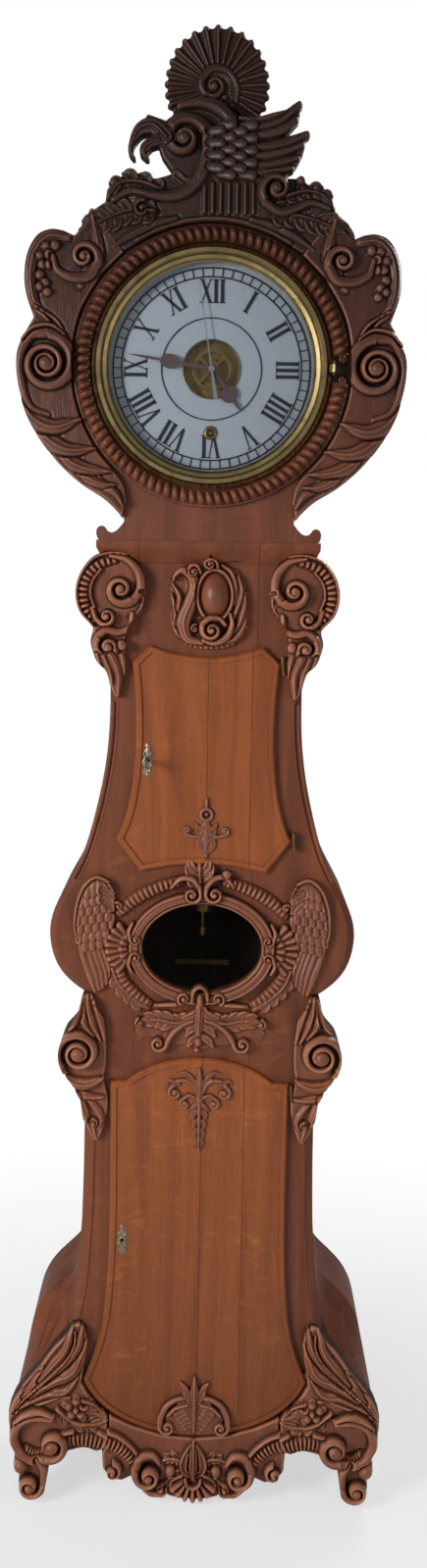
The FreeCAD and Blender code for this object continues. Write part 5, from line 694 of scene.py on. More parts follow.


# Light grain (a colour setting's name, or 0 to 255), dark grain, the dark of pores, joints, grime
# and painted shade, and the light of ray flecks, wear and painted highlight; then the rest.
# Each ramp is painted shade: the lower door darker towards its foot, the hood, its beads and its
# board darker towards the top, the back board and movement seat darker towards the front.
OAKS = {
    "case": ("case_oak", (86, 42, 24), (30, 14, 9), (176, 104, 64),
             {"seams": (-0.114, 0.084)}),
    "door": ("door_oak", (118, 58, 26), (44, 20, 10), (214, 132, 74),
             {"figure": 0.42, "gloss": 0.36, "seams": (0.004, 0.077),
              "fade": (0.75, 0.1, 0.36, 2)}),
    "carved": ("carved_oak", (98, 52, 34), (26, 13, 9), (214, 152, 122),
               {"figure": 0.1, "gloss": 0.32, "carved": 0.9}),
    "hood": ("hood_oak", (74, 39, 28), (14, 8, 6), (182, 124, 100),
             {"figure": 0.12, "gloss": 0.32, "carved": 1.0, "fade": (1.84, 2.14, 0.62, 2)}),
    # The beads: a brighter copy of the hood's oak, painted light.
    "bead": ((138, 84, 60), (102, 58, 42), (30, 16, 11), (200, 142, 116),
             {"figure": 0.15, "gloss": 0.3, "carved": 0.6, "fade": (1.86, 2.20, 0.6, 2)}),
    "hood_board": ((128, 70, 44), (88, 46, 30), (30, 17, 12), (160, 96, 64),
                   {"fade": (1.74, 1.92, 0.8, 2)}),
    # The crest: a darker copy of the hood's oak, painted shade where little light reaches the top.
    "crest": ((56, 33, 26), (34, 19, 15), (8, 5, 4), (118, 78, 62),
              {"figure": 0.08, "gloss": 0.36, "carved": 1.0}),
    "inner": ((104, 72, 48), (66, 44, 30), (10, 6, 5), (128, 92, 62),
              {"figure": 0.2, "gloss": 0.7, "fade": (0.1399, 0.1385, 0.9, 1)}),
}

# Name, bright and dull colour, roughness, how much tarnish roughens it; then any dark rings,
# painted reflection with some grime at each turned groove.
METALS = {
    # Old brass for the movement and pendulum, darkened further as painted shade for their place
    # inside the case; the eyelet shares it.
    "brass_old_shaded": ("brass_aged_shaded", (176, 146, 86), (96, 74, 40), 0.3),
    "hinge": ("hinge_brass", (112, 90, 56), (56, 42, 26), 0.4),
    "bronze": ("bronze_plate", (150, 138, 114), (58, 48, 36), 0.34),
    "iron": ("iron_dark", (112, 110, 108), (58, 50, 44), 0.36),
    "silver": ("silver_hand", (226, 228, 230), (150, 150, 150), 0.22, 0.2),
    "brass": ("brass_polished", (188, 166, 116), (92, 76, 46), 0.2, 0.3,
              ((168.5, 1.4), (176.0, 1.1), (187.5, 1.6))),
}

# Name, colour, stain, roughness; then how speckled it is and how finely.
PAINTS = {
    "hand": ("hand_lacquer", (112, 90, 88), (70, 54, 54), 0.3),
    "enamel": ("dial_enamel", (214, 221, 232), (190, 192, 196), 0.28, 0.3, 90.0),
    "ink": ("dial_black", (24, 26, 38), (46, 50, 62), 0.4),
}

FINISH = {}


def make_finishes(colours):
    """Every wood, metal, paint and glass that the clock needs."""
    for key, (light, *others, more) in OAKS.items():
        light = (*getattr(colours, light), 1.0) if isinstance(light, str) else tone(*light)
        FINISH[key] = oak(f"oak_{key}", light, *[tone(*c) for c in others], **more)
    for maker, rows in ((metal, METALS), (paint, PAINTS)):
        for key, (name, first, second, *more) in rows.items():
            FINISH[key] = maker(name, tone(*first), tone(*second), *more)
    FINISH["glass"] = pane("bezel_glass", (0.97, 0.98, 0.98, 1.0), 1.0)
    FINISH["window"] = pane("window_glass", (0.8, 0.79, 0.77, 1.0), 0.12)


FINISH_OF = {
    "case": "trunk_front trunk_side_left trunk_side_right base_side_left base_side_right "
            "waist_cornice",
    "door": "upper_door lower_door",
    "inner": "back_board movement_seat",
    "hood_board": "hood_front hood_shell",
    "carved": "apron cartouche window_frame window_spray wing_left wing_right console_left "
              "console_right scroll_ear_left scroll_ear_right knee_left knee_right "
              "upper_door_pendant lower_door_fleur",
    "hood": "gadroon_ring hood_carving_left hood_carving_right",
    "crest": "crest_shell crest_scrolls",
    "brass": "bezel_ring",
    "hinge": "case_hinges upper_door_hinges lower_door_hinges",
    "brass_old_shaded": "hour_wheel centre_wheel escape_wheel third_wheel intermediate_wheel "
                 "great_wheel minute_wheel movement_plates pendulum beat_scale "
                 "suspension_bracket",
    "bronze": "upper_escutcheon lower_escutcheon",
    "iron": "upper_key upper_bolt lower_bolt upper_lock_case lower_lock_case pallets",
    "silver": "seconds_hand",
    "hand": "hour_hand minute_hand",
    "enamel": "dial",
    "glass": "bezel_glass",
    "window": "window_glass",
}


class CLOCK_OT_finishes(bpy.types.Operator):
    """Woods, metals, enamel and glass on the frame's own nodes"""

    bl_idname = "clock.finishes"
    bl_label = "Finishes"

    def execute(self, context):
        make_finishes(context.scene.clock_colours)
        for key, names in FINISH_OF.items():
            for name in names.split():
                for slot in NODES[name].material_slots:
                    slot.material = FINISH[key]
        return {"FINISHED"}


# Half width of the trunk at each height, so that what overhangs it can reach back beside it.
TRUNK_EDGE = curve([(199, 600), (198, 700), (198, 921), (224, 940), (244, 964), (257, 1000),
                    (259, 1035), (249, 1072), (229, 1110), (203, 1165), (184, 1230), (172, 1285),
                    (163, 1350), (160, 1425), (162, 1510), (168, 1590), (172, 1652)], 4.0)

# Half width of the hood's board at each height, from the neck up to its crown.
HOOD_EDGE = curve([(141, 1689), (139, 1722), (148, 1755), (166, 1785), (192, 1820), (214, 1864),
                   (228, 1915), (232, 1966), (227, 2018), (206, 2073), (170, 2124), (120, 2165),
                   (62, 2190), (0, 2198)], 4.0)


def beside_trunk(x, z):
    """How far back a carving goes: into the front board, or down the trunk's side."""
    edge = np.interp(z, TRUNK_EDGE[:, 1], TRUNK_EDGE[:, 0])
    return np.where(np.abs(x) > edge + 1, 50.0, 99.0)


def beside_hood(x, z):
    """How far back a carving goes: onto the hood's board, or past its edge beside it."""
    edge = np.interp(z, HOOD_EDGE[:, 1], HOOD_EDGE[:, 0])
    return np.where(np.abs(x) > edge + 1, 100.0, 119.0)


def cut_window(c):
    """Oval frame: broken roll, ribbed shell bands, side palmettes, top scrolls and drop."""
    for sign in (-1, 1):
        c.shell(sign * 108, 1001, 10, 58, 122 if sign < 0 else 58, 236 if sign < 0 else -56, 8, 17)
        c.shell(sign * 108, 1001, 8, 36, 120 if sign < 0 else 60, 240 if sign < 0 else -60, 5, 20)
        upper = curve([(sign * 140, 1062), (sign * 122, 1080), (sign * 98, 1096), (sign * 70, 1109),
                       (sign * 40, 1118)])
        c.stroke(upper, [(0, 9), (0.3, 12.5), (1, 10)], (12, 18, 19), "soft", ribs=13, dent=0.4,
                 over=True, groove=1.2)
        c.snail(sign * 142, 1075, 10, 90 - 60 * sign, sign, 3.4, 17)
        lower = curve([(sign * 142, 968), (sign * 132, 944), (sign * 112, 922), (sign * 88, 906)])
        c.leaf([(sign * 152, 966), (sign * 140, 938), (sign * 116, 914), (sign * 92, 898)], 14, 13,
               5, 48, sides=(sign,))
        c.stroke(lower, [(0, 10), (0.6, 11), (1, 7)], (15, 13), "soft", ribs=9, dent=0.4)
    c.stroke(arc(0, 1003.5, 113, 0, 360, 87 / 113), 12.5, 19, "soft", over=True, groove=1.4)
    c.stroke(arc(0, 1003.5, 121, 0, 360, 95 / 121), 3.2, 22, "round")
    c.stroke(arc(0, 1003.5, 104.5, 0, 360, 79 / 104.5), 3.2, 16, "round", over=True, groove=1.0)
    for sign in (-1, 1):
        for z, side in ((1020, 1), (987, -1)):
            c.curl([(sign * 118, z + side * 26), (sign * 124, z + side * 12), (sign * 121, z)],
                   (sign * 112, z - side), 4.2, 24, -side * sign, first=0.7)
        c.curl([(sign * 78, 904), (sign * 54, 906), (sign * 34, 908)], (sign * 29, 918), 4.6, 23,
               sign, first=0.6)
    c.leaf([(-4, 1108), (-5, 1128), (-6, 1148)], (22, 30, 12), 26, 3, 52, plump=1.1)
    c.curl([(-54, 1108), (-38, 1124), (-18, 1124), (-5, 1110)], (-18, 1098), 5.5, 28, -1)
    c.curl([(52, 1112), (38, 1127), (19, 1125), (6, 1110)], (20, 1099), 5.5, 27, 1)
    c.dome(40, 1132, 8, 12, base=12, groove=1.2)
    c.stroke(curve([(-15, 914), (-13, 930), (-2, 938), (9, 930), (12, 914)]), 4, 27, "round",
             groove=1.0)
    c.dome(-1.5, 914, 7.5, 30, 1.8, groove=1.6)


def cut_cartouche(c):
    """Oval boss in a rim, with a sweeping leaf on its left and scrolls under it."""
    edge = curve([(4, 1661), (34, 1650), (58, 1632), (67, 1590), (68, 1550), (44, 1520), (6, 1511),
                  (-34, 1517), (-56, 1540), (-60, 1580), (-62, 1626), (-40, 1648), (-16, 1652),
                  (-6, 1661), (4, 1661)])
    c.slab(edge, 6)
    c.stroke(curve([(-40, 1519), (0, 1514), (34, 1518), (54, 1531), (66, 1552)]), 5, 11, "soft",
             ribs=14, dent=0.4)
    for points, wide in (([(20, 1520), (46, 1530), (60, 1552), (62, 1574)], 7),
                         ([(30, 1530), (50, 1548), (60, 1580), (62, 1606)], 7),
                         ([(40, 1556), (50, 1582), (56, 1608), (50, 1632)], 7),
                         ([(44, 1586), (46, 1612), (38, 1638), (22, 1650)], 6)):
        c.frond(points, (3, wide, 2), 20)
    for points, wide in (([(-16, 1520), (-44, 1534), (-56, 1556), (-60, 1576)], 6),
                         ([(-22, 1528), (-48, 1550), (-54, 1580), (-60, 1602)], 7),
                         ([(-28, 1546), (-46, 1574), (-47, 1598), (-58, 1618)], 7)):
        c.frond(points, (4, wide, 2), 21)
    c.frond([(-8, 1522), (-32, 1530), (-39, 1556), (-30, 1584), (-22, 1608), (-26, 1630),
             (-42, 1640), (-54, 1632), (-57, 1624)],
            [(0, 5), (0.3, 14), (0.6, 11), (0.85, 7), (1, 2)], 29)
    c.curl([(-12, 1636), (-18, 1648), (-28, 1648), (-32, 1640)], (-24, 1638), 3.4, 22, 1, first=0.9)
    c.stroke(arc(12, 1600, 29, 0, 360, 42 / 29), 4, 22, "round", over=True, groove=1.4)
    c.dome(12, 1600, 24.5, 29, 38 / 24.5, base=3, groove=1.2)
    c.lay([(-6, 1526), (14, 1522), (34, 1534), (41, 1554), (38, 1570)], (4, 7, 3), 27, "roll", 1.4)
    c.curl([(30, 1552), (20, 1562), (4, 1562), (-8, 1552)], (8, 1543), 6, 31, 1, first=0.6)
    c.snail(-20, 1545, 10, 60, 1, 3.6, 27)
    c.curl([(16, 1645), (13, 1655), (4, 1659), (-5, 1654)], (3, 1651), 3.2, 26, 1, first=0.9)
    c.trim(edge, 0.6)


def cut_ear(c):
    """Scroll ear: ribbed crescent, great and small volutes, and a hanging leaf."""
    outline = curve([(112, 1648), (132, 1664), (160, 1670), (190, 1660), (211, 1632), (218, 1600),
                     (211, 1570), (190, 1546), (193, 1520), (184, 1492), (166, 1472), (160, 1448),
                     (150, 1428), (140, 1440), (134, 1492), (134, 1530), (128, 1552), (110, 1570),
                     (103, 1592), (103, 1622)])
    c.slab(outline, 14)
    c.stroke(curve([(150, 1656), (178, 1648), (198, 1628), (205, 1602), (200, 1574), (182, 1554)]),
             [(0, 7), (0.3, 12), (0.7, 13), (1, 8)], (22, 27, 27), "soft", ribs=15, dent=0.4,
             over=True)
    c.curl([(190, 1576), (184, 1560), (174, 1551)], (166, 1563), 5.5, 30, -1, first=0.9, eye=0.26)
    c.stroke(curve([(134, 1665), (160, 1667), (188, 1658), (208, 1632), (215.5, 1602), (209, 1572),
                    (190, 1549)]), 3.2, (22, 31), "round", groove=0.8)
    c.stroke(curve([(176, 1640), (190, 1620), (193, 1598), (186, 1578)]), 2.6, 27, "round",
             groove=1.2)
    c.curl([(160, 1662), (134, 1656), (115, 1636), (111, 1610), (122, 1590)], (143, 1608), 8, 32, 1,
           first=0.5, low=0.7, eye=0.22)
    c.leaf([(110, 1606), (107, 1588), (114, 1572), (130, 1562)], [(0, 6), (0.6, 10), (1, 6)], 17, 3,
           50, sides=(-1,))
    c.curl([(124, 1568), (128, 1546), (146, 1537), (166, 1540), (180, 1530)], (163, 1513), 7.2, 31,
           -1, first=0.6, eye=0.24)
    c.dome(141, 1516, 8.5, 14, base=20, groove=1.4)
    c.frond([(182, 1500), (176, 1484), (170, 1470)], (6, 7, 2), 20)
    c.frond([(142, 1502), (138, 1484), (136, 1466)], (6, 7, 2), 19)
    c.frond([(170, 1496), (160, 1470), (156, 1448)], [(0, 8), (0.4, 9), (1, 2)], 21)
    c.frond([(158, 1498), (146, 1468), (147, 1432)], [(0, 9), (0.4, 8), (1, 3)], 23)
    c.trim(outline, 0.6)


def cut_pendant(c):
    """Pendant on the upper door: bud, ring, cup and a tulip with curled arms."""
    c.stroke([(4, 1262), (4, 1252), (4, 1246)], (2, 5, 3), 7, "round")
    c.stroke(arc(4, 1234, 9.5, 0, 360), 3.6, 7.5, "round")
    c.dome(4, 1234, 3.5, 6)
    c.stroke([(4, 1224), (4, 1216), (4, 1208)], [(0, 4), (0.6, 9), (1, 12)], 7, "veined")
    for sign in (-1, 1):
        c.curl([(4 + sign * 6, 1202), (4 + sign * 18, 1196), (4 + sign * 32, 1200)],
               (4 + sign * 31, 1207), 3.4, 7.5, sign, first=0.9)
        c.lay([(4 + sign * 4, 1208), (4 + sign * 14, 1212), (4 + sign * 18, 1220)],
              [(0, 4), (0.6, 4.4), (1, 1.5)], 7, "hollow", 0.7)
        c.lay([(4, 1168), (4 + sign * 12, 1180), (4 + sign * 11, 1196), (4 + sign * 17, 1206)],
              (3, 5.5, 2), 7, "hollow", 0.7)
    c.stroke([(4, 1206), (4, 1190), (4, 1172)], (3, 8, 3), 8, "veined", over=True, groove=0.7)
    c.dome(4, 1164, 4.4, 7)


def cut_husk(c):
    """Low palmette at the lower door's head, with a string of husks under it."""
    for sign in (-1, 1):
        c.curl([(sign * 2, 744), (sign * 14, 768), (sign * 34, 772), (sign * 48, 760)],
               (sign * 42, 750), 4.4, 8, -sign, first=0.7)
        c.curl([(0, 736), (sign * 16, 746), (sign * 28, 740)], (sign * 25, 731), 3.6, 7, -sign,
               first=0.7)
        for points, wide in (([(0, 750), (sign * 10, 770), (sign * 24, 786), (sign * 36, 784)], 5),
                             ([(sign * 34, 764), (sign * 50, 772), (sign * 56, 766)], 4),
                             ([(0, 738), (sign * 9, 726), (sign * 18, 718)], 4.5)):
            c.lay(points, [(0, 2.5), (0.6, wide), (1, 1.5)], (8, 6), "hollow", 0.6)
        for k in range(4):
            z = 712 - 16 * k
            w = 1 - 0.14 * k
            c.lay([(0, z + 6), (sign * 10 * w, z + 2), (sign * 9 * w, z - 11)],
                  [(0, 3), (0.6, 5.4 * w), (1, 1)], 7, "hollow", 0.6)
    c.stroke([(0, 744), (0, 768), (0, 794)], (4, 7.5, 2), 9, "veined", over=True, groove=0.8)
    c.stroke([(0, 730), (0, 700), (0, 654)], (4, 2), 8, "round")
    c.dome(0, 738, 7, 9)
    c.dome(0, 650, 3.6, 6)


def cut_fleur(c):
    """Fleur at the lower door's foot: two volutes under ribbed bands, with a bud between them."""
    c.slab(np.array([(-46, 132), (46, 132), (52, 160), (26, 188), (-26, 188), (-52, 160)]), 5)
    for sign in (-1, 1):
        c.stroke(curve([(sign * 8, 136), (sign * 16, 152), (sign * 26, 168), (sign * 22, 186)]),
                 [(0, 9), (0.6, 13), (1, 7)], 11, "hollow", ribs=7, dent=0.3)
        c.curl([(sign * 6, 192), (sign * 24, 196), (sign * 46, 184), (sign * 58, 162),
                (sign * 60, 144)], (sign * 47, 143), 6, 15, -sign, first=0.6)
        c.stroke(curve([(sign * 12, 184), (sign * 32, 178), (sign * 46, 164)]), 4, 13, "round",
                 groove=0.8)
        c.lay([(0, 178), (sign * 12, 198), (sign * 16, 214), (sign * 24, 224)],
              [(0, 3), (0.6, 7), (1, 2)], 13, "hollow", 0.9)
    c.stroke([(0, 180), (0, 208), (0, 236)], [(0, 4), (0.45, 9), (1, 2)], 17, "veined", over=True,
             groove=1.0)
    c.stroke([(0, 134), (0, 158), (0, 180)], [(0, 3), (0.6, 7), (1, 5)], 14, "veined", over=True,
             groove=0.9)


def cut_plate(c, x, z):
    """A keyhole plate: pierced scrollwork drawn as curls on a wavy ground."""
    side = curve([(0, 30), (4.5, 25), (3, 19), (9, 12), (6.5, 4), (9.8, -5), (5, -13), (7.5, -19),
                  (3, -26), (0, -30)])
    other = side[::-1] * (-1, 1)
    edge = np.vstack([side, other]) + (x, z)
    c.slab(edge, 1.1)
    for sign in (-1, 1):
        c.snail(x + sign * 5, z + 10, 4.4, 90, -sign, 1.2, 1.8)
        c.snail(x + sign * 5.2, z - 7, 4.4, -90, sign, 1.2, 1.8)
        c.snail(x + sign * 3.6, z - 18, 3.2, 90, -sign, 0.9, 1.7)
    c.stroke([(x, z + 8), (x, z + 22)], 1.4, 1.8, "round")
    c.dome(x, z + 23.5, 3.0, 1.9)
    c.dome(x, z - 24, 2.6, 1.8)
    c.stroke(arc(x, z, 4.8, 0, 360), 1.4, 1.9, "round", over=True)
    c.bore(x, z, 3.4)
    c.trim(edge, 0.2)


def cut_knee(c):
    """Knee: beaded acanthus over a C-scroll, a rosette, a ribbed arch and a foot volute."""
    outline = [(203, 333), (216, 327), (230, 306), (250, 284), (274, 249), (298, 220), (318, 190),
               (327, 156), (323, 120), (312, 98), (317, 76), (309, 52), (308, 22), (294, 2)]
    inner = [(274, 2), (264, 20), (259, 46), (256, 72), (234, 76), (222, 92), (192, 97), (166, 92),
             (152, 106)]
    edge = joined(outline, inner, [(152, 160), (178, 188), (198, 222)],
                  [(192, 262), (188, 296), (192, 322)])
    c.slab(edge, 18)
    c.stroke(curve([(250, 104), (222, 112), (194, 115), (170, 111), (150, 103)]), (11, 16, 15),
             (26, 28), "soft", ribs=14, dent=0.4, over=True)
    c.stroke(curve([(246, 124), (222, 133), (194, 137), (168, 134), (151, 126)]), 5.5, 33, "round",
             groove=1.0)
    c.leaf([(240, 176), (212, 152), (184, 146), (154, 152)], (10, 15, 8), 28, 4, 45)
    c.rosette(207, 176, 24, 33, 5, 5)
    c.leaf([(196, 190), (176, 182), (158, 164)], (8, 7), 24, 3, 45)
    for points, wide in (([(314, 166), (276, 186), (240, 198), (218, 196)], 10),
                         ([(306, 176), (262, 202), (226, 208), (205, 234)], 12),
                         ([(290, 196), (248, 226), (212, 246), (190, 300)], 15),
                         ([(262, 226), (232, 258), (206, 290), (197, 326)], 13),
                         ([(322, 166), (304, 194), (284, 214), (266, 250)], 11),
                         ([(300, 196), (276, 226), (252, 250), (236, 284)], 11),
                         ([(272, 226), (246, 258), (226, 286), (214, 326)], 11)):
        c.frond(points, [(0, wide * 0.5), (0.4, wide), (0.75, wide * 0.75), (1, 3)], 31)
    ridge = curve([(312, 176), (290, 202), (264, 226), (240, 250), (221, 272), (210, 296),
                   (210, 318)])
    c.stroke(ridge, (2, 3.2, 2), 30, "soft", over=True, groove=1.2)
    for k in range(22):
        at = ridge[int((0.2 + 0.66 * k / 22) * len(ridge))]
        c.dome(at[0], at[1], 2.8 - 0.05 * k, 3.0, base=29)
    c.lay([(246, 164), (272, 172), (300, 164), (314, 148)], (4, 10, 6), 38, "soft", 1.4)
    c.lay([(296, 100), (276, 90), (256, 92), (240, 104)], [(0, 9), (0.6, 12), (1, 9)], 33, "soft",
          1.0, ribs=11, dent=0.35)
    c.curl([(250, 156), (282, 158), (306, 146), (316, 122), (308, 98), (286, 82), (262, 84)],
           (249, 112), 10, 39, -1, first=0.5, eye=0.3)
    c.dome(304, 70, 13, 20, 1.1, base=20, groove=1.4)
    c.curl([(276, 82), (264, 62), (262, 40)], (287, 36), 8.5, 38, 1, first=0.7, eye=0.26)
    side = np.interp(c.z, [190, 200, 210, 220, 230, 240, 260, 280, 300, 320, 333],
                     [178, 184, 194, 198, 202, 200, 195, 191, 188, 189, 193])
    ceiling = np.clip(20 + c.x - side, 20, 32) + np.clip(214 - c.z, 0, 24)
    c.top = np.minimum(c.top, ceiling)
    c.trim(edge, 1.0)


def cut_apron(c):
    """Apron: ribbed arms, volutes, C-scrolls, a bud and a shell."""
    half = [(0, 120), (58, 126), (108, 141), (150.5, 161), (150.5, 107), (162, 91), (160, 58),
            (146, 40), (126, 37), (108, 46), (94, 30), (76, 22), (52, 20), (44, 10), (24, 5),
            (0, 4)]
    c.slab(doubled(half), 14)
    for sign in (-1, 1):
        c.stroke(curve([(sign * 160, 112), (sign * 140, 106), (sign * 122, 94), (sign * 106, 76)]),
                 (15, 16, 11), (28, 25), "soft", ribs=9, dent=0.4)
        c.stroke(curve([(sign * 150, 133), (sign * 132, 126), (sign * 112, 110), (sign * 97, 92)]),
                 5, 31, "round", groove=1.0)
        c.snail(sign * 142, 61, 22, 90, sign, 6.8, 30, eye=0.24)
        c.curl([(sign * 58, 76), (sign * 72, 92), (sign * 92, 88), (sign * 102, 68)],
               (sign * 79, 57), 8.6, 38, -sign, first=0.5, eye=0.24)
        c.curl([(sign * 92, 30), (sign * 76, 18), (sign * 58, 18)], (sign * 56, 30), 6, 28, -sign,
               first=0.7)
        c.leaf([(sign * 10, 70), (sign * 26, 82), (sign * 42, 84), (sign * 56, 78)], (6, 12, 6), 28,
               4, 48)
        c.dome(sign * 40, 62, 9, 16, 1.2, base=16, groove=1.4)
        c.leaf([(sign * 8, 60), (sign * 24, 54), (sign * 38, 42), (sign * 42, 24)], (6, 12, 7), 32,
               4, 46, over=True)
    c.shell(0, 54, 6, 49, 202, 338, 7, 36)
    c.stroke(arc(0, 50, 13, 180, 360), 4.5, 40, "round", over=True, groove=1.2)
    for sign in (-1, 1):
        c.lay([(0, 52), (sign * 16, 66), (sign * 15, 88), (sign * 5, 108)], (5, 8, 3), (38, 42, 34),
              "hollow", 1.6)
    c.stroke([(0, 116), (0, 98), (0, 74), (0, 54)], [(0, 3), (0.35, 9), (0.75, 9), (1, 5)],
             (28, 47, 46), "veined", over=True, groove=1.8)


def cut_wing(c):
    """Wing: scales at the shoulder, long feathers below."""
    outline = curve([(158, 1118), (180, 1126), (202, 1108), (214, 1074), (217, 1036), (211, 996),
                     (200, 964), (183, 926), (172, 928), (158, 946), (156, 985), (162, 1010),
                     (150, 1050), (148, 1090)])
    c.slab(outline, 7)
    for points in ([(172, 1004), (165, 985), (159, 968), (156, 950)],
                   [(180, 1010), (172, 982), (164, 956), (161, 938)],
                   [(190, 1014), (180, 984), (172, 956), (168, 932)],
                   [(200, 1018), (190, 986), (180, 954), (174, 929)],
                   [(210, 1022), (202, 988), (190, 954), (181, 926)]):
        c.feather(points, 6.6, 14)
    for row in range(7):
        z = 1008 + 15.5 * row
        left = np.interp(z, [1000, 1040, 1080, 1112], [166, 156, 158, 172])
        right = np.interp(z, [1000, 1040, 1080, 1112], [200, 211, 207, 194])
        count = round((right - left) / 12.5)
        for k in range(count + 1):
            share = (k + (0.25 if row % 2 else -0.25)) / count
            if -0.1 < share < 1.1:
                x = left + (right - left) * share
                c.scale(x, z - 10 * share, 7.0, 17, -92 + 8 * share, 15 + 0.6 * row)
    c.lay([(150, 1096), (156, 1112), (168, 1122), (184, 1124), (202, 1106), (213, 1074),
           (216, 1038), (212, 1014)], [(0, 4), (0.25, 6), (0.6, 5), (1, 2.5)],
          [(0, 17), (0.3, 20), (1, 13)], "soft", 1.0)
    c.snail(156, 1112, 9, 60, 1, 3.2, 18)
    for points in ([(168, 1102), (158, 1096), (149, 1086)],
                   [(166, 1086), (158, 1078), (150, 1066)]):
        c.lay(points, [(0, 7), (0.6, 6), (1, 2)], 17, "hollow", 1.2)
    c.trim(outline, 1.0)


def cut_console(c):
    """Console: a draped leaf over a great coil, with a twisting leaf below."""
    outline = curve([(186, 923), (200, 920), (205, 900), (213, 874), (232, 850), (240, 820),
                     (233, 790), (215, 762), (203, 738), (199, 712), (193, 684), (180, 662),
                     (170, 668), (160, 700), (156, 734), (163, 772), (160, 800), (160, 840),
                     (164, 874), (176, 896)])
    c.slab(outline, 13)
    c.frond([(188, 736), (176, 720), (168, 704), (171, 688)], (7, 9, 3), 24)
    c.frond([(206, 746), (200, 722), (192, 702), (182, 690)], (8, 11, 5), 26)
    c.frond([(186, 700), (181, 684), (177, 668)], (6, 5, 2), 20)
    c.snail(180, 696, 10, 60, 1, 3.4, 26)
    c.frond([(226, 766), (204, 748), (184, 742), (164, 742)], (6, 10, 3), 27)
    for points, wide, high in (([(186, 916), (176, 890), (168, 864), (163, 840)], 8, 24),
                               ([(193, 918), (190, 890), (182, 866), (170, 842)], 9, 27),
                               ([(200, 916), (202, 890), (196, 868), (182, 850)], 9, 29),
                               ([(202, 914), (208, 888), (216, 868), (226, 856)], 8, 28)):
        c.frond(points, (4, wide, 3), high)
    c.curl([(206, 744), (224, 764), (237, 792)], (207, 821), 8.5, 34, 1, first=0.8, eye=0.26)
    c.frond([(230, 778), (210, 766), (188, 766), (165, 776)], [(0, 6), (0.4, 13), (0.8, 9), (1, 3)],
            32)
    c.dome(180, 908, 7, 14, base=10, groove=1.2)
    c.trim(outline, 1.0)


def cut_spray(c):
    """Spray below the window: arching leaves that end in curls, over a palmette."""
    half = [(0, 900), (34, 890), (68, 887), (98, 872), (112, 856), (106, 842), (84, 846), (68, 842),
            (52, 832), (30, 832), (14, 826), (0, 824)]
    c.slab(doubled(half), 3)
    for sign in (-1, 1):
        c.leaf([(sign * 4, 884), (sign * 40, 873), (sign * 72, 878), (sign * 104, 876)],
               (10, 17, 9), 16, 6, 46, plump=0.95)
        c.snail(sign * 104, 872, 11.5, 90, -sign, 4, 17)
        c.curl([(sign * 2, 880), (sign * 26, 872), (sign * 46, 856), (sign * 57, 838)],
               (sign * 72, 837), 5.4, 18, sign, first=0.8)
        for tip in ((24, 850), (20, 832)):
            c.lay([(0, tip[1] + 18), (sign * tip[0] * 0.7, tip[1] + 10), (sign * tip[0], tip[1])],
                  [(0, 5), (0.6, 7), (1, 3)], 16, "hollow", 1.2)
        c.lay([(sign * 2, 902), (sign * 12, 888), (sign * 30, 882)], [(0, 5), (0.6, 6.5), (1, 3)],
              18, "hollow", 1.0)
    c.stroke([(-2, 902), (-3, 872), (-4, 850)], (7, 9, 5), 19.5, "veined", over=True, groove=1.4)
    c.dome(-4, 840, 8, 18, 1.3, groove=1.2)
    c.dome(-6, 826, 5, 15, groove=1.0)


def cut_cheek(c):
    """Cheek: eared top with berries, a great volute and a cascade of acanthus."""
    edge = joined([(142, 2143), (168, 2178), (194, 2211), (206, 2188), (222, 2168)],
                  [(240, 2176), (260, 2178), (281, 2169), (296, 2145), (302, 2115), (300, 2080),
                   (287, 2040)],
                  [(302, 2014), (311, 1985), (312, 1955), (307, 1920), (296, 1885), (276, 1848),
                   (246, 1810), (210, 1778), (172, 1754), (150, 1734), (141, 1722)],
                  [(134, 1752), (143, 1784), (187, 1837), (218, 1905), (225, 1975), (213, 2045),
                   (178, 2108)])
    c.slab(edge, 14)
    c.frond([(212, 2090), (196, 2118), (184, 2146), (193, 2196)], (8, 13, 5), 25)
    c.frond([(262, 2034), (284, 2062), (291, 2104), (283, 2142), (262, 2164), (232, 2162)],
            [(0, 6), (0.3, 10), (0.8, 11), (1, 7)], 27)
    for x, z, r in ((266, 2148, 8.5), (252, 2150, 8), (276, 2134, 8), (262, 2136, 8),
                    (272, 2120, 7.5), (276, 2104, 7.5), (262, 2120, 7), (268, 2092, 7.5),
                    (276, 2086, 7), (264, 2078, 7)):
        c.dome(x, z, r, 11, base=18, groove=1.0)
    c.curl([(256, 2134), (248, 2112), (224, 2101), (198, 2104), (184, 2124)], (206, 2133), 9.5, 29,
           -1, first=0.6, eye=0.22, rise=0.18)
    for k in range(3):
        c.lay([(284 - 9 * k, 2056 - 5 * k), (262 - 7 * k, 2044 - 6 * k),
               (244 - 4 * k, 2020 - 6 * k), (232 - 2 * k, 1990)], (3, 5.2, 3), 26 - 2 * k, "soft",
              1.0)
    lobes = (([(184, 1790), (168, 1774), (152, 1762), (140, 1742)], 9),
             ([(222, 1806), (196, 1786), (172, 1776), (152, 1776)], 11),
             ([(250, 1836), (226, 1812), (196, 1800), (160, 1797)], 14),
             ([(282, 1868), (258, 1844), (226, 1830), (186, 1834)], 16),
             ([(303, 1906), (286, 1880), (252, 1866), (208, 1880)], 17))
    for points, wide in lobes:
        c.frond(points, [(0, wide * 0.5), (0.4, wide), (0.75, wide * 0.7), (1, 2)], 29)
    c.curl([(262, 1886), (290, 1898), (304, 1930), (308, 1972), (292, 2008), (262, 2014)],
           (265, 1966), 9, 32, 1, first=0.6, low=0.6, eye=0.2, rise=0.15)
    c.lay([(236, 2012), (258, 2026), (286, 2022), (304, 2004)], [(0, 3), (0.6, 6), (1, 5)], 27,
          "soft", 1.2)
    c.trim(edge, 0.6)


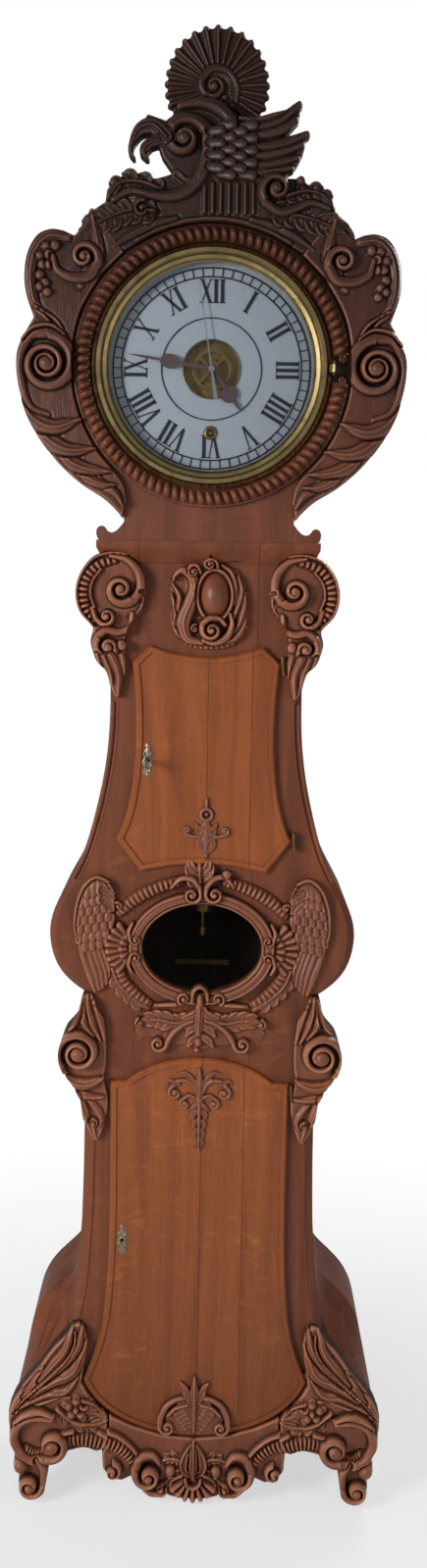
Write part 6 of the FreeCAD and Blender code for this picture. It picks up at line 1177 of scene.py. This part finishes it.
def cut_crest(c):
    """Crest: a coiled beast with a scaled wing, between leafy scrolls."""
    c.slab(joined([(-142, 2145), (-190, 2169), (-211, 2183), (-196, 2205), (-173, 2221)],
                  [(-171, 2240), (-152, 2258), (-128, 2261), (-114, 2268), (-98, 2258),
                   (-66, 2266)],
                  [(-84, 2290), (-90, 2312), (-80, 2344), (-54, 2362), (-20, 2372), (14, 2360)],
                  [(78, 2349), (104, 2361), (122, 2365), (135, 2379)],
                  [(133, 2352), (119, 2334), (104, 2324)], [(126, 2322), (147, 2331)],
                  [(140, 2300), (128, 2278), (111, 2262), (128, 2261), (141, 2248), (165, 2246),
                   (184, 2236), (193, 2213), (216, 2192), (225, 2169), (190, 2161), (142, 2145)],
                  [(75, 2183), (0, 2196), (-75, 2183)]), 11)
    for k in range(7):
        c.stroke([(-16 + 13 * k, 2250), (-16 + 13 * k, 2206)], 5.4, 17, "soft", groove=1.0)
    c.stroke(arc(0, 1966, 231, 58, 122), 5.5, 19, "round", over=True, groove=1.2)
    for sign, top in ((-1, 2200), (1, 2196)):
        c.frond([(sign * 60, 2196), (sign * 100, 2186), (sign * 134, 2168), (sign * 160, 2150)],
                (6, 11, 5), 21)
        c.leaf([(sign * 96, 2206), (sign * 136, top + 6), (sign * 174, 2192), (sign * 210, 2176)],
               (18, 24, 12), 26, 6, 50, plump=1.0, over=True)
    c.leaf([(-84, 2238), (-118, 2250), (-148, 2248), (-168, 2226)], (13, 17, 9), 27, 4, 50,
           plump=1.0, over=True)
    c.curl([(-160, 2222), (-132, 2236), (-96, 2230), (-56, 2232), (-26, 2256), (-12, 2294),
            (-12, 2328)], (-49, 2316), 11.5, 31, 1, first=0.5, low=0.75, eye=0.2, rise=0.18)
    c.stroke(curve([(-60, 2262), (-46, 2252), (-34, 2256)]), (9, 6), 24, "hollow", groove=1.2)
    c.snail(-114, 2208, 19, 70, 1, 6, 27)
    c.lay([(-56, 2366), (-22, 2372), (8, 2362), (28, 2338), (32, 2312)], (6, 12, 9), (26, 28),
          "roll", 1.4)
    feathers = (([(34, 2262), (64, 2258), (92, 2260), (110, 2264)], 8),
                ([(38, 2272), (72, 2268), (104, 2272), (121, 2276)], 8.5),
                ([(40, 2284), (76, 2280), (110, 2286), (130, 2292)], 9),
                ([(42, 2297), (78, 2294), (112, 2302), (137, 2312)], 9.5),
                ([(44, 2310), (80, 2308), (116, 2316), (145, 2329)], 9.5),
                ([(44, 2326), (74, 2326), (104, 2334), (126, 2350)], 10),
                ([(40, 2340), (70, 2338), (104, 2350), (132, 2374)], 9.5),
                ([(38, 2350), (62, 2348), (90, 2354), (112, 2362)], 6))
    for k, (points, wide) in enumerate(feathers):
        c.feather(points, wide, 21 + 2 * (k % 2))
    for column in range(4):
        for row in range(5 - column % 2):
            x = 60 - 17 * column
            z = 2262 + 19 * row + 9.5 * (column % 2)
            c.scale(x, z, 9.4, 17, -12 + 5 * row, 26 + 1.5 * column)
    c.leaf([(116, 2232), (146, 2240), (172, 2234), (189, 2216)], (10, 15, 8), 26, 4, 50, plump=1.0,
           over=True)
    c.curl([(182, 2214), (154, 2222), (128, 2212), (104, 2208), (80, 2222)], (99, 2242), 8.5, 29,
           -1, first=0.6, eye=0.24)
    c.dome(137, 2256, 8, 12, base=14, groove=1.0)
    c.lay([(-78, 2320), (-98, 2337), (-118, 2333), (-131, 2314), (-134, 2298), (-129, 2289)],
          [(0, 14), (0.4, 13), (0.75, 5), (1, 3)], (26, 22, 12), "veined", 1.4)
    c.stroke(curve([(-84, 2340), (-96, 2346), (-106, 2351)]), (8, 4), 18, "hollow")
    c.lay([(-88, 2316), (-106, 2310), (-113, 2298), (-108, 2289)], [(0, 8), (0.6, 9), (1, 4)], 19,
          "veined", 1.2)


def cut_crown(c):
    """Crown: a shell of flutes with scalloped ends round a small scroll."""
    ribs = 22
    rim = []
    for k in range(12 * ribs + 1):
        a = math.radians(-46 + 272 * k / (12 * ribs))
        far = (82 + 12 * max(0.0, math.sin(a)) ** 2) * (1 - 0.035 * abs(math.sin(math.pi * k / 12)))
        rim.append((2 + far * math.cos(a), 2402 + far * math.sin(a)))
    c.slab(np.array(rim), 7)
    for k in range(ribs + 1):
        a = math.radians(-46 + 272 * k / ribs)
        far = 79 + 12 * max(0.0, math.sin(a)) ** 2
        x, z = (math.cos(a), math.sin(a))
        c.stroke([(2 + 20 * x, 2402 + 20 * z), (2 + far * x, 2402 + far * z)], (2, 5.2), (8, 10),
                 "ridge", base=6)
    c.slab(arc(2, 2402, 32, 0, 354), 8)
    c.curl([(32, 2380), (33, 2404), (18, 2426), (-6, 2430), (-23, 2414)], (-3, 2403), 7.5, 18, 1,
           first=0.6, rise=0.05)
    for x, z in ((14, 2386), (25, 2374), (-14, 2380)):
        c.dome(x, z, 7, 16, groove=0.8)


class Tree:
    """A geometry tree in the making, run on a small mesh that it repeats."""

    def __init__(self, name):
        self.group = bpy.data.node_groups.new(name, "GeometryNodeTree")
        face = self.group.interface
        face.new_socket("Unit", in_out="INPUT", socket_type="NodeSocketGeometry")
        face.new_socket("Result", in_out="OUTPUT", socket_type="NodeSocketGeometry")
        self.inputs = self.group.nodes.new("NodeGroupInput")
        self.output = self.group.nodes.new("NodeGroupOutput")

    def value(self, name, kind="Float"):
        """A named input of the tree."""
        self.group.interface.new_socket(name, in_out="INPUT", socket_type=f"NodeSocket{kind}")
        return self.inputs.outputs[name]

    def node(self, kind, settings=None, sockets=None, out=0):
        made = self.group.nodes.new(kind)
        for key, value in (settings or {}).items():
            setattr(made, key, value)
        for key, value in (sockets or {}).items():
            if hasattr(value, "is_linked"):
                self.group.links.new(value, made.inputs[key])
            else:
                made.inputs[key].default_value = value
        return made.outputs[out]

    def math(self, operation, first, second=0.0, third=0.0):
        return self.node("ShaderNodeMath", {"operation": operation},
                         {0: first, 1: second, 2: third})

    def place(self, x=0.0, y=0.0, z=0.0):
        return self.node("ShaderNodeCombineXYZ", None, {0: x, 1: y, 2: z})

    def close(self, geometry):
        """Ends the tree with real geometry and one finish."""
        real = self.node("GeometryNodeRealizeInstances", None, {0: geometry})
        done = self.node("GeometryNodeSetMaterial", None,
                         {"Geometry": real, "Material": self.value("Finish", "Material")})
        self.group.links.new(done, self.output.inputs[0])
        return self.group


def ring_tree():
    """Repeats a unit round a circle: x outwards, y along the ring, z towards the viewer."""
    t = Tree("ring_of_units")
    count, radius = t.value("Count", "Int"), t.value("Radius")
    start, sweep = t.value("Start"), t.value("Sweep")
    uneven, seed = t.value("Uneven"), t.value("Seed", "Int")
    share = t.math("DIVIDE", t.node("GeometryNodeInputIndex"), count)
    angle = t.math("MULTIPLY_ADD", share, sweep, start)
    x = t.math("MULTIPLY", t.math("COSINE", angle), radius)
    y = t.math("MULTIPLY", t.math("SINE", angle), radius)
    points = t.node("GeometryNodePoints", None, {"Count": count, "Position": t.place(x, y)})
    size = t.node("FunctionNodeRandomValue", {"data_type": "FLOAT"},
                  {2: t.math("SUBTRACT", 1.0, uneven), 3: t.math("ADD", 1.0, uneven),
                   "Seed": seed}, 1)
    units = t.node("GeometryNodeInstanceOnPoints", None, {
        "Points": points, "Instance": t.inputs.outputs["Unit"], "Rotation": t.place(z=angle),
        "Scale": size})
    upright = t.node("GeometryNodeTransform", None,
                     {"Geometry": units, "Rotation": (math.pi / 2, 0.0, 0.0)})
    return t.close(upright)


def repeated(name, unit, tree, centre, finish, **values):
    """Runs a tree on a unit mesh and keeps the result as one plain mesh."""
    values["Finish"] = FINISH[finish]
    holder = bpy.data.objects.new(name + "_unit", unit)
    bpy.context.scene.collection.objects.link(holder)
    modifier = holder.modifiers.new("repeat", "NODES")
    modifier.node_group = tree
    for item in tree.interface.items_tree:
        if item.in_out == "INPUT" and item.name in values:
            modifier[item.identifier] = values[item.name]
    seen = holder.evaluated_get(bpy.context.evaluated_depsgraph_get())
    mesh = bpy.data.meshes.new_from_object(seen)
    bpy.data.objects.remove(holder)
    mesh.transform(Matrix.Translation(Vector(centre) * MM))
    mesh.name = name
    return finished(name, mesh, 50)


def mesh_of(name, points, faces):
    """A mesh from points in millimetres."""
    mesh = bpy.data.meshes.new(name)
    mesh.from_pydata([tuple(v * MM for v in p) for p in points], [], faces)
    return mesh


def outward(mesh):
    """The mesh with all faces pointing out."""
    shape = bmesh.new()
    shape.from_mesh(mesh)
    bmesh.ops.recalc_face_normals(shape, faces=shape.faces)
    shape.to_mesh(mesh)
    shape.free()
    return mesh


def bands(rows, count, closed):
    """The faces between rows of count points, with both ends filled unless it closes."""
    faces = []
    for i in range(rows if closed else rows - 1):
        a, b = i * count, (i + 1) % rows * count
        for k in range(count):
            m = (k + 1) % count
            faces.append((a + k, a + m, b + m, b + k))
    if not closed:
        faces.append(tuple(reversed(range(count))))
        faces.append(tuple((rows - 1) * count + k for k in range(count)))
    return faces


def lump(radial, round_, rise, lean):
    """A bead in millimetres: an egg that leans along the ring, with its foot sunk."""
    rings, sides, sunk = 7, 12, 0.35
    points, faces = [(0.0, 0.0, rise)], []
    for i in range(1, rings + 1):
        a = math.pi / 2 * (1 - i / rings * (1 + sunk))
        for k in range(sides):
            b = 2 * math.pi * k / sides
            x = radial * math.cos(a) * math.cos(b)
            y = round_ * math.cos(a) * math.sin(b) + lean * x
            points.append((x, y, rise * math.sin(a)))
    for k in range(sides):
        faces.append((0, 1 + k, 1 + (k + 1) % sides))
    for i in range(rings - 1):
        for k in range(sides):
            a, b = 1 + i * sides + k, 1 + i * sides + (k + 1) % sides
            faces.append((a, a + sides, b + sides, b))
    faces.append(tuple(1 + (rings - 1) * sides + k for k in reversed(range(sides))))
    return mesh_of("unit", points, faces)


def block(wide, deep, tall):
    """A small box in millimetres, centred, with its foot at zero."""
    points = [(x * wide / 2, y * deep / 2, z * tall) for z in (0, 1) for y in (-1, 1)
              for x in (-1, 1)]
    return mesh_of("unit", points, [(0, 2, 3, 1), (4, 5, 7, 6), (0, 1, 5, 4), (2, 6, 7, 3),
                                    (0, 4, 6, 2), (1, 3, 7, 5)])


def turned(name, profile, up=0.0, start=0.0, sweep=360.0, steps=128):
    """A ring swept round the dial's axis, or up from it, from a (radius, depth) profile."""
    whole = abs(sweep) >= 360
    rows = steps if whole else steps + 1
    points = []
    for i in range(rows):
        a = math.radians(start + sweep * i / steps)
        points.extend((radius * math.cos(a), -depth, DIAL_Z + up + radius * math.sin(a))
                      for radius, depth in profile)
    return finished(name, outward(mesh_of(name, points, bands(rows, len(profile), whole))), 40)


def tube(name, path, radius, depth):
    """A rounded bead along a line on the front, set half into it."""
    sides, squeeze = 10, 0.6
    line = np.asarray(path, float)
    ahead = np.roll(line, -1, 0) - np.roll(line, 1, 0)
    ahead[0], ahead[-1] = line[1] - line[0], line[-1] - line[-2]
    ahead /= np.hypot(*ahead.T)[:, None]
    points = []
    for spot, across in zip(line, np.c_[-ahead[:, 1], ahead[:, 0]]):
        for i in range(sides):
            a = math.pi * 2 * i / sides
            x, z = spot + across * radius * math.cos(a)
            out = radius * squeeze * math.sin(a) * (1 if math.sin(a) > 0 else 0.4)
            points.append((x, -(depth + out), z))
    return finished(name, outward(mesh_of(name, points, bands(len(line), sides, False))), 60)


NUMERALS = ("XII", "I", "II", "III", "IIII", "V", "VI", "VII", "VIII", "IX", "X", "XI")
INNER = 105
WHOLE, FOOT, HEAD = (0, 37.5), (0, 1.6), (35.9, 37.5)

# Each letter's width and its bars, in millimetres: from and to which height, then how far its
# corners lie from the letter's middle: left and right below, right and left above.
LETTERS = {
    "I": (10.5, [(WHOLE, -2.8, 2.8, 2.8, -2.8), (FOOT, -4.6, 4.6, 4.6, -4.6),
                 (HEAD, -4.6, 4.6, 4.6, -4.6)]),
    "V": (21.0, [(WHOLE, -1.8, 2.4, -5.6, -10.2), (WHOLE, -0.6, 1.4, 8.2, 6.6),
                 (HEAD, -12, -3.6, -3.6, -12), (HEAD, 3.8, 10.6, 10.6, 3.8)]),
    "X": (21.0, [(WHOLE, 4.4, 9.2, -4.6, -9.4), (WHOLE, -8.2, -6.4, 8.0, 6.2),
                 (FOOT, -11, -4.4, -4.4, -11), (FOOT, 3.2, 11, 11, 3.2),
                 (HEAD, -11, -3, -3, -11), (HEAD, 4.2, 10.4, 10.4, 4.2)]),
}


def numeral_mesh(front):
    """All twelve numerals as thin plates whose feet point to the dial's middle."""
    points, faces = [], []
    for hour, word in enumerate(NUMERALS):
        at = -sum(LETTERS[letter][0] for letter in word) / 2
        turn = math.radians(90 - 30 * hour)
        for letter in word:
            wide, bars = LETTERS[letter]
            middle = at + wide / 2
            at += wide
            for (low, high), *offsets in bars:
                corners = []
                for off, up in zip(offsets, (low, low, high, high)):
                    x, radius = middle + off, INNER + up
                    corners.append((x * math.sin(turn) + radius * math.cos(turn),
                                    -x * math.cos(turn) + radius * math.sin(turn)))
                first = len(points)
                for depth in (DIAL_FACE - 0.1, front):
                    points.extend((x, -depth, DIAL_Z + z) for x, z in corners)
                faces.append(tuple(range(first, first + 4)))
                faces.append(tuple(first + 4 + k for k in (3, 2, 1, 0)))
                for k in range(4):
                    m = (k + 1) % 4
                    faces.append((first + k, first + 4 + k, first + 4 + m, first + m))
    return outward(mesh_of("hour_numerals", points, faces))


def carving(context, draw, box, name, ground, back, body, finish, node=None, both=False):
    """Cuts one ornament, or a pair of them, in its box of millimetres."""
    settings = context.scene.clock_carving
    c = Carving(*box, settings.pitch)
    draw(c)
    c.top *= settings.bold
    for end, mirrored in (("_right", False), ("_left", True)) if both else (("", False),):
        nodes = [node + end] if node else []
        settle(c.build(name + end, ground, back, mirrored), body, finish, *nodes)


class Cutter:
    """What the carving's operators share: each one cuts its rows."""

    def execute(self, context):
        for row in self.rows:
            carving(context, *row)
        return {"FINISHED"}


class CLOCK_OT_window(Cutter, bpy.types.Operator):
    """The oval window's carved frame"""

    bl_idname = "clock.window"
    bl_label = "Window frame"
    rows = [(cut_window, (-166, 890, 166, 1150), "oval_frame", TRUNK_FACE, TRUNK_FACE - 0.5,
             "case", "carved", "window_frame")]


class CLOCK_OT_frieze(Cutter, bpy.types.Operator):
    """The frieze's cartouche and the scroll ears beside it"""

    bl_idname = "clock.frieze"
    bl_label = "Frieze"
    rows = [(cut_cartouche, (-66, 1506, 74, 1668), "boss_and_leaves", TRUNK_FACE,
             TRUNK_FACE - 0.5, "case", "carved", "cartouche"),
            (cut_ear, (98, 1424, 218, 1670), "frieze_ear", TRUNK_FACE, beside_trunk,
             "case", "carved", "scroll_ear", True)]


class CLOCK_OT_waist(Cutter, bpy.types.Operator):
    """Wings beside the window, the spray under it and the consoles"""

    bl_idname = "clock.waist"
    bl_label = "Waist carving"
    rows = [(cut_wing, (144, 922, 220, 1130), "feathered_wing", TRUNK_FACE, TRUNK_FACE - 0.5,
             "case", "carved", "wing", True),
            (cut_spray, (-116, 820, 116, 904), "leaf_spray", TRUNK_FACE, TRUNK_FACE - 0.5,
             "case", "carved", "window_spray"),
            (cut_console, (150, 656, 242, 926), "scroll_console", TRUNK_FACE, beside_trunk,
             "case", "carved", "console", True)]


class CLOCK_OT_foot(Cutter, bpy.types.Operator):
    """The knees at the corners and the apron between them"""

    bl_idname = "clock.foot"
    bl_label = "Knees and apron"
    rows = [(cut_knee, (144, 0, 330, 336), "acanthus_knee", TRUNK_FACE, BASE_FACE,
             "case", "carved", "knee", True),
            (cut_apron, (-166, 2, 166, 163), "shell_apron", TRUNK_FACE, BASE_FACE,
             "case", "carved", "apron")]


class CLOCK_OT_hood(Cutter, bpy.types.Operator):
    """The hood's cheeks, the crest over the dial and the crown"""

    bl_idname = "clock.hood"
    bl_label = "Hood carving"
    rows = [(cut_cheek, (130, 1720, 314, 2214), "acanthus_cheek", HOOD_FACE, beside_hood,
             "hood", "hood", "hood_carving", True),
            (cut_crest, (-214, 2141, 228, 2382), "beast_crest", HOOD_FACE, beside_hood,
             "hood", "crest", "crest_scrolls"),
            (cut_crown, (-84, 2330, 90, 2498), "shell_crown", TRUNK_FACE + 3, TRUNK_FACE,
             "hood", "crest", "crest_shell")]


class CLOCK_OT_doors(Cutter, bpy.types.Operator):
    """The ornaments on both doors"""

    bl_idname = "clock.doors"
    bl_label = "Door ornaments"
    rows = [(cut_pendant, (-38, 1158, 46, 1263), "tulip_pendant", DOOR_FACE, DOOR_FACE - 0.4,
             "upper_door", "carved", "upper_door_pendant"),
            (cut_fleur, (-62, 130, 62, 240), "volute_fleur", DOOR_FACE, DOOR_FACE - 0.4,
             "lower_door", "carved", "lower_door_fleur"),
            (cut_husk, (-58, 642, 58, 798), "husk_string", DOOR_FACE, DOOR_FACE - 0.4,
             "lower_door", "carved")]


class CLOCK_OT_plates(bpy.types.Operator):
    """The keyhole plates on both doors"""

    bl_idname = "clock.plates"
    bl_label = "Keyhole plates"

    def execute(self, context):
        for door, x, z in (("upper", -96, 1324), ("lower", -130, 482)):
            c = Carving(x - 10.1, z - 30.4, x + 10.1, z + 30.4, 0.6)
            cut_plate(c, x, z)
            plate = c.build(f"{door}_keyhole_plate", DOOR_FACE, DOOR_FACE - 0.2, fill=0.3)
            settle(plate, f"{door}_door", "bronze", f"{door}_escutcheon")
        return {"FINISHED"}


class CLOCK_OT_gadroons(bpy.types.Operator):
    """The ring of twisted beads round the dial, with its leaf break and roll"""

    bl_idname = "clock.gadroons"
    bl_label = "Beaded ring"

    def execute(self, context):
        profile = [(195.3, 119.6), (195.3, 127), (197, 130), (199, 129), (200.5, 131),
                   (216.5, 131), (218, 129), (220.5, 130.5), (223, 129), (224, 125),
                   (224, 119.6)]
        bed = turned("bead_bed", profile, 0, BEAD_BREAK, 360 - 2 * BEAD_BREAK)
        settle(bed, "hood", "hood", "gadroon_ring")
        bead = lump(radial=12.4, round_=7.8, rise=23.5, lean=0.22)
        beads = repeated("twisted_beads", bead, ring_tree(), (0, -122.0, DIAL_Z), "bead",
                         Count=context.scene.clock_carving.beads, Radius=208.4 * MM,
                         Start=math.radians(BEAD_BREAK + 2.2),
                         Sweep=math.radians(360 - 2 * BEAD_BREAK - 1.6), Uneven=0.045, Seed=11)
        settle(beads, "hood", "bead")
        for sign in (-1, 1):
            a = math.radians(sign * BEAD_BREAK * 0.7)
            x, z = 213 * math.cos(a), DIAL_Z + 213 * math.sin(a)
            c = Carving(x - 12, z - 16, x + 12, z + 16, 0.9)
            c.leaf([(x, z - sign * 4), (x - 1, z + sign * 9)], (8, 6), 14, 3, 50, plump=0.7)
            piece = c.build("break_leaf_" + ("high" if sign > 0 else "low"), HOOD_FACE,
                            HOOD_FACE - 0.4)
            settle(piece, "hood", "hood")
        return {"FINISHED"}


class CLOCK_OT_dial(bpy.types.Operator):
    """The dial's numerals, its minute track, rings and winding eyelet"""

    bl_idname = "clock.dial"
    bl_label = "Dial"

    def execute(self, context):
        back, front = DIAL_FACE - 0.1, DIAL_FACE + 0.25
        settle(finished("hour_numerals", numeral_mesh(front), 30), "case", "ink")
        for name, inner, outer in (("track_inner", 145.0, 147.4), ("track_outer", 159.0, 161.6),
                                   ("middle_circle", 80.4, 82.4)):
            profile = [(inner, back), (outer, back), (outer, front), (inner, front)]
            settle(turned(name, profile), "case", "ink")
        ticks = repeated("minute_ticks", block(13.2, 1.8, 0.3), ring_tree(),
                         (0, -DIAL_FACE, DIAL_Z), "ink", Count=60, Radius=153.4 * MM, Start=0.0,
                         Sweep=2 * math.pi, Uneven=0.0, Seed=1)
        settle(ticks, "case", "ink")
        profile = [(6.7, -1), (6.7, 2.2), (7.6, 3), (9.8, 2.4), (11.4, 1), (11.4, 0)]
        eyelet = turned("winding_eyelet", [(r, DIAL_FACE + out) for r, out in profile], -102,
                        steps=48)
        settle(eyelet, "case", "brass_old_shaded")
        profile = [(45.8, -2.9), (45.8, 0.9), (46.6, 1.3), (47.8, 0.9), (48.2, 0)]
        hem = turned("dial_hole_hem", [(r, DIAL_FACE + out) for r, out in profile], steps=96)
        settle(hem, "case", "bronze")
        return {"FINISHED"}


class CLOCK_OT_mouldings(bpy.types.Operator):
    """Rounded mouldings on the trunk's edge, under the cornice and round the neck"""

    bl_idname = "clock.mouldings"
    bl_label = "Mouldings"

    def execute(self, context):
        beads = []
        for sign, side in ((-1, "left"), (1, "right")):
            waist = np.array([(x, z) for x, z in TRUNK_EDGE if 1118 < z < 1424]) * (sign, 1)
            low = curve([(204, 340), (200, 358), (195, 390), (191.5, 422), (189, 455),
                         (185, 520), (183.5, 570), (182.6, 620), (182, 664)])
            haunch = curve([(258, 344), (262, 320), (270, 296), (280, 262)])
            beads += [
                (f"waist_bead_outer_{side}", waist - (sign * 4.6, 0), 3.8, TRUNK_FACE),
                (f"waist_bead_inner_{side}", waist - (sign * 13.5, 0), 1.6, TRUNK_FACE),
                (f"low_bead_{side}", low * (sign, 1), 3.4, TRUNK_FACE),
                (f"haunch_line_{side}", haunch * (sign, 1), 1.6, BASE_FACE)]
        for name, z, radius, depth, half in (("crown", 1684, 3.0, 121.0, 182),
                                             ("foot", 1655, 2.4, 100.6, 172)):
            beads.append((f"cornice_bead_{name}", [(-half, z), (0, z), (half, z)], radius,
                          depth - radius * 0.6))
        for bead in beads:
            settle(tube(*bead), "case", "case")
        return {"FINISHED"}


def a_number(name, description, default, **more):
    return bpy.props.FloatProperty(name=name, description=description, default=default, **more)


def a_colour(name, description, *shade):
    return bpy.props.FloatVectorProperty(name=name, description=description, subtype="COLOR",
                                         default=tone(*shade)[:3], min=0, max=1)


class ClockCarving(bpy.types.PropertyGroup):
    """How finely and how boldly the carving is cut."""

    pitch: a_number("Grid pitch", "Spacing of the carved surface's points, in millimetres", 1.2,
                    min=0.8, max=4.0)
    bold: a_number("Boldness", "Height of the carving over its ground, as a share", 1.0,
                   min=0.4, max=1.0, subtype="FACTOR")
    beads: bpy.props.IntProperty(
        name="Beads", description="Twisted beads round the dial", default=90, min=24, max=160)


class ClockColours(bpy.types.PropertyGroup):
    """The wood's colours, in linear terms."""

    case_oak: a_colour("Case oak", "Light grain of the case", 146, 78, 44)
    door_oak: a_colour("Door oak", "Light grain of the doors", 176, 98, 48)
    carved_oak: a_colour("Carved oak", "Light grain of the trunk's carving", 146, 84, 56)
    hood_oak: a_colour("Hood oak", "Light grain of the hood", 118, 70, 50)


class ClockStage(bpy.types.PropertyGroup):
    """Camera and light."""

    lens: a_number("Lens", "Focal length over a 36 mm sensor", 38.2, unit="CAMERA")
    eye_tall: a_number("Eye height", "Height of the camera", 1.650, unit="LENGTH")
    away: a_number("Distance", "Camera to the middle of the case", 2.876, unit="LENGTH")
    pitch: a_number("Pitch", "How far the camera looks down", math.radians(7.5), subtype="ANGLE")
    roll: a_number("Roll", "How far the camera leans", math.radians(1.0), subtype="ANGLE")
    key_power: a_number("Key light", "Power of the soft light on the left", 94.0, unit="POWER")


def lay_floor(context):
    """A pale floor that fades into the white ground away from the clock."""
    mesh = bpy.data.meshes.new("floor")
    mesh.from_pydata([(-6, -5, 0), (6, -5, 0), (6, 6, 0), (-6, 6, 0)], [], [(0, 1, 2, 3)])
    floor = bpy.data.objects.new("floor", mesh)
    context.scene.collection.objects.link(floor)
    f = Finish("pale_floor", Roughness=0.9)
    cloud = f.noise(f.place, 1.4, 3.0)
    f.feed("Base Color", f.mix(cloud * 0.2, tone(238, 238, 238), tone(228, 228, 228)))
    seen = f.node("ShaderNodeLightPath", out="Is Camera Ray")
    away = f.vector("LENGTH", f.place, out="Value")
    white = 0.62 + ((away - 0.5) / 1.2).held() * 0.38
    glow = f.node("ShaderNodeEmission", None, {"Color": (1.0, 1.0, 1.0, 1.0), "Strength": 1.0})
    plain = Wire(f, f.shader.outputs[0])
    f.surface(f.node("ShaderNodeMixShader", None, {0: seen * white, 1: plain, 2: glow}))
    mesh.materials.append(f.material)
    floor.location.z = -0.0005


def set_world(context):
    """Dim light from all round, in front of plain white."""
    world = bpy.data.worlds.new("studio")
    context.scene.world = world
    world.use_nodes = True
    tree = world.node_tree
    tree.nodes.clear()
    path, light, white, seen, choice, output = (tree.nodes.new(f"ShaderNode{kind}") for kind in (
        "LightPath", "Background", "Background", "Math", "MixShader", "OutputWorld"))
    light.inputs[0].default_value = (0.94, 0.96, 1.0, 1.0)
    light.inputs[1].default_value = 0.2
    white.inputs[0].default_value = (1.0, 1.0, 1.0, 1.0)
    seen.operation = "MAXIMUM"
    for source, target in ((path.outputs["Is Camera Ray"], seen.inputs[0]),
                           (path.outputs["Is Transmission Ray"], seen.inputs[1]),
                           (seen.outputs[0], choice.inputs[0]),
                           (light.outputs[0], choice.inputs[1]),
                           (white.outputs[0], choice.inputs[2]),
                           (choice.outputs[0], output.inputs[0])):
        tree.links.new(source, target)


class CLOCK_OT_stage(bpy.types.Operator):
    """Floor, soft light and the camera"""

    bl_idname = "clock.stage"
    bl_label = "Stage"

    def execute(self, context):
        settings = context.scene.clock_stage
        lay_floor(context)
        set_world(context)
        for name, spot, aim, size, share in (
                ("key", (-2.3, -2.5, 1.9), (0, -0.1, 1.0), 1.1, 1.0),
                ("fill", (2.4, -2.6, 1.2), (0, 0, 0.9), 2.4, 0.22),
                ("rim", (1.2, 2.2, 3.0), (0, 0, 1.5), 1.4, 0.4)):
            lamp = bpy.data.lights.new(name, "AREA")
            lamp.size = size
            lamp.energy = settings.key_power * share
            holder = bpy.data.objects.new(name, lamp)
            holder.location = spot
            way = (Vector(aim) - Vector(spot)).to_track_quat("-Z", "Y")
            holder.rotation_euler = way.to_euler()
            context.scene.collection.objects.link(holder)
        eye = bpy.data.cameras.new("camera")
        eye.lens = settings.lens
        eye.sensor_width = 36
        holder = bpy.data.objects.new("camera", eye)
        holder.location = (0.015, -settings.away, settings.eye_tall)
        tilt = Matrix.Rotation(math.pi / 2 - settings.pitch, 4, "X")
        holder.rotation_euler = (tilt @ Matrix.Rotation(settings.roll, 4, "Z")).to_euler()
        context.scene.collection.objects.link(holder)
        context.scene.camera = holder
        context.scene.view_settings.view_transform = "Standard"
        return {"FINISHED"}


OPERATORS = (CLOCK_OT_finishes, CLOCK_OT_window, CLOCK_OT_frieze, CLOCK_OT_waist, CLOCK_OT_foot,
             CLOCK_OT_doors, CLOCK_OT_plates, CLOCK_OT_hood, CLOCK_OT_gadroons, CLOCK_OT_dial,
             CLOCK_OT_mouldings, CLOCK_OT_stage)


class CLOCK_PT_panel(bpy.types.Panel):
    """The clock's pieces and settings"""

    bl_idname = "CLOCK_PT_panel"
    bl_label = "Longcase clock"
    bl_space_type = "VIEW_3D"
    bl_region_type = "UI"
    bl_category = "Clock"

    def draw(self, context):
        for group in (context.scene.clock_carving, context.scene.clock_colours,
                      context.scene.clock_stage):
            for key in group.bl_rna.properties.keys():
                if key not in ("rna_type", "name"):
                    self.layout.prop(group, key)
        for operator in OPERATORS:
            self.layout.operator(operator.bl_idname)


GROUPS = {"clock_carving": ClockCarving, "clock_colours": ClockColours, "clock_stage": ClockStage}


def register():
    for kind in (*GROUPS.values(), *OPERATORS, CLOCK_PT_panel):
        bpy.utils.register_class(kind)
    for key, kind in GROUPS.items():
        setattr(bpy.types.Scene, key, bpy.props.PointerProperty(type=kind))


def unregister():
    for key in GROUPS:
        delattr(bpy.types.Scene, key)
    for kind in (CLOCK_PT_panel, *reversed(OPERATORS), *GROUPS.values()):
        bpy.utils.unregister_class(kind)


def main():
    """Makes every group in order."""
    register()
    for operator in OPERATORS:
        group, name = operator.bl_idname.split(".")
        getattr(getattr(bpy.ops, group), name)()


if __name__ == "__main__":
    main()
